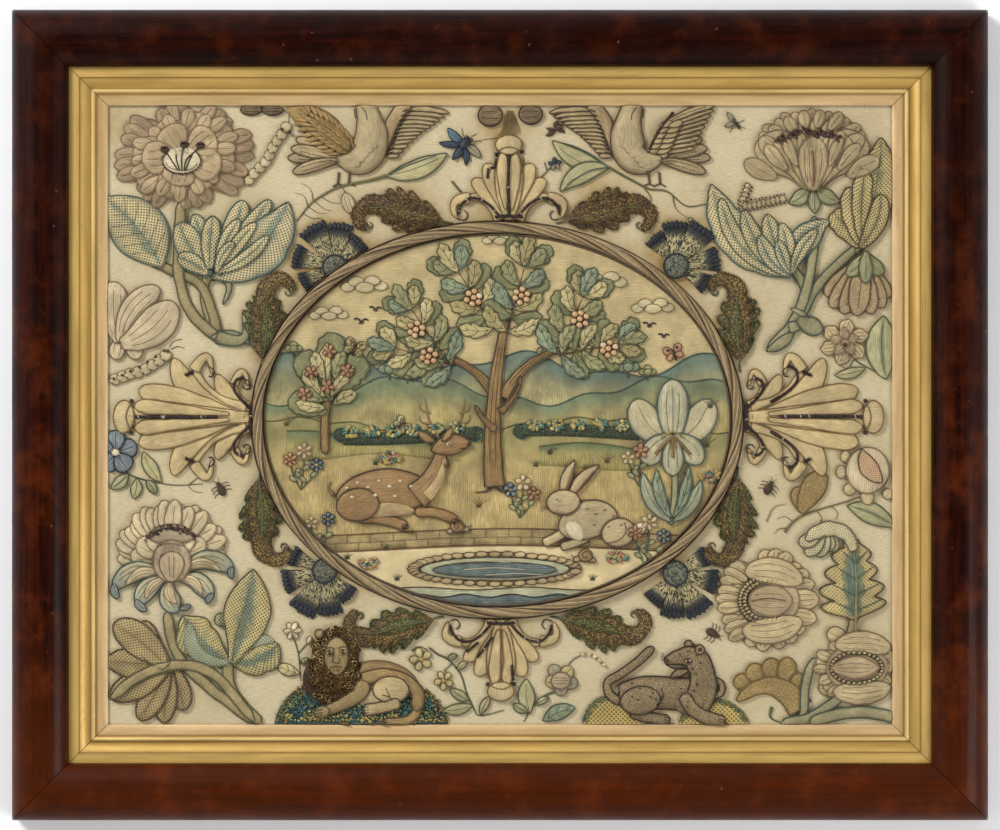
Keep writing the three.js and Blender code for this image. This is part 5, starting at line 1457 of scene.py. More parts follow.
def round_flower(name):
    """The rows of a round flower: outer petals, inner petals and eye."""
    x, y, rx, ry, outer, inner, eye, rise = ROUND_FLOWERS[name]

    def ring(count, reach, level, offset):
        rows = []
        for i in range(count):
            angle = 2 * math.pi * (i + offset) / count
            half = math.pi * reach * (rx + ry) / 2 / count * 0.73
            near, far = [(x + s * rx * math.cos(angle), y + s * ry * math.sin(angle)) for s in (0.1, reach)]
            rows.append(("petal", *near, *far, 0, half, level))
        return rows

    eye_row = ("pod", x - eye, y, x + eye, y, 0, eye * 0.85, rise * 1.15)
    return ring(outer, 1, rise * 0.75, 0.25), ring(inner, 0.58, rise * 0.95, 0.6), eye_row


def motif(name, inside=False):
    """Starts the piece that stands for the node of that name."""
    return Work(name + "_work", inside)


def finish_motif(work, slot):
    work.build(slot=slot, stands_for=(work.name.removesuffix("_work"),), padded=0.85)


def ring_points(x, y, rx, ry, count, start=0.0, sweep=360.0):
    share = np.arange(count) / (count if sweep == 360.0 else count - 1)
    angles = np.radians(start + sweep * share)
    return [(x + rx * math.cos(a), y + ry * math.sin(a)) for a in angles]


def acanthus(index, place):
    work = motif(f"acanthus_{index + 1}")
    light, dark = ("acanthus_brown", "acanthus") if index < 2 else ("acanthus", "acanthus_green")
    middle, tip = placed_points(ACANTHUS_MIDDLE, *place), placed_points(ACANTHUS_TIP, *place)
    wide = ACANTHUS_BODY if place[3] > 0 else swapped(ACANTHUS_BODY)
    limb(work, "leaf", middle, 12.5, 3.0, dark, shape=wide, notches=(4.4, 0.42, 0.55))
    limb(work, "taper", tip, 8.0, 3.2, light, notches=(3.5, 0.25, 0.3))
    limb(work, "leaf", middle, 8.6, 3.8, light, shape=wide, notches=(4.9, 0.4, 0.8), fringe=0.7)
    limb(work, "leaf", placed_points([(8, 0.5), (22, 2.6), (36, 6.4)], *place), 3.6, 4.2, dark, fringe=0.6)
    line(work, placed_points(ACANTHUS_CURL, *place), "line_green", 0.75, taper=True)
    line(work, placed_points([(5, 0), (0.5, -1.2), (-2.5, -1.6)], *place), "line_green", 0.6)
    line(work, placed_points([(6, 0.3), (22, 3), (36, 7), (46, 6.6)], *place), "line_olive", 0.4)
    finish_motif(work, "moss_thread")


def carnation(index, place):
    work = motif(f"carnation_{index + 1}")
    x, y, turn, side = place
    for petal_turn, reach, half in CARNATION_PETALS:
        c, s = math.cos(math.radians(petal_turn)), math.sin(math.radians(petal_turn))
        petal = [("fan", 4 * c, 4 * s, reach * c, reach * s, 0, half, 2.4)]
        lobes(work, placed(petal, x, y, turn, side), "navy_fan")
        teeth = []
        for tooth in range(CARNATION_TEETH):
            across = half * 0.86 * (2 * tooth / (CARNATION_TEETH - 1) - 1)
            near = reach * 0.84
            far = reach * (1.04 - 0.05 * abs(across / half)) + work.random.uniform(-0.5, 0.5)
            root = (near * c - across * 0.9 * s, near * s + across * 0.9 * c)
            tip = (far * c - across * 1.1 * s, far * s + across * 1.1 * c)
            teeth.append(("leaf", *root, *tip, 0, half * 0.2, 1.2))
        lobes(work, placed(teeth, x, y, turn, side), "navy_teeth")
    lobe(work, placed([CARNATION_EYE], x, y, turn, side)[0], "navy_eye")
    finish_motif(work, "navy_thread")


def palmette(row):
    name, x, y, turn, side, kind, length, half, knob_at, knob = row
    work = motif(name)
    long = side is LONG_PALMETTE
    place = (x, y, turn)

    def here(points, s=1):
        return placed_points([(px, s * py) for px, py in points], *place)

    lobes(work, placed([*side, *mirrored(side)], *place), "palmette")
    if long:
        flutes = [("fan", 14, s * 1.5, length - 2.5, s * 6.4, 0, 4.2, 2.6) for s in (1, -1)]
    else:
        flutes = [("petal", 6, s * 1.2, length - 3, s * 3.8, 0, 4.0, 2.8) for s in (1, -1)]
    lobes(work, placed([(kind, 0, 0, length, 0, 0, half, 2.6), *flutes], *place), "palmette")
    cap = ("pod", knob_at - knob, 0, knob_at + knob, 0, 0, half * 0.95, 3.2)
    lobe(work, placed([cap], *place)[0], "palmette_knob")
    brow = [(knob_at - knob * 0.7, s * half * 0.9) for s in (-1, 1)]
    line(work, here([brow[0], (knob_at - knob * 0.25, 0), brow[1]]), "line_gold", 0.4)
    beads(work, here(brow), [1.2, 1.2, 0.9], "purl")
    wire = 1.25 if long else 1.15
    if name != "palmette_south":
        start = 21 if long else 3
        purl(work, here([(start, 0), (length * 0.5, 0.3), (knob_at - knob - 0.5, 0)]), wire)
    else:
        line(work, here([(3, 0), (length - 6, 0)]), "line_rust", 0.5)
        for ends in ([(26, 6.3), (34, 6.8)], [(10, -5), (21, -13)], [(13, -13), (18, -19)]):
            purl(work, here(ends), 1.0)
    scroll = LONG_SCROLL_WIRE if long else SHORT_SCROLL_WIRE
    hook = LONG_SCROLL_HOOK if long else SHORT_SCROLL_HOOK
    for s in (1, -1):
        purl(work, here(scroll, s), wire * 0.85)
        line(work, here(hook, s), "line_dark", 0.4)
        if name == "palmette_east":
            purl(work, here(SECOND_SCROLL_WIRE, s), wire * 0.85)
        if long:
            line(work, here(SECOND_SCROLL_HOOK, s), "line_dark", 0.4)
            purl(work, here([(34.5 - 0.5 * s, 25.2), (38.5, 23.4)], s), 1.2)
    purl(work, here([(1.8, -7.5), (2.2, 0), (1.8, 7.5)]), wire)
    if name == "palmette_north":
        purl(work, here([(24, 12), (29, 11.5), (30, 7.5), (38, 7.2)]), 1.0, smooth=False)
        line(work, here([(36, -8), (30, -8.4), (25, -6.4)]), "line_gold", 0.4)
        line(work, here([(16, 27), (22, 32)]), "line_green", 0.7)
    finish_motif(work, "cream_thread")


BIRD_TAIL_TIPS = [(31.7, 6.4), (42.5, -7.7), (37.8, 3.5), (40.6, -2), (39.6, -16)]


def bird(row):
    """A bird with its far wing raised, the near wing over its back and its tail fanned out low."""
    name, x, y, side = row
    work = motif(name)

    def here(rows):
        return placed(rows if side > 0 else flipped(rows), x, y)

    def spots(points):
        return [(x + side * px, y + py) for px, py in points]

    for i in range(12):
        share = i / 11
        root = (-13 - 8 * share, -7 + 26 * share)
        tip = (-20.5 - 28 * share, -6.5 + 25.5 * share + 1.4 * math.sin(5 * share))
        lobes(work, here([("petal", *root, *tip, -0.06, 1.6, 1.5)]), "feather", veins=())
    limb(work, "stem", spots([(-12.4, -6), (-13.6, 2), (-16, 11), (-21, 19), (-25, 23)]), 4.0, 2.6,
         "feather_dark", shape=[(0, 0.1, 0.1), (0.25, 0.6, 0.6), (0.6, 1, 1), (1, 0.9, 0.9)])
    for i in range(11):
        share = i / 10
        px, py = -14.4 - 9.4 * share**1.3, -5 + 26 * share
        line(work, spots([(px, py), (px - 2.6, py + 1.0)]), "line_dark", 0.4)
    for tip in BIRD_TAIL_TIPS:
        lobes(work, here([("petal", 13.5, -9.0, *tip, 0.03, 3.5, 2.2)]), "tail_feather",
              veins=(-0.35, 0.35), radius=0.34)
        for share in (0.45, 0.62, 0.79):
            cx, cy = 14.5 + (tip[0] - 14.5) * share, -9.4 + (tip[1] + 9.4) * share
            line(work, spots([(cx - 0.6, cy - 1.5), (cx + 0.4, cy + 1.5)]), "line_white", 0.26,
                 smooth=False)
    body = "bird_body" if name == "bird_left" else "bird_grey"
    if name == "bird_left":
        lobes(work, here([BIRD_NEAR_WING]), "feather_gold")
        for across_wing, turn in ((-7.2, -42), (-4.4, -26), (-1.4, -10), (1.6, 4), (4.6, 18)):
            for i in range(9):
                share = (i + 0.5 * (turn > -12)) / 9
                wide = math.sin(math.pi * min(1, 0.16 + 0.8 * share)) ** 0.6
                px = 6 + 0.79 * 33 * share + 0.61 * -across_wing * wide
                py = -3 + 0.61 * 33 * share - 0.79 * -across_wing * wide
                angle = math.radians(37.7 + turn)
                end = (px + 7.5 * math.cos(angle), py + 7.5 * math.sin(angle))
                lobes(work, here([("leaf", px, py, *end, 0.05, 1.3, 1.4)]), "feather_gold", outline=None)
    else:
        for i in range(9):
            share = i / 8
            root, tip = (7 + 7 * share, -7 + 17 * share), (33 + 13 * share, -2.5 + 25 * share)
            lobes(work, here([("petal", *root, *tip, 0.05, 2.1, 2.0)]), "feather", veins=(0.0,))
        for row_at in (0.0, 1.0):
            for i in range(7):
                share = i / 6
                px, py = 8 + 5.5 * row_at + 8 * share, -7 + 18 * share
                lobes(work, here([("petal", px - 3, py - 1, px + 5, py + 1.5, 0.0, 2.0, 2.6)]), "feather",
                      veins=(), radius=0.28)
        purl(work, spots([(6, -8), (9, 0), (14, 9), (21, 18)]), 0.8, "seed_dark")
    form = BIRD_FORM if side > 0 else swapped(BIRD_FORM)
    limb(work, "stem", spots(BIRD_SPINE), 10.0, 4.8, body, shape=form, crown=0.8)
    for i in range(5):
        px, py = -8.6 + 2.4 * i, -0.6 - 2.6 * i
        line(work, spots([(px, py), (px + 1.4, py - 1.8), (px + 3.4, py - 2.0)]), "line_taupe", 0.2)
    line(work, spots([(2, 22), (-1.6, 18), (-2.4, 13.6)]), "line_brown", 0.26)
    line(work, spots([(5, 20), (4.4, 15)]), "line_brown", 0.26)
    for foot in (7.5, 13.5):
        line(work, spots([(foot, -15.5), (foot + 0.6, -22.0)]), "line_brown", 0.7)
        line(work, spots([(foot + 0.6, -22.0), (foot - 3.0, -23.2)]), "line_brown", 0.45)
        line(work, spots([(foot + 0.6, -22.0), (foot + 3.6, -23.6)]), "line_brown", 0.45)
    finish_motif(work, "cream_thread")


def ruffled(work, rows, finish, count=3):
    """Petals whose far ends are gathered in small ruffles."""
    for row in rows:
        _, x0, y0, x1, y1, _, half, rise = row
        lobe(work, shortened(row, 0.94), finish)
        length = math.hypot(x1 - x0, y1 - y0)
        wx, wy = (x1 - x0) / length, (y1 - y0) / length
        for i in range(count):
            off = half * 0.62 * (2 * i / (count - 1) - 1) if count > 1 else 0
            reach = length - 0.16 * abs(off) + work.random.uniform(-0.5, 0.5)
            foot = (x0 + wx * length * 0.45 - wy * off * 0.7, y0 + wy * length * 0.45 + wx * off * 0.7)
            head = (x0 + wx * reach - wy * off, y0 + wy * reach + wx * off)
            lobe(work, ("petal", *foot, *head, 0.03, half * 0.42, rise * 0.5), finish, veins=(0.0,),
                 radius=0.22)


def rose_top_left():
    work = motif("rose_top_left")
    outer, inner, _ = round_flower("rose_top_left")
    ruffled(work, outer, "petal_dusky")
    middle = [shortened(row, 0.78, 0.9) for row in outer]
    ruffled(work, turned(middle, -177.5, 146, 22), "petal_inner", 2)
    lobes(work, inner, "petal_inner")
    lobe(work, ("pod", -189.5, 142.6, -167.5, 142.6, 0, 7.6, 3.8), "white_silk")
    line(work, ring_points(-178.5, 141.4, 8.6, 4.2, 16, 180, 180), "line_taupe", 0.24)
    seeds(work, ring_points(-178.5, 142.6, 10.8, 7.3, 30, 140, 260), 0.58, 1.2, jitter=0.1)
    for foot, head in (((-180.5, 137), (-188, 148.6)), ((-178.4, 137), (-177, 151.4)),
                       ((-176.4, 137), (-168, 150.9)), ((-179.6, 137), (-181.6, 146)),
                       ((-177.2, 137), (-173.4, 146))):
        bend = ((foot[0] + head[0]) / 2 - 0.8, (foot[1] + head[1]) / 2 + 1.5)
        line(work, [foot, bend, head], "line_dark", 0.42)
        if abs(head[1] - 146) > 1:
            lobe(work, ("pod", head[0] - 2.6, head[1], head[0] + 2.6, head[1] + 0.8, 0, 2.1, 1.2),
                 "brown_silk", veins=())
            beads(work, [(head[0] + dx, head[1] + 1.4) for dx in (-1.4, 0, 1.4)], [0.7, 0.7, 0.8],
                  "seed_dark")
    finish_motif(work, "taupe_thread")


def peony():
    work = motif("peony")
    for turn, reach in PEONY_BACK:
        x, y = PEONY_MIDDLE
        c, s = math.cos(math.radians(turn)), math.sin(math.radians(turn))
        petal = ("petal", x + 5 * c, y + 4 * s, x + 1.12 * reach * c, y + reach * s, 0, 8.4, 2.2)
        ruffled(work, [petal], "petal_grey")
    lobes(work, PEONY_SEPALS, "sepal")
    ruffled(work, PEONY[:6], "petal_grey", 2)
    lobe(work, PEONY[6], "petal_grey")
    seeds(work, PEONY_SEEDS, 0.95, 1.7, jitter=0.9, rows=3)
    line(work, [(175.5, 128), (175.8, 138), (175.4, 148)], "line_rust", 0.55)
    finish_motif(work, "taupe_thread")


def tulip():
    work = motif("tulip")
    lobes(work, TULIP_SEPALS, "petal_pale")
    lobes(work, TULIP, "petal_pale", veins=(-0.5, 0.0, 0.5))
    finish_motif(work, "taupe_thread")


def bell_flower():
    work = motif("bell_flower")
    for x, y, bow, half in BELL_PETALS:
        lobe(work, ("petal", 203.5, 88, x, y, bow, half, 2.6), "petal_dotted", veins=(0.0,))
    lobes(work, BELL_CAP, "sepal")
    finish_motif(work, "taupe_thread")


def pomegranate():
    work = motif("pomegranate")
    lobes(work, POMEGRANATE_FRILLS, "petal_taupe", veins=())
    lobe(work, POMEGRANATE, "petal_pale", veins=())
    lobe(work, POMEGRANATE_PATCH, "lace_rust", veins=())
    finish_motif(work, "taupe_thread")


def daisy():
    work = motif("daisy")
    x, y, first, last, reach, half, rise = DAISY_RING
    for i in (0, 10, 1, 9, 2, 8, 3, 7, 4, 6, 5):
        angle = math.radians(first + (last - first) * i / 10)
        c, s = math.cos(angle), math.sin(angle)
        far = reach + (1.2 if i % 2 else -0.8)
        for lean in (0.1, -0.1):
            ends = (x + 8 * c, y + 8 * s, x + far * math.cos(angle + lean),
                    y + far * math.sin(angle + lean))
            lobe(work, ("petal", *ends, 0, half * 0.72, rise), "petal_cream", scallop=0.0, veins=(0.0,))
    for i in (0, 6, 1, 5, 2, 4, 3):
        angle = math.radians(176 - 172 * i / 6)
        c, s = math.cos(angle), math.sin(angle)
        lobe(work, ("petal", x + 4 * c, y + 3 * s, x + 23 * c, y + 16.5 * s, 0, 6.4, rise + 0.4),
             "petal_cream")
    for row, (tip_x, tip_y, tip_half) in zip(DAISY_CURLS, DAISY_CURL_TIPS):
        lobe(work, row, "petal_blue", veins=(-0.5, -0.1, 0.4))
        over = ("leaf", *shortened(row, 0.76, 0.5)[1:])
        lobe(work, over, "petal_cream", 1.6, outline="line_pink", radius=0.24)
        _, x0, y0, x1, y1, bow, _, _ = row
        length = math.hypot(x1 - x0, y1 - y0)
        nx, ny = -(y1 - y0) / length * tip_half, (x1 - x0) / length * tip_half
        curl = ("pod", tip_x - nx, tip_y - ny, tip_x + nx, tip_y + ny, math.copysign(0.12, bow),
                tip_half * 0.55, 2.6)
        lobe(work, curl, "tip_blue", veins=(0.2,), radius=0.26)
    lobe(work, ("pod", -197, -68.5, -172, -68.5, 0.08, 5.4, 3.2), "heart_pink", veins=())
    seeds(work, [(-198, -69), (-191.5, -64.6), (-184.5, -63.2), (-177, -64.6), (-171.5, -68.6)], 0.62, 1.2,
          jitter=0.6, rows=4)
    lobe(work, DAISY_HEART, "heart_pink", veins=(-0.4, 0.4))
    lobe(work, ("petal", -184.2, -93.5, -184.2, -76.5, 0, 7.2, 4.0), "heart_pink", veins=(-0.2, 0.2),
         outline="line_rust", radius=0.24)
    line(work, ring_points(-184.2, -75.6, 9.0, 3.4, 14, 0, 180), "line_taupe", 0.28)
    finish_motif(work, "cream_thread")


def rose_right():
    work = motif("rose_right")
    for x0, y0, x1, y1, half in ((152, -86, 147.5, -75.8, 4.6), (154, -86, 155.5, -75, 4.8),
                                 (156, -87, 163, -77.5, 4.6), (160, -93, 168.5, -83.5, 4.4),
                                 (161, -95, 173.5, -88, 4.4), (161, -98, 177, -94.5, 4.4),
                                 (150, -118, 138.5, -129.5, 4.6), (151, -119, 146.5, -132.6, 4.8),
                                 (156, -118, 157, -131.6, 4.6), (158, -117, 165.5, -128, 4.6),
                                 (160, -115, 171.5, -121.5, 4.6)):
        lobe(work, ("petal", x0, y0, x1, y1, 0, half, 1.8), "petal_taupe", veins=(-0.3, 0.3), radius=0.25)
    lobe(work, ("pod", 160, -104.5, 179.5, -103.5, 0, 6.2, 2.6), "petal_taupe")
    lobe(work, ("pod", 162, -112, 178, -115, 0, 5, 2.4), "petal_taupe")
    ruffled(work, [("petal", 150, -98, 125.5, -86.5, 0, 9, 2.2),
                   ("petal", 150, -111, 125.5, -121, 0, 9, 2.2),
                   ("petal", 150, -104, 121, -103, 0, 8.6, 2.4)], "petal_taupe")
    lobe(work, ("pod", 133.5, -104.2, 168, -104.2, 0, 15, 3.0), "petal_inner", veins=())
    for level, size in ((0.0, 1.0), (1.0, 0.8)):
        arc = ring_points(151.5, -104, 14.6 + 2.6 * level, 11.4 + 2.2 * level, 22, 70 + 30 * level,
                          220 - 60 * level)
        for x, y in arc:
            lobe(work, ("pod", x - 1.7 * size, y, x + 1.7 * size, y, 0, 1.7 * size, 1.5), "bead_silk",
                 radius=0.26)
    lobe(work, ("pod", 137.5, -88.5, 169.5, -94.5, 0.12, 7.6, 3.4), "petal_taupe", scallop=0.02)
    lobe(work, ("pod", 136, -120, 169.5, -115, -0.1, 7.8, 3.4), "petal_taupe", scallop=0.02)
    lobe(work, ("pod", 139.5, -103.6, 164, -104.8, 0, 8.8, 4.4), "petal_inner", veins=(-0.45, 0.0, 0.45))
    line(work, [(141, -104.5), (150, -102.8), (160, -104)], "line_brown", 0.3)
    finish_motif(work, "taupe_thread")


def rose_corner():
    work = motif("rose_corner")
    outer, _, _ = round_flower("rose_corner")
    lobes(work, [("pod", 177, -139.3, 188, -139.3, 0, 5.4, 2.2), ("pod", 179, -154, 189, -152, 0, 5, 2.2),
                 ("pod", 184, -121, 194, -127, 0, 5, 2.2)], "petal_taupe", veins=(0.0,))
    ruffled(work, outer, "petal_taupe", 2)
    lobe(work, ("pod", 183, -141.8, 218, -141.8, 0, 13.5, 3.0), "petal_inner", veins=())
    lobe(work, ("pod", 188, -129.5, 219.5, -131.5, 0.08, 6.6, 3.4), "petal_taupe")
    lobe(work, ("pod", 187, -154.5, 219.5, -152.5, -0.08, 6.8, 3.4), "petal_taupe")
    for x, y in ring_points(200, -141.8, 14.4, 8.6, 30):
        lobe(work, ("pod", x - 1.25, y, x + 1.25, y, 0, 1.25, 1.4), "bead_silk", radius=0.24)
    lobe(work, ("leaf", 185.5, -141.8, 213, -141.8, 0, 6.4, 4.4), "petal_inner", veins=(-0.4, 0.0, 0.4))
    finish_motif(work, "taupe_thread")


def star_flower():
    work = motif("star_flower")
    outer, _, _ = round_flower("star_flower")
    points = [("leaf", *ends, 0.1, half * 0.9, rise) for _, *ends, _, half, rise in outer]
    lobes(work, points, "petal_taupe", notches=(2.5, 0.2, 0.3))
    for turn in range(15, 375, 72):
        leaflet(work, 193.5, 41, turn, 8.6, 3.0, "petal_inner", 2.6, radius=0.28)
    lobe(work, ("pod", 191.4, 40.6, 195.8, 40.6, 0, 2.0, 3.0), "petal_inner", veins=())
    beads(work, [(193.5, 39.5)], [1.2, 1.2, 0.9], "seed_dark")
    finish_motif(work, "taupe_thread")


def blue_flower():
    work = motif("blue_flower")
    outer, _, eye = round_flower("blue_flower")
    lobes(work, outer, "blue_silk")
    lobe(work, eye, "white_silk", veins=())
    seeds(work, ring_points(-216, -21, 2.4, 2.4, 8), 0.5, 1.4, jitter=0.1)
    finish_motif(work, "blue_thread")


def lion():
    hill = motif("lion_hill")
    lobes(hill, LION_HILL, "hill_teal")

    def dome(x, y):
        """How far in a place lies on either hill: 0 on the edge and 1 in the middle."""
        return 1 - min(math.hypot((x + 99) / 28, (y + 177) / 27.5),
                       math.hypot((x + 58) / 30, (y + 177) / 27.5))

    def knot(x, y):
        deep, draw = dome(x, y), hill.random.random()
        if deep < 0:
            return None
        if deep < 0.16 + 0.05 * math.sin(x):
            return one_of(draw, (0.6, "knot_brown"), (1, "knot_leaf"))
        if y < -168 + 2 * math.sin(0.4 * x):
            return one_of(draw, (0.5, "knot_gold"), (0.8, "knot_leaf"), (1, "knot_teal"))
        return one_of(draw, (0.55, "knot_blue"), (0.85, "knot_teal"), (1, "knot_leaf"))

    knotted(hill, (-129, -175, -27, -147), 1.5, 0.95, knot)
    finish_motif(hill, "teal_thread")
    work = motif("lion")
    limb(work, "stem", [(-49, -160), (-46.6, -166), (-52, -171.5), (-66, -173)], 2.6, 2.8, "lion_fur")
    line(work, [(-64, -172.6), (-78, -173.6), (-91, -173)], "line_brown", 1.3, taper=True)
    lobe(work, LION_BACK, "lion_fur", outline=None)
    limb(work, "stem", [(-79, -158), (-68, -159.5), (-56, -160.5)], 5.0, 3.4, "lion_cream", outline=None)
    limb(work, "stem", [(-80, -149), (-66, -145.6), (-53, -149), (-46, -157), (-47, -166)], 3.6, 4.2,
         "lion_fur", outline="line_brown")
    lobe(work, ("pod", -71.5, -153.4, -51, -154.6, 0, 7.6, 4.6), "lion_cream", radius=0.42)
    line(work, [(-66, -157), (-61.5, -158.4), (-60.4, -161.4), (-56, -162.6)], "line_brown", 0.32)
    line(work, [(-61.5, -158.4), (-64, -153)], "line_brown", 0.26)
    limb(work, "stem", [(-56, -161), (-64, -163.6), (-76.5, -166)], 3.2, 3.4, "lion_cream")
    for toe in (-1.4, 0.2, 1.7):
        line(work, [(-73.6, -165.4 + toe), (-78, -166.4 + toe)], "line_brown", 0.24)
    lobes(work, LION_MANE, "mane_ground")
    ring_of_curls(work, (-93, -146), (14.5, 17), 430, 1.3, 0.42, "purl_gold")
    ring_of_curls(work, (-92.5, -133.5), (13, 14), 330, 1.3, 0.42, "purl_gold")
    lobe(work, ("pod", -91.6, -145.5, -91.6, -124.5, 0, 7.0, 6.6), "lion_face")
    for x, y in ((-95.4, -132.8), (-87.9, -132.3)):
        lobe(work, ("leaf", x - 2.1, y, x + 2.1, y, 0, 1.25, 1.2), "white_silk", outline="line_dark",
             radius=0.26)
        beads(work, [(x, y)], [0.9, 0.9, 0.8], "seed_dark")
        line(work, [(x - 2.7, y + 1.7), (x, y + 2.8), (x + 2.6, y + 2.0)], "line_brown", 0.28)
        line(work, [(x - 2.2, y - 1.8), (x, y - 2.3), (x + 2.2, y - 1.7)], "line_taupe", 0.24)
    line(work, [(-92.9, -130.6), (-93.3, -136), (-94, -138.2), (-91.6, -138.9), (-89.4, -138.1),
                (-90.3, -135.6)], "line_brown", 0.32)
    line(work, [(-94.9, -141.4), (-92, -140.6), (-88.9, -141.3)], "line_rust", 0.42)
    line(work, [(-94, -142.8), (-91.9, -143.3), (-89.8, -142.7)], "line_brown", 0.26)
    lobe(work, ("pod", -103.5, -124.5, -99.5, -121, 0, 2.6, 5.0), "lion_fur")
    limb(work, "stem", [(-76, -149), (-79.4, -156.5), (-89, -162.4), (-100, -166.8)], 3.7, 4.2, "lion_face",
         shape=[(0, 0.7, 0.7), (0.15, 1.25, 1.25), (0.5, 1, 1), (0.85, 0.85, 0.85), (1, 0.8, 0.8)])
    lobe(work, ("pod", -104.6, -168, -95.5, -165.6, 0, 3.5, 4.2), "lion_face")
    for toe in (-1.8, -0.2, 1.5):
        line(work, [(-99.5, -166.4 + toe), (-104.6, -167.6 + toe)], "line_brown", 0.26)
    finish_motif(work, "brown_thread")


def leopard():
    for name, row in LEOPARD_HILLS.items():
        hill = motif(name)
        lobe(hill, row, "hill_gold", fringe=0.9)
        middle, reach = (row[1] + row[3]) / 2, (row[3] - row[1]) / 2

        def edge_knot(x, y):
            if 0.86 < math.hypot((x - middle) / reach, (y + 177) / row[6]) < 1.03:
                return one_of(hill.random.random(), (0.7, "knot_leaf"), (1, "knot_teal"))
            return None

        knotted(hill, (row[1] - 2, -175, row[3] + 2, -177 + row[6] + 2), 1.3, 0.8, edge_knot)
        finish_motif(hill, "gold_thread")
    work = motif("leopard")
    limb(work, "stem", [(69, -162), (62, -157.5), (60.4, -150.5), (67, -146), (76, -139.5), (86.5, -130.2)],
         2.5, 2.8, "leopard_fur")
    limb(work, "stem", [(118, -158), (124.5, -156), (124, -150.4), (119.5, -149.6)], 2.0, 2.4,
         "leopard_fur")
    limb(work, "stem", [(68, -161), (80, -156.4), (95, -156.4), (112, -158)], 9.4, 3.8, "leopard_fur")
    limb(work, "stem", [(73, -167), (84, -170), (95.5, -171.6)], 3.0, 3.0, "leopard_fur")
    lobe(work, ("pod", 67.5, -161.6, 90, -158.8, 0, 8.2, 4.4), "leopard_pale")
    lobes(work, [("pod", 103.4, -129.4, 108.4, -128, 0, 2.4, 3),
                 ("leaf", 95.4, -147.6, 107, -142.8, 0.05, 2.3, 3.4)], "leopard_fur")
    limb(work, "stem", LEOPARD_NECK, 8.6, 4.4, "leopard_fur", shape=LEOPARD_FORM)
    lobe(work, ("pod", 98.5, -164, 114, -159, 0, 7.0, 4.4), "leopard_fur", outline=None)
    limb(work, "stem", [(103, -156), (107, -164), (115, -169.4), (126.5, -173)], 3.8, 4.0, "leopard_pale")
    lobe(work, ("pod", 109.4, -131.8, 115, -131.4, 0, 2.9, 3.6), "leopard_pale")
    beads(work, [(112.2, -131.6)], [1.3, 1.2, 0.5], "seed_dark")
    line(work, [(93.4, -140.4), (97.5, -142.3), (104.6, -142.6)], "line_dark", 0.4)
    lobe(work, ("leaf", 103.2, -137.8, 107.6, -137.8, 0, 1.4, 1.2), "white_silk", outline="line_dark",
         radius=0.26)
    beads(work, [(105.4, -137.8)], [0.95, 0.95, 0.8], "seed_dark")
    beads(work, [(93.4, -138.2)], [1.1, 0.9, 0.7], "seed_dark")
    for reach in (-1.8, 0.0, 1.8):
        line(work, [(95.4, -138.4), (90.6, -135.4 + reach)], "line_dark", 0.2)
    dots = [(74 + 6.4 * i + 2 * math.sin(5 * i), -150.6 - 2.7 * (i % 3)) for i in range(7)]
    dots += [(108 + 3.0 * math.sin(7 * i), -142.5 - 3.0 * i) for i in range(8)]
    dots += [(74 + 3.4 * i, -158 - 1.6 * (i % 3)) for i in range(5)]
    dots += [(101, -134.4), (105.5, -132.6), (110.4, -134.6), (112.4, -139), (108, -142), (100.5, -131.6)]
    beads(work, dots, [0.62, 0.46, 0.36], "seed_dark")
    for toe in (-1.4, 0.0, 1.4):
        line(work, [(122.4, -171.8 + toe), (127, -173 + toe)], "line_dark", 0.24)
        line(work, [(92, -170.8 + toe), (96, -171.8 + toe)], "line_dark", 0.24)
    line(work, [(88, -163), (91.6, -158), (90.4, -153.4)], "line_dark", 0.3)
    finish_motif(work, "taupe_thread")


def sprig_top_left():
    work = motif("sprig_top_left")
    limb(work, "stem", [(-163, 81), (-166, 72), (-165, 60), (-160, 48)], 2.6, 2.4, "stem")
    limb(work, "stem", [(-197, 87), (-183, 80.6), (-170, 74.5), (-163.6, 64), (-158, 44)], 2.8, 2.4, "stem")
    limb(work, "stem", [(-179, 121), (-180.4, 98), (-180, 76), (-173, 57), (-156, 41)], 3.1, 2.6, "stem")
    lobes(work, TOP_LEFT_CURLS, "stem_teal")
    lobe(work, TOP_LEFT_LEAVES[0], "lace_pale", ribs=5, outline="line_teal")
    lobe(work, ("petal", -160, 82, -172, 113, 0.0, 5.6, 2.6), "lace_pale")
    lobes(work, TOP_LEFT_LEAVES[1:4], "lace_pale")
    lobes(work, TOP_LEFT_LEAVES[5:], "lace_pale")
    lobe(work, ("petal", -158, 84, -129, 121, -0.02, 5.4, 2.8), "lace_pale")
    lobe(work, TOP_LEFT_LEAVES[4], "lace_teal", notches=(3.5, 0.12, 0.2))
    for x, y, bow, half in ((-146, 110, 0.06, 4.2), (-137, 108, 0.02, 4.0), (-130, 101, -0.08, 3.8),
                            (-149, 97, 0.1, 3.4)):
        lobe(work, ("petal", -159, 80, x, y, bow, half, 3.2), "lace_pale", radius=0.3)
    finish_motif(work, "green_thread")


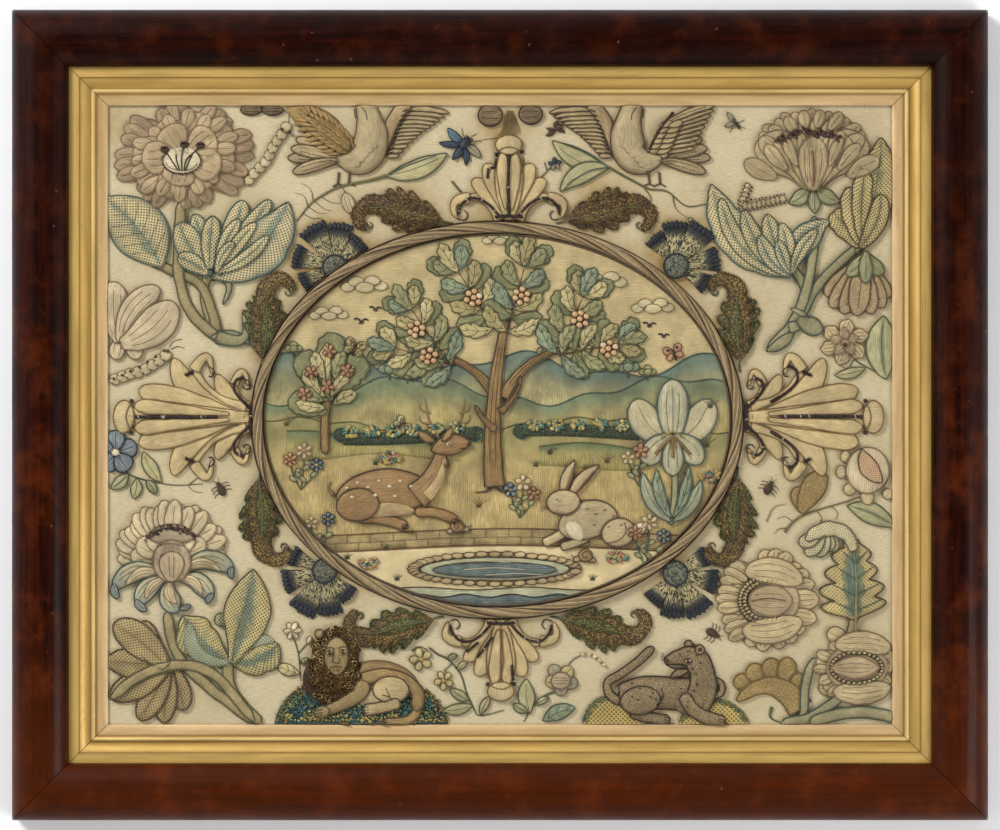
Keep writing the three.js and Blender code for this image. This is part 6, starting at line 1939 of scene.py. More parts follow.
def sprig_top_right():
    work = motif("sprig_top_right")
    limb(work, "stem", [(163, 84), (169.6, 75), (171.4, 64), (166, 52)], 2.6, 2.4, "stem_teal")
    limb(work, "stem", [(202, 95), (187, 82), (176.6, 70), (168, 54)], 2.8, 2.4, "stem_teal")
    limb(work, "stem", [(176.8, 112), (175.6, 90), (172, 70), (164, 51), (150, 36)], 2.9, 2.6, "stem_teal")
    lobes(work, TOP_RIGHT_CURLS, "stem_teal")
    lobes(work, RIGHT_EDGE_LEAVES, "lace_olive", notches=(3.4, 0.16, 0.3))
    lobe(work, ("petal", 202, 94, 214, 124, -0.1, 6.0, 2.8), "lace_olive")
    lobe(work, TOP_RIGHT_LEAVES[0], "lace_teal", notches=(2.6, 0.15, 0.3))
    lobe(work, TOP_RIGHT_LEAVES[1], "lace_pale", notches=(4.4, 0.12, 0.2))
    for x, y, bow, half in ((124, 122, 0.16, 5.0), (137, 115, 0.1, 5.6), (150, 113, 0.04, 5.6),
                            (158, 108, -0.04, 4.6)):
        lobe(work, ("petal", 163, 78, x, y, bow, half, 3.0), "lace_pale", radius=0.3)
    lobe(work, ("petal", 163, 78, 146, 101, 0.1, 4.6, 3.4), "lace_teal", radius=0.3)
    lobe(work, ("petal", 163, 79, 156, 98, 0.02, 3.8, 3.4), "lace_teal", radius=0.3)
    lobe(work, ("petal", 164, 79, 178, 104, 0.08, 3.8, 3.2), "lace_pale", radius=0.3)
    finish_motif(work, "teal_thread")


def sprig_bottom_left():
    work = motif("sprig_bottom_left")
    limb(work, "stem", [(-187, -110), (-184.6, -125), (-179, -138), (-164, -152.5), (-137, -173)], 3.1, 2.6,
         "stem")
    limb(work, "stem", [(-152.3, -136), (-152.4, -149), (-146.4, -161), (-134, -173)], 3.0, 2.6, "stem")
    lobe(work, ("pod", -156.6, -119, -156.6, -111, 0, 4, 2.4), "lace_yellow", veins=())
    lobe(work, ("leaf", -151, -139, -178, -112.6, 0.1, 12, 2.8), "lace_yellow", notches=(2.4, 0.2, 0.35))
    lobe(work, ("petal", -152, -139, -174, -117, 0.3, 4.6, 3.0), "lace_fold", radius=0.3)
    lobe(work, ("leaf", -151, -139, -124.5, -128.4, -0.14, 10, 2.8), "lace_yellow",
         notches=(2.4, 0.2, 0.35))
    lobe(work, ("petal", -150, -138, -127, -127, 0.2, 3.8, 3.0), "lace_fold", radius=0.3)
    lobe(work, ("leaf", -151, -139, -138.6, -86.5, -0.04, 13, 3.2), "lace_yellow",
         shape=[(0, 0.15, 0.15), (0.2, 0.5, 0.55), (0.42, 0.92, 0.95), (0.62, 1, 1), (0.82, 0.66, 0.62),
                (0.94, 0.26, 0.24), (1, 0.03, 0.03)])
    line(work, [(-151, -140), (-148.5, -124), (-143, -107), (-140.5, -97)], "line_taupe", 0.45, taper=True)
    lobes(work, BOTTOM_LEFT_FAN, "lace_gold")
    limb(work, "stem", [(-219, -160), (-205, -148), (-188, -141.4), (-171, -141), (-157, -149),
                        (-145, -163), (-138, -172)], 2.9, 2.6,
         "stem")
    finish_motif(work, "teal_thread")


def oak_leaf():
    work = motif("oak_leaf")
    lobe(work, OAK_STEM, "stem")
    lobe(work, ("leaf", 199.5, -115, 198.5, -70, 0.02, 18.5, 2.8), "lace_oak", ribs=0,
         notches=(4.5, 0.52, 0.12),
         shape=[(0, 0.1, 0.1), (0.1, 0.95, 0.95), (0.3, 1.05, 1.0), (0.55, 0.85, 0.8), (0.8, 0.6, 0.6),
                (1, 0.2, 0.2)])
    lobe(work, ("leaf", 199.5, -114, 198.8, -74, 0.02, 6.5, 3.6), "leaf_teal", notches=(4.5, 0.4, 0.5),
         outline=None)
    for y, reach in ((-108, 15), (-99, 14), (-90, 10), (-81, 7)):
        for side in (1, -1):
            line(work, [(199.4, y - 2), (199.4 + side * reach * 0.55, y + 1.4),
                        (199.4 + side * reach, y + 4.6)], "line_teal", 0.5,
                 taper=True)
    line(work, [(199.6, -122), (199.6, -112), (199.8, -94), (198.6, -76)], "stem_line", 0.9, taper=True)
    finish_motif(work, "teal_thread")


def plain_leaf(name, rows, finish, slot):
    work = motif(name)
    lobes(work, rows, finish)
    finish_motif(work, slot)


def curled_leaf():
    work = motif("curled_leaf")
    for x, y, half in ((186.5, -77, 4.2), (183.4, -76.6, 4.0), (178.1, -79.6, 4.4), (171.6, -78.6, 4.4),
                       (167.6, -72, 4.2)):
        lobe(work, ("petal", x + (186 - x) * 0.7, -66.8, x, y, 0.05, half, 2.2), "lace_curl", radius=0.36,
             veins=())
    limb(work, "stem", [(199.4, -76), (195.5, -67.4), (187.2, -63.4), (178.6, -64.8), (171.6, -70)], 4.6,
         2.8, "lace_curl",
         shape=[(0, 0.7, 0.5), (0.3, 1, 0.8), (0.6, 1.05, 0.8), (0.85, 0.9, 0.7), (1, 0.3, 0.3)],
         notches=(4.5, 0.2, 0.1))
    finish_motif(work, "teal_thread")


def stems_bottom_right():
    work = motif("stems_bottom_right")
    limb(work, "stem", [(170, -173), (171.4, -155), (173.6, -143), (179, -137)], 2.6, 2.4, "stem_teal")
    limb(work, "stem", [(158, -173.5), (174, -170), (186, -162.6), (195, -154)], 3.0, 2.4, "stem_teal")
    limb(work, "stem", [(174, -172.6), (188, -168.6), (204, -167), (222, -170)], 3.4, 2.6, "stem_teal")
    line(work, [(153, -164), (152, -170), (158, -173)], "line_green", 0.9, taper=True)
    finish_motif(work, "green_thread")


def leaves_and_stems():
    oak_leaf()
    plain_leaf("scallop_leaf", SCALLOP_LEAF, "gold_silk", "gold_thread")
    curled_leaf()
    stems_bottom_right()
    plain_leaf("leaf_gold", LEAF_GOLD, "gold_silk", "gold_thread")
    plain_leaf("leaf_low", [LEAF_LOW], "leaf_silk", "green_thread")
    plain_leaf("leaf_edge", [LEAF_EDGE], "leaf_silk", "green_thread")


# The garden in the oval: a layout of its own, in the colours and to the scale of the old work

# Flat stitching: how far inside the cord's middle it ends, at the sides too, and how wide its sloping edge is
INSIDE = 1.6
STRIP_END = 0.8
STRIP_EDGE = 1.6


def oval_half(x):
    share = np.clip(1 - ((x - OVAL_X) / (OVAL_RX - INSIDE)) ** 2, 0, 1)
    return (OVAL_RY - INSIDE) * np.sqrt(share)


def strip(work, low, high, finish, rise=0.3, edge=None, first=-132.0, last=129.0):
    """Flat stitching between two curves over x, cut off by the oval cord."""
    reach = OVAL_RX - INSIDE - STRIP_END
    first, last = max(first, OVAL_X - reach), min(last, OVAL_X + reach)
    x = np.linspace(first, last, max(8, int((last - first) / STRIP_STEP)))
    bottom, top = np.maximum(low(x), OVAL_Y - oval_half(x)), np.minimum(high(x), OVAL_Y + oval_half(x))
    shown = top - bottom > 0.4
    if not shown.any():
        return
    at = np.flatnonzero(shown)
    x, bottom, top = x[at[0] : at[-1] + 1], bottom[at[0] : at[-1] + 1], top[at[0] : at[-1] + 1]
    top = np.maximum(top, bottom + 0.05)
    rows = max(4, int((top - bottom).max() / STRIP_STEP))
    share = np.linspace(0, 1, rows)
    px = np.broadcast_to(x[:, None], (len(x), rows))
    py = bottom[:, None] + (top - bottom)[:, None] * share
    from_edge = np.minimum(py - bottom[:, None], top[:, None] - py)
    from_edge = np.minimum(from_edge, np.minimum(px - x[0], x[-1] - px))
    raised = 0.25 + 0.75 * np.clip(from_edge / STRIP_EDGE, 0, 1)
    own = rise * raised * (1 + 0.25 * wavering(px, py, 0.12, rise * 40))
    pz = RELIEF.soft(px, py, 0.6) + own
    RELIEF.cover(px, py, pz)
    wall_low = np.stack([px[:, :1], py[:, :1], 0 * px[:, :1]], axis=-1)
    wall_high = np.stack([px[:, -1:], py[:, -1:], 0 * px[:, -1:]], axis=-1)
    over = np.stack([px, py, pz], axis=-1)
    grid = np.concatenate([wall_low, over, wall_high], axis=1) + [0, 0, WORK_BASE]
    size = rows + 2
    faces = skin(len(x), size)
    faces = faces[faces[:, 1] != faces[:, 0] - size + 1]
    uv = np.stack([grid[..., 0], grid[..., 1]], axis=-1).reshape(-1, 2)
    tall = np.maximum(high(x) - low(x), 0.5)[:, None]
    upwards = np.clip((grid[..., 1] - low(x)[:, None]) / tall, 0, 1).ravel()
    work.add(grid.reshape(-1, 3), [faces[:, ::-1]], finish, uv, upwards, np.repeat(x / OVAL_RX, size))
    if edge:
        crest = np.column_stack([x, high(x)])
        line(work, crest, edge, 0.34, smooth=False)


def level(y, *waves):
    """A curve over x about a height, with waves of (height, length, start)."""
    def curve(x):
        swell = [rise * np.sin(2 * np.pi * (x - start) / length) for rise, length, start in waves]
        return np.zeros_like(x, float) + y + sum(swell)
    return curve


def bed_of_knots(work, x, y, wide, tall, count, finishes, size=1.3):
    """A bed of raised knots, in no order."""
    for finish in finishes:
        places = []
        for _ in range(count // len(finishes)):
            a, r = work.random.uniform(0, 2 * math.pi), math.sqrt(work.random.random())
            places.append((x + wide * r * math.cos(a), y + tall * r * math.sin(a)))
        beads(work, places, [size, size * 0.9, size * 0.85], finish,
              [work.random.uniform(0, 3) for _ in places])


def leaflet(work, x, y, turn, length, half, finish, rise=1.6, bow=0.06, kind="leaf", **changes):
    a = math.radians(turn)
    row = (kind, x, y, x + length * math.cos(a), y + length * math.sin(a), bow, half, rise)
    lobe(work, row, finish, **changes)


def little_flower(work, x, y, size, petals, finish, turn=90.0, eye="bead_gold", rise=1.6):
    for i in range(petals):
        a = turn + 360 * i / petals
        near = (x + 0.12 * size * math.cos(math.radians(a)), y + 0.12 * size * math.sin(math.radians(a)))
        leaflet(work, *near, a, size * 0.88, size * math.pi / petals * 0.55, finish, rise, 0.0, "petal",
                radius=0.24, veins=())
    beads(work, [(x, y)], [size * 0.22, size * 0.22, 0.8], eye)


def plant(work, x, y, heads, stem="line_green"):
    """A few stems from one root, each with two leaves: heads are x, y of the top of each."""
    for hx, hy in heads:
        bend = ((x + hx) / 2 + (hx - x) * 0.22, (y + hy) / 2)
        line(work, [(x, y), bend, (hx, hy)], stem, 0.45)
        out = 1 if hx >= x else -1
        for share, side in ((0.3, -1), (0.5, 1)):
            lx, ly = x + (hx - x) * share * 1.15, y + (hy - y) * share
            leaflet(work, lx, ly, 90 - side * 52 - out * 6, 5.2, 1.5, "leaf_silk", 1.3, radius=0.24,
                    veins=())


def flowering(work, x, y, petals, heads, stem="line_green"):
    """A plant with a flower on each stem: heads are x, y, size, finish."""
    plant(work, x, y, [head[:2] for head in heads], stem)
    for hx, hy, size, finish in heads:
        little_flower(work, hx, hy, size, petals, finish)


def tuft(work, x, y, size, finish="line_green"):
    for lean in (-0.75, -0.35, 0.05, 0.4, 0.8):
        height = size * (1 - 0.35 * abs(lean))
        line(work, [(x + lean * 1.2, y), (x + lean * size * 0.35, y + height * 0.55),
                    (x + lean * size, y + height)], finish,
             0.36, taper=True)


def fruit(work, x, y, count, radius):
    """A bunch of round berries, each ringed in brown."""
    lobe(work, ("pod", x - radius * 2.2, y, x + radius * 2.2, y, 0, radius * 2.1, 1.0), "berry_ground",
         outline=None, veins=())
    spots = [(x, y)] + ring_points(x, y, radius * 2.0, radius * 1.9, 6, 20)
    for px, py in spots[:count]:
        px, py = px + work.random.uniform(-0.3, 0.3), py + work.random.uniform(-0.3, 0.3)
        beads(work, [(px, py)], [radius * 0.9, radius * 0.9, radius * 0.7], "berry")
        line(work, ring_points(px, py, radius, radius, 12), "line_brown", 0.24, closed=True, smooth=False)


def flying_bird(work, x, y, size):
    line(work, [(x - size, y + size * 0.45), (x - size * 0.45, y + size * 0.6), (x, y)], "line_dark", 0.5)
    line(work, [(x, y), (x + size * 0.5, y + size * 0.55), (x + size, y + size * 0.3)], "line_dark", 0.5)
    beads(work, [(x, y)], [size * 0.4, 0.7, 0.7], "seed_dark", [0.3])


def butterfly(work, x, y, size, turn, wing="foliage_gold", spot="line_rust"):
    for side in (1, -1):
        leaflet(work, x, y, turn + side * 38, size, size * 0.36, wing, 1.4, side * 0.1, "petal",
                radius=0.26)
        leaflet(work, x, y, turn + side * 118, size * 0.74, size * 0.3, wing, 1.4, side * -0.1, "petal",
                radius=0.26)
        a = math.radians(turn + side * 38)
        beads(work, [(x + size * 0.62 * math.cos(a), y + size * 0.62 * math.sin(a))], [0.9, 0.9, 0.6], spot)
    a = math.radians(turn)
    spots = [(x + k * math.cos(a), y + k * math.sin(a)) for k in np.linspace(-size * 0.4, size * 0.35, 5)]
    beads(work, spots, [0.9, 0.75, 0.9], "seed_dark", [a] * 5)


def snail(work, x, y, side):
    lobe(work, ("stem", x - side * 6, y, x + side * 7, y + 1.4, 0.08 * side, 1.6, 1.6), "snail_foot",
         radius=0.26)
    lobe(work, ("pod", x - 4, y + 3.6, x + 4, y + 3.6, 0, 3.9, 2.6), "snail_shell", radius=0.28)
    coil = [(3.1 - 0.28 * k, k * 0.75) for k in range(10)]
    line(work, [(x + r * math.cos(a), y + 3.6 + r * math.sin(a)) for r, a in coil], "line_brown", 0.26)
    line(work, [(x + side * 6.4, y + 1.6), (x + side * 7.8, y + 4.4)], "line_brown", 0.22)


def far_tree(work, x, y, size, finish):
    line(work, [(x, y - size * 0.2), (x, y + size * 0.6)], "line_brown", 0.55)
    for dx, dy in ((-0.55, 0.75), (0.55, 0.75), (0, 1.15), (0, 0.7)):
        left, right, high = x + (dx - 0.45) * size, x + (dx + 0.45) * size, y + dy * size
        lobe(work, ("pod", left, high, right, high, 0, size * 0.42, 1.2), finish, radius=0.24, veins=(),
             ribs=0)


def garden_ground():
    """Sky, hills, meadow, hedges, path and water, from the back to the front."""
    work = Work("garden_ground", inside=True)
    far = level(28, (6.0, 118, -20), (2.6, 47, 5))
    near = level(14, (7.0, 150, 62), (2.0, 38, 0))
    meadow = level(-6, (4.0, 170, 10), (1.2, 31, 4))
    bend = (2.2, 260, -60)
    path_top, path_middle, path_foot = level(-66, bend), level(-70.7, bend), level(-75.5, bend)
    strip(work, level(2), level(200), "sky_silk")
    for x, y, size in ((58, 74, 5.0), (86, 60, 4.4), (-76, 72, 4.8), (-96, 56, 4.0), (0, 98, 3.6)):
        for dx, dy, wide in ((-2.0, -0.1, 0.8), (1.9, 0.0, 0.8), (-1.0, 0.5, 0.95), (0.9, 0.6, 0.95),
                             (0, -0.2, 1.1)):
            left, right, high = x + (dx - wide) * size, x + (dx + wide) * size, y + dy * size
            lobe(work, ("pod", left, high, right, high, 0.06, size * 0.62, 0.9), "cloud_silk", veins=())
    strip(work, level(0), far, "hill_far", edge="line_teal")
    for x, size, finish in ((-62, 6.5, "foliage_teal"), (-52, 5.0, "foliage"), (26, 5.5, "foliage"),
                            (72, 6.5, "foliage_teal"), (83, 5.0, "foliage"), (-116, 5.0, "foliage")):
        far_tree(work, x, float(far(np.array(x))) - 1, size, finish)
    strip(work, level(-14), near, "hill_near", edge="line_teal")
    strip(work, level(-80), meadow, "meadow", edge="line_olive")
    banks = ((level(-24, (2.0, 90, 0)), level(-12, (3.4, 110, -30)), -120, -22),
             (level(-30, (1.5, 90, 0)), level(-18, (2.6, 100, 20)), 22, 84))
    for low, high, first, last in banks:
        strip(work, low, high, "meadow_olive", first=first, last=last, edge="line_olive")
    for x, y, wide, tall in ((-89, -12.5, 4.5, 4.0), (-14, -12.0, 5.0, 4.4), (12.5, -10.4, 5.0, 4.4),
                             (79, -10.0, 5.5, 4.6)):
        lobe(work, ("pod", x - wide, y, x + wide, y + 0.6, 0.1, tall, 1.4), "hedge", veins=())
    for foot, start, first, last in ((-15.5, -40, -88, -14), (-13.5, -10, 13, 78)):
        low, high = level(foot, (1.6, 150, start)), level(foot + 7, (1.6, 150, start))
        strip(work, low, high, "hedge", rise=1.3, first=first, last=last, edge="line_teal")
    hedge_top = level(-8.5, (1.6, 150, -40))
    for x in range(-84, -16, 12):
        bed_of_knots(work, x, float(hedge_top(np.array(x))) + 0.5, 4.2, 3.0, 26, ("knot_teal", "knot_gold"))
    for x in range(20, 78, 12):
        bed_of_knots(work, x, -5.5, 4.2, 3.0, 26, ("knot_teal", "knot_gold"))
    strip(work, path_foot, path_top, "brick", edge="line_rust")
    strip(work, level(-140), path_foot, "lawn", edge="line_rust")
    strip(work, level(-140), level(-97.5, (0.8, 60, 0)), "water", edge="line_brown")
    strip(work, level(-140), level(-101.5, (0.9, 26, 0)), "water_blue", edge="line_navy")
    for x0, x1, y, half, finish in ((-50, 44, -86.5, 9.4, "pond_rim"), (-45, 39, -86.5, 6.6, "water"),
                                    (-38, 32, -87, 4.4, "water_blue")):
        lobe(work, ("pod", x0, y, x1, y, 0, half, 0.9), finish, outline="line_brown", radius=0.3, veins=())
    for x, y in ring_points(-3, -86.5, 46, 8.4, 40):
        lobe(work, ("pod", x - 3.4, y, x + 3.4, y, 0, 1.7, 1.4), "stone")
    for y, x0, x1 in ((-83, -28, 6), (-90, -8, 26), (-86.8, -20, 14)):
        line(work, [(x0, y), ((x0 + x1) / 2, y + 1), (x1, y)], "line_white", 0.3)
    for x in range(-112, 118, 13):
        top, foot = float(path_top(np.array(x))), float(path_foot(np.array(x)))
        line(work, [(x, top), (x, (top + foot) / 2)], "line_taupe", 0.24, smooth=False)
        line(work, [(x + 6.5, (top + foot) / 2), (x + 6.5, foot)], "line_taupe", 0.24, smooth=False)
    line(work, [(x, float(path_middle(np.array(x)))) for x in range(-118, 118, 4)], "line_taupe", 0.24)
    work.build(slot="cream_thread", padded=0.7)


# The lobes of a leaf's edge: how many, how deep, how far they lean to its tip
SHALLOW_LOBES = (3.5, 0.35, 0.5)
DEEP_LOBES = (3.5, 0.4, 0.5)


def tree():
    work = motif("tree", inside=True)
    lobes(work, TREE, "trunk")
    lobe(work, ("horn", 0, 2, 12, 22, -0.1, 2.4, 2.4), "trunk")
    lobe(work, ("horn", -2, -8, -14, 6, 0.1, 2.2, 2.4), "trunk")
    line(work, [(-3, -40), (-8, -43), (-14, -43.6)], "line_brown", 1.0, taper=True)
    line(work, [(-3, -40), (2, -43.4), (9, -43.8)], "line_brown", 1.0, taper=True)
    cycle = ("foliage_gold", "foliage_teal", "foliage", "foliage_pale")
    for n, (x0, y0, x1, y1, half) in enumerate(TREE_CLUMPS):
        turn = math.degrees(math.atan2(y1 - y0, x1 - x0))
        length = math.hypot(x1 - x0, y1 - y0)
        for share, spread in ((0.2, 74), (0.55, 60), (0.85, 40)):
            px, py = x0 + (x1 - x0) * share, y0 + (y1 - y0) * share
            for side in (1, -1):
                leaflet(work, px, py, turn + side * spread, half * 1.35, half * 0.44, "foliage_deep", 1.0,
                        0.1 * side, notches=SHALLOW_LOBES, veins=(0.0,))
        for k, share in enumerate((0.02, 0.3, 0.58, 0.82)):
            px, py = x0 + (x1 - x0) * share, y0 + (y1 - y0) * share
            for side in (1, -1):
                leaflet(work, px, py, turn + side * (54 - 7 * k), half * (1.5 - 0.12 * k), half * 0.36,
                        cycle[(n + k + (side > 0)) % 4], 1.8, 0.12 * side, notches=DEEP_LOBES)
        px, py = x0 + (x1 - x0) * 0.8, y0 + (y1 - y0) * 0.8
        leaflet(work, px, py, turn, length * 0.42, half * 0.36, cycle[(n + 1) % 4], 2.0, notches=DEEP_LOBES)
        line(work, [(x0, y0), (px, py)], "line_brown", 0.55, taper=True)
    for x, y in ((-47, 48), (-15, 66), (12, 67), (45, 54), (61, 37), (-40, 33)):
        fruit(work, x, y, 7, 1.9)
    finish_motif(work, "green_thread")


def bush():
    work = motif("bush", inside=True)
    lobe(work, BUSH_STEM, "trunk", veins=())
    lobes(work, BUSH, "foliage_deep", veins=(), notches=(5.5, 0.2, 0.3))
    for x, y, turn, length in ((-98, 4, 168, 17), (-98, 10, 128, 20), (-95, 10, 52, 22), (-96, 14, 92, 27),
                               (-99, 8, 150, 15), (-94, 6, 24, 15), (-98, 20, 112, 17), (-93, 20, 70, 17)):
        finish = "foliage" if turn % 4 else "foliage_pale"
        leaflet(work, x, y, turn, length, 4.2, finish, 1.6, notches=SHALLOW_LOBES)
    for x, y in ((-106, 24), (-86, 25), (-96, 36), (-97, 16), (-110, 12)):
        little_flower(work, x, y, 4.2, 5, "rose_silk", 90 + x)
    finish_motif(work, "green_thread")


def iris():
    work = motif("iris", inside=True)
    lobe(work, IRIS_STEM, "stem_teal", veins=())
    lobes(work, IRIS_LEAVES, "leaf_blue")
    lobes(work, [("leaf", 96, -58, 88, -30, 0.08, 3.2, 2.0), ("leaf", 97, -58, 106, -28, -0.08, 3.2, 2.0)],
          "foliage_teal")
    lobes(work, IRIS[2:4], "iris_pale")
    lobe(work, IRIS[4], "iris_silk", veins=(-0.4, 0.0, 0.4))
    lobes(work, IRIS[:2], "iris_silk", veins=(-0.4, 0.4))
    lobe(work, ("petal", 97, -12, 97, -34, 0, 6.4, 3.4), "iris_silk", veins=(-0.4, 0.4))
    for x, y in ((87, -22), (107, -22), (97, -24)):
        line(work, [(97, -12), ((97 + x) / 2, (y - 12) / 2 + 0.5), (x, y)], "line_gold", 0.9)
    seeds(work, [(91, -12), (97, -9.6), (103, -12)], 0.7, 1.4, "knot_gold", 0.4)
    finish_motif(work, "blue_thread")


def hare():
    work = motif("hare", inside=True)
    lobe(work, HARE[0], "hare_fur")
    lobe(work, ("stem", 50, -68, 34, -74, 0.05, 2.6, 2.6), "hare_fur")
    lobes(work, HARE[1:3], "hare_fur")
    for foot, tip in (((41, -46.5), (52.5, -31.5)), ((36.6, -45), (41, -29.5))):
        line(work, [foot, tip], "line_rust", 0.6, taper=True)
    lobes(work, HARE[3:5], "hare_fur")
    lobe(work, ("pod", 74, -67, 82, -61, 0, 3.4, 3.6), "white_silk", outline="line_taupe")
    lobe(work, HARE[5], "hare_fur")
    lobe(work, ("pod", 38, -60, 46, -70, 0, 4.2, 4.4), "white_silk")
    beads(work, [(32.4, -47.2)], [1.15, 1.0, 0.8], "white_bead")
    beads(work, [(32.2, -47.2)], [0.7, 0.7, 0.9], "seed_dark", lift=1.3)
    beads(work, [(26.2, -50.6)], [0.8, 0.7, 0.6], "line_rust")
    for spread in (-1.6, 0.0, 1.6):
        line(work, [(27.5, -52), (22.5, -52.6 + spread)], "line_taupe", 0.18)
    line(work, [(60, -72), (66, -70.5), (70.5, -66), (70, -60)], "line_brown", 0.26)
    for x, y in ((48, -53), (53, -56), (58, -53.5), (63, -57), (52, -62), (60, -63), (67, -62)):
        line(work, [(x, y), (x + 1.8, y + 0.7)], "line_taupe", 0.3, smooth=False)
    finish_motif(work, "cream_thread")


def stag():
    work = motif("stag", inside=True)
    for side, lean in ((-1, -3.0), (1, 3.5)):
        crown = (-31 + side * 3.0, -13)
        tip = (crown[0] + lean + side * 5, 9)
        line(work, [crown, (crown[0] + side * 5.5, -4), tip], "line_tan", 1.0, taper=True)
        for share, reach in ((0.35, 6.0), (0.65, 5.0)):
            bx, by = crown[0] + side * (3.5 + 3 * share), crown[1] + 22 * share
            line(work, [(bx, by), (bx + side * reach, by + 1.5), (bx + side * reach * 1.1, by + 5)],
                 "line_tan", 0.75, taper=True)
    lobes(work, STAG[:2], "stag_fur")
    lobe(work, STAG[2], "stag_fur")
    lobe(work, ("pod", -80, -55, -48, -54, 0.04, 4.0, 3.9), "stag_pale", outline=None)
    lobe(work, STAG[3], "stag_fur")
    line(work, [(-93.5, -45), (-96.5, -41), (-95, -37.6)], "line_tan", 1.3, taper=True)
    lobe(work, STAG[4], "stag_fur")
    lobe(work, ("horn", -41, -46, -31, -24, -0.1, 3.4, 4.4), "stag_pale", outline=None)
    lobe(work, ("leaf", -36, -15, -46, -8.5, 0.1, 2.3, 4.0), "stag_fur", radius=0.3)
    lobe(work, STAG[5], "stag_fur")
    lobe(work, ("leaf", -33, -14.5, -27, -6.5, -0.1, 2.2, 4.2), "stag_fur", radius=0.3)
    beads(work, [(-28.6, -16.4)], [1.2, 1.0, 0.7], "white_bead")
    beads(work, [(-28.4, -16.4)], [0.72, 0.72, 0.9], "seed_dark", lift=1.3)
    beads(work, [(-17.4, -16.6)], [1.1, 1.0, 0.7], "seed_dark")
    line(work, [(-18, -18.6), (-22.5, -18.9)], "line_dark", 0.28)
    spots = [(-86, -41), (-80, -38), (-74, -40.5), (-68, -37), (-62, -40), (-56, -37), (-50, -40),
             (-83, -46), (-70, -45), (-59, -45.5)]
    beads(work, spots, [1.15, 0.95, 0.5], "bead_cream")
    for x, y, turn in ((-53, -62.8, 0), (-25.5, -59.5, 0.4)):
        beads(work, [(x, y)], [2.2, 1.5, 1.3], "seed_dark", [turn])
    finish_motif(work, "brown_thread")


def garden_flowers():
    """The little things between the beasts: plants, tufts, birds and butterflies."""
    work = Work("garden_flowers", inside=True)
    pink, cream, blue = "rose_silk", "petal_cream", "blue_silk"
    flowering(work, -112, -42, 6, [(-118, -25, 4.4, pink), (-110, -20, 4.8, cream), (-103, -28, 4.2, blue)])
    flowering(work, 11, -58, 5, [(6, -42, 4.4, blue), (13, -38, 4.8, cream), (19, -44, 4.2, pink)])
    flowering(work, 78, -40, 5, [(72, -24, 4.0, cream), (79, -20, 4.6, pink)])
    plant(work, -100, -78, [(-106, -62.5), (-97, -60)], "line_teal")
    little_flower(work, -106, -60.5, 3.8, 5, cream)
    little_flower(work, -96.5, -58.5, 4.2, 6, blue)
    flowering(work, 82, -86, 6, [(76, -66, 4.6, pink), (84, -60, 5.0, cream), (92, -68, 4.4, blue)],
              "line_teal")
    for x, y, size in ((-120, -6, 6), (-70, -28, 5), (-12, -52, 6), (28, -22, 5), (60, -27, 6),
                       (116, -18, 7), (-30, -30, 5), (118, 4, 6), (-64, -76, 4), (64, -80, 5),
                       (-86, -81, 4), (52, -93, 4), (-58, -93, 4), (20, -29, 4)):
        tuft(work, x, y, size, "line_green" if x % 3 else "line_gold")
    for x, y, wide in ((118, -34, 6), (-62, -24, 7), (66, -80, 6), (-74, -83, 6)):
        bed_of_knots(work, x, y, wide, 3.2, 34, ("knot_teal", "knot_gold", "knot_rose"))
    snail(work, 48, -82.5, -1)
    snail(work, -24, -66, 1)
    for x, y, size in ((-78, 52, 4.0), (-70, 59, 3.4), (84, 50, 3.6), (92, 44, 3.0)):
        flying_bird(work, x, y, size)
    butterfly(work, -82, 37, 7.5, 70)
    butterfly(work, 98, 34, 7.0, 110, "rose_silk", "line_navy")
    butterfly(work, -56, -6, 6.0, 40, "iris_pale", "line_gold")
    work.build(slot="green_thread", padded=0.8)


# The little motifs on the satin between the large ones


def beetle(work, x, y, turn, size=4.0):
    a = math.radians(turn)
    ahead, beside = (math.cos(a), math.sin(a)), (-math.sin(a), math.cos(a))

    def at(u, v):
        return x + u * ahead[0] + v * beside[0], y + u * ahead[1] + v * beside[1]

    for u in (-2.0, 0.2, 2.2):
        for v in (-1, 1):
            line(work, [at(u, v * 1.4), at(u + 0.6, v * 3.6), at(u - 0.8, v * 5.4)], "line_dark", 0.2)
    lobe(work, ("pod", *at(-size, 0), *at(size * 0.7, 0), 0, size * 0.62, 2.0), "brown_silk", veins=(0.0,))
    lobe(work, ("pod", *at(size * 0.5, 0), *at(size * 1.15, 0), 0, size * 0.34, 1.8), "brown_silk")
    for v in (-1, 1):
        line(work, [at(size * 1.1, v * 0.5), at(size * 1.6, v * 1.8)], "line_dark", 0.17)


def bee(work):
    for x, y, half, finish in ((-29.5, 161.5, 2.5, "blue_wing"), (-34.5, 153.2, 2.0, "navy_silk"),
                               (-27, 143.6, 2.4, "navy_silk"), (-19, 140, 1.8, "navy_silk"),
                               (-10.5, 144.5, 2.5, "grey_wing")):
        lobe(work, ("leaf", -20, 152, x, y, 0.05, half, 1.5), finish, radius=0.25, outline="line_navy",
             veins=(0.0,))
    lobe(work, ("pod", -22.5, 150.5, -16.5, 155.5, 0, 2.6, 2.4), "navy_silk")
    beads(work, [(-16.2, 154.4), (-18.6, 156)], [1.2, 1.2, 1.0], "seed_dark")
    for tip in ((-21.5, 161.5), (-13, 158), (-10, 153.5), (-24, 142), (-16, 142.5)):
        line(work, [(-19, 153), ((tip[0] - 19) / 2 - 0.6, (tip[1] + 153) / 2 + 0.8), tip], "line_navy",
             0.17)


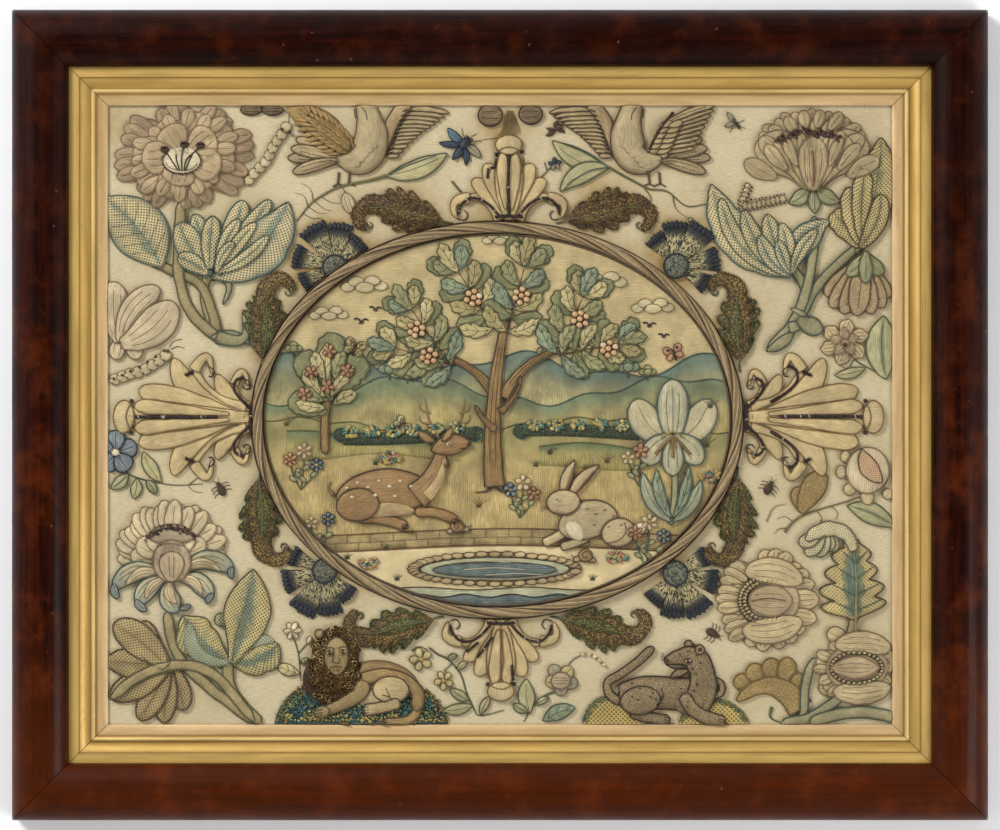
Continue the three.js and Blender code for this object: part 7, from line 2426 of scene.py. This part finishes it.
def top_sprigs():
    work = Work("sprigs_top")
    for row in (("leaf", -64, 134.4, -29.5, 147.2, -0.07, 5.6, 1.6),
                ("leaf", 61, 139, 29.5, 154.5, 0.1, 5.4, 1.6),
                ("leaf", 61.5, 139, 33.5, 125.8, -0.12, 5.6, 1.6)):
        lobe(work, row, "pale_leaf", veins=(0.12,), radius=0.36)
    line(work, [(-62, 135), (-55, 139), (-46, 142.5), (-36, 145.6)], "line_teal", 0.5, taper=True)
    line(work, [(61, 139), (52, 146), (42, 151), (33, 153.6)], "line_teal", 0.55, taper=True)
    line(work, [(61, 139), (52, 137.6), (43, 133), (36, 127)], "line_teal", 0.55, taper=True)
    line(work, [(-64, 134.4), (-71, 132.4), (-80, 130.6), (-89.4, 128.6), (-98, 124.6), (-106.4, 118.8),
                (-114.5, 108.9)],
         "line_olive", 1.0, taper=True)
    for foot, bend, tip in (((-105, 120), (-106.5, 127), (-112, 130.5)),
                            ((-108, 117), (-110, 123), (-115.5, 125)),
                            ((-101, 123), (-95, 119.5), (-90, 119)),
                            ((-104.5, 120.5), (-99, 116), (-94.5, 114.6)),
                            ((-107.5, 117), (-102, 113.5), (-97, 113.5)),
                            ((-111, 113.5), (-105.5, 110.5), (-100.5, 111))):
        line(work, [foot, bend, tip], "line_brown", 0.28, taper=True)
    line(work, [(-89, 128.4), (-86.5, 124.6)], "line_brown", 0.3)
    lobe(work, ("pod", -87.4, 124.8, -83.4, 113.6, 0, 3.7, 2.2), "petal_pale", radius=0.3,
         veins=(-0.3, 0.3))
    line(work, [(61, 139.5), (67.5, 135.6), (76, 131), (84.2, 127), (94, 125.7), (104.9, 117.5),
                (116.7, 118.8)], "line_olive", 0.8,
         taper=True)
    line(work, [(80, 129), (85, 122), (83, 117)], "line_olive", 0.45, taper=True)
    line(work, [(97, 123.5), (99, 116), (105, 111)], "line_olive", 0.4, taper=True)
    for x, y, turn in ((83, 116, -100), (105.5, 110.5, -40), (117, 119, 10)):
        leaflet(work, x, y, turn, 5.5, 1.8, "pale_leaf", 1.3, radius=0.24, veins=())
    bee(work)
    beads(work, [(31.4, 160.8), (33.5, 162)], [2.4, 1.4, 1.3], "seed_dark", [0.4, 0.4])
    for x, y, half in ((25.5, 157, 1.5), (36.5, 158.5, 1.4), (32.5, 165.5, 1.7), (26, 161.5, 1.2)):
        lobe(work, ("leaf", 31.4, 160.8, x, y, 0.1, half, 1.2), "brown_silk")
    line(work, [(17.4, 127.7), (23, 133.5), (28.6, 139.4)], "line_green", 0.7, taper=True)
    for turn in range(20, 380, 72):
        leaflet(work, 31, 141, turn, 4.2, 1.3, "navy_silk" if turn < 200 else "grey_wing", 1.2, radius=0.22,
                veins=())
    line(work, [(26.5, 137.6), (25, 142)], "line_green", 0.35)
    lobes(work, [("pod", -12.5, 168.5, 1.5, 168.5, 0, 6.6, 2.2), ("pod", 10.5, 169, 24, 169, 0, 5.8, 2.2)],
          "brown_bunch")
    for i in range(9):
        x = 1.5 + 1.2 * i
        foot, tip = (5.5 + (x - 6) * 0.3, 171), (4.5 + (x - 6) * 1.25, 154.5 + abs(i - 3) * 0.8)
        line(work, [foot, (x, 161), tip], "line_gold", 0.42, taper=True)
    for i in (1, 3, 5):
        line(work, [(5, 157), (-2 - 3.2 * i, 155.5 - 0.4 * i)], "line_gold", 0.16, taper=True)
    lobes(work, [("pod", -146, 171.5, -133.5, 171.5, 0, 3.2, 1.8),
                 ("pod", -134, 171.5, -121.5, 171.5, 0, 3.2, 1.8)], "brown_bunch")
    lobe(work, ("leaf", 132, 164, 127.5, 170.5, 0, 1.5, 1.3), "grey_wing", radius=0.22)
    lobe(work, ("leaf", 132, 164, 126, 162, 0, 1.4, 1.3), "grey_wing", radius=0.22)
    beads(work, [(131.6, 165.5), (133, 163.6), (134.2, 161.6)], [1.2, 1.0, 1.0], "seed_dark")
    for tip in ((137.5, 166), (138, 161), (129, 159)):
        line(work, [(133, 163.6), tip], "line_dark", 0.17)
    work.build(slot="green_thread", padded=0.6)


def crawler(work, points, half, finish):
    """A caterpillar as a run of overlapping rounded rings."""
    path, _ = spaced(rounded(points), half * 1.25)
    for (x0, y0), (x1, y1) in zip(path, path[1:]):
        wx, wy = (x1 - x0) * 0.25, (y1 - y0) * 0.25
        lobe(work, ("pod", x0 - wx, y0 - wy, x1 + wx, y1 + wy, 0, half, 1.6), finish, radius=0.2, veins=())
        beads(work, [(x0 - 1.4 * wy, y0 + 1.4 * wx), (x0 + 1.4 * wy, y0 - 1.4 * wx)], [0.4, 0.4, 0.4],
              "seed_dark", coarse=True)


def left_motifs():
    work = Work("sprigs_left")
    crawler(work, [(-142.3, 130.4), (-137, 137), (-131, 143), (-127.5, 151), (-122.5, 158), (-119, 163.6)],
            3.3, "speckled")
    beads(work, [(-122.4, 160.4), (-118.2, 158.8)], [1.1, 1.1, 1.2], "seed_dark")
    line(work, [(-119, 164), (-118.6, 169)], "line_brown", 0.2)
    crawler(work, [(-218.3, 19.2), (-210, 22.4), (-201, 25), (-193, 29.4), (-186.1, 35)], 3.5, "speckled")
    for share in range(7):
        x, y = -217 + 4.7 * share, 20.4 + 1.9 * share + 0.12 * share * share
        beads(work, [(x, y)], [0.8, 0.8, 0.7], "seed_dark")
    beads(work, [(-186.6, 36)], [1.1, 1.1, 1.0], "seed_dark")
    line(work, [(-185, 37), (-181, 38.6), (-177.5, 37.4)], "line_dark", 0.2)
    line(work, [(-186, 38), (-183.6, 41.4), (-179, 42.6)], "line_dark", 0.2)
    beetle(work, -156.8, -41.8, 118)
    line(work, [(-213, -29), (-207, -34), (-197.6, -36.9), (-183, -39.4), (-167.2, -38.7)], "line_green",
         0.55, taper=True)
    line(work, [(-175, -39.2), (-170, -35.6), (-165.5, -36)], "line_green", 0.3, taper=True)
    line(work, [(-176, -39), (-172, -43), (-167, -43.4)], "line_green", 0.3, taper=True)
    leaflet(work, -190.3, -37.5, 121, 20, 4.0, "pale_leaf", 1.7)
    leaflet(work, -204, -35.5, -100, 12, 3.4, "pale_leaf", 1.6)
    leaflet(work, -209, -33, -140, 13, 3.6, "leaf_silk", 1.6)
    leaflet(work, -199, -36.6, -55, 10, 2.8, "leaf_silk", 1.6)
    lobe(work, ("horn", -166, 78, -156, 62, 0.5, 3.0, 2.0), "stem_teal")
    for x, y, turn in ((-205, 96, 30), (-199, 101, 60), (-196, 93, 5)):
        line(work, [(x, y), (x + 6 * math.cos(math.radians(turn)), y + 6 * math.sin(math.radians(turn)))],
             "line_teal", 0.35)
    for turn in range(60, 430, 60):
        leaflet(work, -116.6, -121.2, turn, 5.6, 1.8, "white_silk", 1.3, outline="line_taupe", radius=0.24,
                veins=())
    beads(work, [(-116.6, -121.2)], [1.0, 1.0, 0.8], "bead_gold")
    line(work, [(-116.4, -124), (-113.4, -134), (-112, -149.5)], "line_green", 0.5, taper=True)
    line(work, [(-113.4, -134), (-108.5, -128.6)], "line_green", 0.35)
    leaflet(work, -108.5, -128.6, 60, 5, 1.7, "white_silk", 1.2, outline="line_taupe", radius=0.22)
    leaflet(work, -112.6, -145, 160, 14, 3.6, "foliage_pale", 1.7)
    leaflet(work, -112.2, -140, 30, 6, 1.6, "foliage_pale", 1.4)
    work.build(slot="green_thread", padded=0.6)


def right_motifs():
    work = Work("sprigs_right")
    crawler(work, [(139.4, 130), (137.5, 123), (135.5, 118.6), (141, 117.6), (149, 119.4), (160, 121.8)],
            2.1, "speckled")
    seeds(work, [(137, 129), (133.6, 118), (139, 114.8), (149, 116.6), (160, 119)], 0.5, 2.1, jitter=0.2)
    seeds(work, [(142, 128), (140, 121.4), (149, 122.4), (160, 124.4)], 0.5, 2.1, jitter=0.2)
    beetle(work, 151.1, -41.2, 62)
    beetle(work, 119.5, -122.6, -28)
    line(work, [(160, -66), (164, -61), (169.4, -57), (180, -53), (192, -49.5), (202, -46)], "line_olive",
         0.7, taper=True)
    for foot, bend, tip in (((165, -60), (160, -57), (156, -58.6)), ((162, -63.6), (157, -64), (154, -67)),
                            ((178, -53.6), (181, -58), (178.6, -62)),
                            ((186, -51), (190, -55), (188.6, -59))):
        line(work, [foot, bend, tip], "line_olive", 0.32, taper=True)
    line(work, [(195, 36), (201, 30), (208, 26), (218, 20)], "line_green", 0.6, taper=True)
    leaflet(work, 205.5, 26.5, 193, 18, 3.2, "pale_leaf", 1.6)
    line(work, [(199, 31), (195.5, 26.4), (190, 28)], "line_green", 0.3, taper=True)
    line(work, [(150, -60), (154, -52), (161, -50)], "line_olive", 0.3, taper=True)
    work.build(slot="teal_thread", padded=0.6)


def lower_motifs():
    work = Work("sprigs_low")
    line(work, [(-39.8, -130.8), (-35, -134.5), (-28.8, -137.6), (-22, -146), (-18.8, -155.9), (-15, -164),
                (-11.4, -169), (2.3, -166)],
         "line_green", 0.7, taper=True)
    line(work, [(-41, -132), (-45.5, -130.2), (-50, -132.6)], "line_green", 0.4)
    for x, y, size, petals in ((-44.4, -137.4, 6.8, 5), (-31.6, -149.2, 5.8, 5)):
        little_flower(work, x, y, size, petals, "petal_yellow", 80 + x)
    line(work, [(-31.6, -144), (-27, -139.6)], "line_green", 0.4)
    leaflet(work, -15.4, -163, 190, 17, 3.4, "pale_leaf", 1.6)
    leaflet(work, -17, -160, 150, 13, 3.0, "leaf_silk", 1.6)
    leaflet(work, -11, -168.6, 62, 12, 2.6, "pale_leaf", 1.5)
    leaflet(work, -30, -137.4, 20, 7, 1.9, "leaf_silk", 1.4)
    leaflet(work, -24, -143.6, 40, 8, 2.2, "pale_leaf", 1.4)
    line(work, [(33, -154.6), (24, -158.6), (18, -165), (13.5, -172.3)], "line_green", 0.7, taper=True)
    line(work, [(36.6, -143.4), (41, -137.6), (48.2, -134)], "line_olive", 0.35)
    seeds(work, [(46.6, -134.4), (52, -135), (58.5, -140.5)], 1.25, 2.9, "bead_cream", 0.1)
    for x, y, finish in ((28.4, -140.5, "grey_wing"), (43.9, -151.7, "grey_wing"),
                         (40.5, -141.5, "petal_yellow"), (25.6, -150.5, "petal_yellow"),
                         (34.5, -158, "grey_wing")):
        lobe(work, ("petal", 34, -149.1, x, y, 0, 3.9, 1.6), finish, outline="line_taupe", radius=0.28,
             veins=(0.0,))
    lobe(work, ("pod", 28.6, -149.1, 39.6, -149.1, 0, 5.0, 2.6), "heart_pink")
    leaflet(work, 17, -168, 96, 20, 5.0, "pale_leaf", 1.8)
    leaflet(work, 24, -172, 22, 20, 4.6, "foliage_teal", 1.8)
    leaflet(work, 16, -167, 150, 10, 2.6, "leaf_silk", 1.5)
    leaflet(work, 20, -163, 28, 9, 2.2, "leaf_silk", 1.5)
    line(work, [(-60, -128), (-56, -122), (-50, -124)], "line_olive", 0.3, taper=True)
    work.build(slot="green_thread", padded=0.6)


# The couched cord round the oval

CORD_STRANDS = [("cord_tan", 0.8), ("cord_brown", 0.75), ("cord_silver", 0.55), ("cord_brown", 0.8),
                ("cord_tan", 0.75), ("cord_dark", 0.6), ("cord_tan", 0.8), ("cord_brown", 0.75),
                ("cord_silver", 0.5), ("cord_tan", 0.8), ("cord_brown", 0.75), ("cord_dark", 0.6)]
CORD_TWIST = 74.0
CORD_SIDES = 5
# The middle of the strands over the work's foot, and the plain core inside them: half-width, rise, middle
CORD_MIDDLE = 2.45
CORE_HALF, CORE_RISE, CORE_MIDDLE = 2.3, 1.8, 1.9
# Dark lines at the cord's foot: inside the oval or not, distance from the cord's middle, radius
CORD_LINES = [(True, -4.0, 0.75), (False, 3.7, 0.4)]


def oval_point(angle, outwards=0.0):
    return np.column_stack([OVAL_X + (OVAL_RX + outwards) * np.cos(angle),
                            OVAL_Y + (OVAL_RY + outwards) * np.sin(angle)])


def oval_cord():
    """Twisted strands round a plain core, with a dark line at the foot on either side."""
    work = Work("oval_cord_strands")
    fine = np.linspace(0, 2 * np.pi, 2000, endpoint=False)
    path, length = spaced(oval_point(fine), LINE_STEP, closed=True)
    count = len(path)
    way = np.roll(path, -1, axis=0) - np.roll(path, 1, axis=0)
    way = way / np.hypot(way[:, 0], way[:, 1])[:, None]
    across = np.column_stack([-way[:, 1], way[:, 0]])
    turns = round(length / CORD_TWIST)
    run = np.arange(count) * (length / count)
    spin = 2 * np.pi * np.arange(CORD_SIDES) / CORD_SIDES
    for k, (finish, radius) in enumerate(CORD_STRANDS):
        phase = 2 * np.pi * (turns * np.arange(count) / count + k / len(CORD_STRANDS))
        wander = 0.16 * wavering(path[:, 0], path[:, 1], 0.08, 7.0 * k)
        off = (CORD_HALF - 1.0) * np.cos(phase) + wander
        up = CORD_MIDDLE + (CORD_RISE / 2 - 0.95) * np.sin(phase)
        middle = path + across * off[:, None]
        x = middle[:, None, 0] + across[:, None, 0] * radius * np.cos(spin)
        y = middle[:, None, 1] + across[:, None, 1] * radius * np.cos(spin)
        z = np.maximum(0.05, up[:, None] + radius * np.sin(spin)) + WORK_BASE
        rings = np.stack([x, y, z], axis=-1).reshape(-1, 3)
        uv = np.column_stack([np.repeat(run, CORD_SIDES), np.tile(spin, count) * radius])
        work.add(rings, [skin(count, CORD_SIDES, True)], finish, uv)
    x = path[:, None, 0] + across[:, None, 0] * CORE_HALF * np.cos(spin)
    y = path[:, None, 1] + across[:, None, 1] * CORE_HALF * np.cos(spin)
    z = np.broadcast_to(CORE_MIDDLE + CORE_RISE * np.sin(spin) + WORK_BASE, x.shape)
    rings = np.stack([x, y, z], axis=-1).reshape(-1, 3)
    work.add(rings, [skin(count, CORD_SIDES, True)], "cord_brown", np.zeros((len(rings), 2)))
    work.build(slot="metal_thread_cord", stands_for=("oval_cord",))
    edges = Work("oval_cord_edges")
    angles = np.linspace(0, 2 * np.pi, 260, endpoint=False)
    for inside, outwards, radius in CORD_LINES:
        edges.inside = inside
        line(edges, oval_point(angles, outwards), "line_brown", radius, closed=True, smooth=False)
    edges.build(slot="metal_thread_cord")


# The satin

# Halos and old marks on the satin: x, y, reach, strength
STAINS = [
    (-95, 88, 30, 0.75), (101, 92, 28, 0.7), (-100, -92, 26, 0.35), (100, -92, 26, 0.3), (3, 158, 22, 0.6),
    (-50, 120, 26, 0.5), (55, 124, 30, 0.5), (-128, 50, 22, 0.6), (132, 50, 24, 0.5), (0, 118, 26, 0.4),
    (-150, 10, 22, 0.25), (165, 8, 30, 0.3), (-132, -60, 16, 0.2), (132, -60, 18, 0.25),
    (-92, -140, 20, 0.3), (-215, 166, 22, 0.6), (206, 166, 20, 0.3), (-40, -160, 22, 0.15),
    (60, 150, 20, 0.3), (-60, 150, 24, 0.3), (90, 160, 26, 0.3), (-140, 110, 18, 0.25), (-215, 60, 20, 0.2),
    (150, 62, 20, 0.3), (120, 125, 20, 0.3), (190, 110, 90, 0.22), (30, 180, 70, 0.2),
    (-200, 185, 50, 0.25), (190, -90, 60, 0.15),
]
# It lies flat in this strip inside the sight edge, and as much as this under the work's foot
STEADY_INSET = 3.0
SATIN_SINK = 0.12
# How dark it is by the cord, out to a distance, and by the work, up to a height
CORD_HALO, CORD_STAIN = 14, 0.35
WORK_HALO, WORK_STAIN = 1.5, 0.22


def satin():
    work = Work("satin_sheet")
    wide, tall = FRAME_WIDTH / 2 - REBATE_AT - GAP, FRAME_HEIGHT / 2 - REBATE_AT - GAP
    nx, ny = int(2 * wide / SATIN_STEP) + 1, int(2 * tall / SATIN_STEP) + 1
    xs, ys = np.linspace(-wide, wide, nx), np.linspace(-tall, tall, ny)
    x, y = np.meshgrid(xs, ys)
    away = np.minimum(SIGHT_X - np.abs(x), SIGHT_Y - np.abs(y))
    calm = np.clip(away / STEADY_INSET, 0, 1)
    ripple = wavering(x, y, 0.03, 3.0) * 0.2 + wavering(x * 0.3, y, 0.09, 5.0) * 0.14
    z = GROUND_TOP - SATIN_SINK + calm * (ripple - 0.1)
    top = np.stack([x, y, z], axis=-1).reshape(-1, 3)
    under = np.stack([x, y, np.full_like(x, GROUND_BACK)], axis=-1).reshape(-1, 3)
    i, j = np.meshgrid(np.arange(ny - 1), np.arange(nx - 1), indexing="ij")
    a = (i * nx + j).ravel()
    quads = np.column_stack([a, a + 1, a + nx + 1, a + nx])
    total = nx * ny
    rim = np.concatenate([np.arange(nx), nx - 1 + nx * np.arange(1, ny), total - 2 - np.arange(nx - 1),
                          nx * np.arange(ny - 2, 0, -1)])
    ahead = np.roll(rim, -1)
    walls = np.column_stack([rim + total, ahead + total, ahead, rim])
    flat = np.column_stack([x.ravel(), y.ravel()])
    work.add(np.vstack([top, under]), [quads, quads[:, ::-1] + total, walls], "ground_satin",
             np.vstack([flat, flat]))
    piece = work.build(slot="satin", stands_for=("satin_ground",))
    stain = np.zeros(total)
    for sx, sy, reach, strength in STAINS:
        away = (flat[:, 0] - sx) ** 2 + (flat[:, 1] - sy) ** 2
        stain = np.maximum(stain, strength * np.exp(-away / reach**2))
    by_cord = np.clip(1 - np.abs(from_cord(flat[:, 0], flat[:, 1])) / CORD_HALO, 0, 1) * CORD_STAIN
    by_work = np.clip(RELIEF.soft(flat[:, 0], flat[:, 1], 2.2), 0, WORK_HALO) / WORK_HALO * WORK_STAIN
    stain = np.clip(stain + by_cord + by_work, 0, 1)
    marks = piece.data.attributes.new("stain", "FLOAT", "POINT")
    marks.data.foreach_set("value", np.concatenate([stain, stain]).astype(np.float32))


# The frame and its gilt slip

WOOD_STEPS = 22
LENGTH_STEP = 5.0
# Where the grain starts, and how far it is shifted for each degree of turn, so that no two lengths are alike
GRAIN_START, GRAIN_SHIFT = 900, 7.3
WOOD_SWAY, GILT_SWAY = 0.12, 0.1


def wood_profile():
    """Distances in from the outer edge and heights, from the back of the outer wall round over the crown."""
    def bulge(share):
        return (1 - abs(share) ** 2.2) ** 0.6

    points = [(REBATE_AT, 0), (REBATE_AT, LIP_UNDER), (WOOD_FACE, LIP_UNDER), (WOOD_FACE, LIP_TOP)]
    for i in range(1, WOOD_STEPS):
        share = math.cos(math.pi / 2 * i / WOOD_STEPS)
        points.append((CROWN_AT + share * (WOOD_FACE - CROWN_AT),
                       LIP_TOP + bulge(share) * (CROWN - LIP_TOP)))
    for i in range(WOOD_STEPS):
        share = math.sin(math.pi / 2 * i / WOOD_STEPS)
        points.append((CROWN_AT * (1 - share), OUTER_WALL + bulge(share) * (CROWN - OUTER_WALL)))
    return points + [(0, OUTER_WALL), (0, 6), (0, 0.8), (0.8, 0)]


def slip_profile():
    outer, tongue, fillet, inner = REBATE_AT + GAP, LIP_UNDER - GAP, WOOD_FACE + GAP, WOOD_FACE + SLIP_FACE
    bead = [(45.5 + 1.3 * math.cos(a), 11.3 + 1.15 * math.sin(a))
            for a in np.linspace(0.1, math.pi - 0.1, 7)]
    cove = [(44.0, 11.35), (42.5, 11.55), (41.2, 11.95), (40.1, 12.5), (39.2, 13.1), (38.7, 13.6)]
    flat = [(38.3, 13.8), (37.2, 13.75), (36.9, 13.45), (36.6, 13.8), (34.5, 13.9), (fillet, 13.8)]
    face = [(inner, SLIP_BACK), (inner, 10.2), (inner - 0.4, 10.45), (50.0, 10.9), (47.2, 11.35)]
    return [(outer, SLIP_BACK), *face, *bead, *cove, *flat, (fillet, tongue), (outer, tongue)]


def moulding(name, profile, length, turn, x, y, finish, slot, node, sway):
    """One mitred length, its outer edge on y = 0 before it is turned and put in place. It sways a little."""
    work = Work(name)
    stations = int(length / LENGTH_STEP)
    size = len(profile)
    share = np.linspace(-1, 1, stations)
    inwards = np.array([p[0] for p in profile])
    heights = np.array([p[1] for p in profile])
    ends = length / 2 - inwards - GAP * math.sqrt(0.5)
    along = share[:, None] * ends
    free = sway * (heights > SLIP_BACK + 1)
    lift = wavering(along, inwards + 0 * along, 0.012, turn) * free
    inner = inwards + wavering(along, heights + 0 * along, 0.02, turn + 3) * free * 0.6
    c, s = math.cos(math.radians(turn)), math.sin(math.radians(turn))
    px, py = x + along * c - inner * s, y + along * s + inner * c
    rings = np.stack([px, py, heights + lift], axis=-1).reshape(-1, 3)
    grain = along + GRAIN_START + GRAIN_SHIFT * turn
    uv = np.column_stack([grain.ravel(), np.broadcast_to(inwards, along.shape).ravel()])
    far_end = range((stations - 1) * size, stations * size)
    faces = [skin(stations, size)[:, ::-1], [range(size)], [far_end[::-1]]]
    work.add(rings, faces, finish, uv, tone=turn / 360)
    piece = work.build(slot=slot, stands_for=(node,))
    split = piece.modifiers.new("corners", "EDGE_SPLIT")
    split.split_angle = math.radians(38)


def frames():
    half_width, half_height = FRAME_WIDTH / 2, FRAME_HEIGHT / 2
    sides = [("bottom", FRAME_WIDTH, 0, 0, -half_height), ("right", FRAME_HEIGHT, 90, half_width, 0),
             ("top", FRAME_WIDTH, 180, 0, half_height), ("left", FRAME_HEIGHT, 270, -half_width, 0)]
    for side, *place in sides:
        moulding(f"wood_{side}", wood_profile(), *place, "polished_wood", "dark_wood", f"frame_{side}",
                 WOOD_SWAY)
        moulding(f"gilt_{side}", slip_profile(), *place, "gold_leaf", "gilt", f"slip_{side}", GILT_SWAY)
    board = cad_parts["backboard"]
    board.data.materials.clear()
    board.data.materials.append(material("old_board"))


# The room: floor, camera and lights

# In metres, but for the lens. The view is as wide as the photo, at the height of the satin's work
CAMERA_HEIGHT = 1.62
VIEW_WIDTH, VIEW_AT = 0.5612, 0.012
LENS = 100.0
FLOOR_REACH, FLOOR_STEPS, FLOOR_HEIGHT = 3.0, 12, -0.0006
# name, size, power, place
LAMPS = [("key", (0.8, 0.6), 42.0, (-1.35, 1.2, 1.35)), ("fill", (1.2, 1.0), 18.0, (1.35, -0.7, 1.3))]
# The room's own light falls from its sides to overhead: heights of the way up, then how bright it is there
SKY_HEIGHTS, SKY_LIGHT = (0.35, 0.97), (0.85, 0.06)
SKY_TINT = (1.0, 0.98, 0.96, 1)


def lamp(name, size, power, place):
    """An area lamp that faces the middle of the picture."""
    data = bpy.data.lights.new(name, "AREA")
    data.shape = "RECTANGLE"
    data.size, data.size_y = size
    data.energy = power
    made = bpy.data.objects.new(name, data)
    made.location = place
    made.rotation_euler = (-Vector(place)).to_track_quat("-Z", "Y").to_euler()
    bpy.context.scene.collection.objects.link(made)


def floor_sheet():
    ground = bpy.data.meshes.new("floor")
    marks = [FLOOR_REACH * (2 * i / FLOOR_STEPS - 1) for i in range(FLOOR_STEPS + 1)]
    row = FLOOR_STEPS + 1
    corners = [j * row + i for j in range(FLOOR_STEPS) for i in range(FLOOR_STEPS)]
    places = [(x, y, FLOOR_HEIGHT) for y in marks for x in marks]
    ground.from_pydata(places, [], [(a, a + 1, a + row + 1, a + row) for a in corners])
    ground.materials.append(material("floor_paper"))
    floor = bpy.data.objects.new("floor", ground)
    bpy.context.scene.collection.objects.link(floor)


def camera_overhead():
    data = bpy.data.cameras.new("camera")
    data.lens = LENS
    data.sensor_width = LENS * VIEW_WIDTH / (CAMERA_HEIGHT - VIEW_AT)
    camera = bpy.data.objects.new("camera", data)
    camera.location = (0, 0, CAMERA_HEIGHT)
    bpy.context.scene.collection.objects.link(camera)
    bpy.context.scene.camera = camera


def room_light():
    world = bpy.data.worlds.new("room")
    world.use_nodes = True
    nodes, links = world.node_tree.nodes, world.node_tree.links
    sky = nodes["Background"]
    upward = nodes.new("ShaderNodeSeparateXYZ")
    dusk = nodes.new("ShaderNodeMapRange")
    links.new(nodes.new("ShaderNodeTexCoord").outputs["Generated"], upward.inputs[0])
    links.new(upward.outputs[2], dusk.inputs[0])
    for socket, value in enumerate((*SKY_HEIGHTS, *SKY_LIGHT), 1):
        dusk.inputs[socket].default_value = value
    sky.inputs[0].default_value = SKY_TINT
    links.new(dusk.outputs[0], sky.inputs[1])
    bpy.context.scene.world = world
    for row in LAMPS:
        lamp(*row)


def room():
    floor_sheet()
    camera_overhead()
    room_light()
    bpy.context.scene.view_settings.view_transform = "Standard"


room()
# Each motif lies over those before it
for make in (top_sprigs, left_motifs, right_motifs, lower_motifs, garden_ground, bush, tree, iris, hare,
             stag, garden_flowers, sprig_top_left, sprig_top_right, sprig_bottom_left, leaves_and_stems,
             leopard, lion, star_flower, blue_flower, rose_corner, rose_right, daisy, pomegranate,
             bell_flower, tulip, peony, rose_top_left):
    make()
for place in BIRD_PLACES:
    bird(place)
for place in PALMETTE_PLACES:
    palmette(place)
for index, place in enumerate(CARNATION_PLACES):
    carnation(index, place)
for index, place in enumerate(ACANTHUS_PLACES):
    acanthus(index, place)
oval_cord()
satin()
frames()
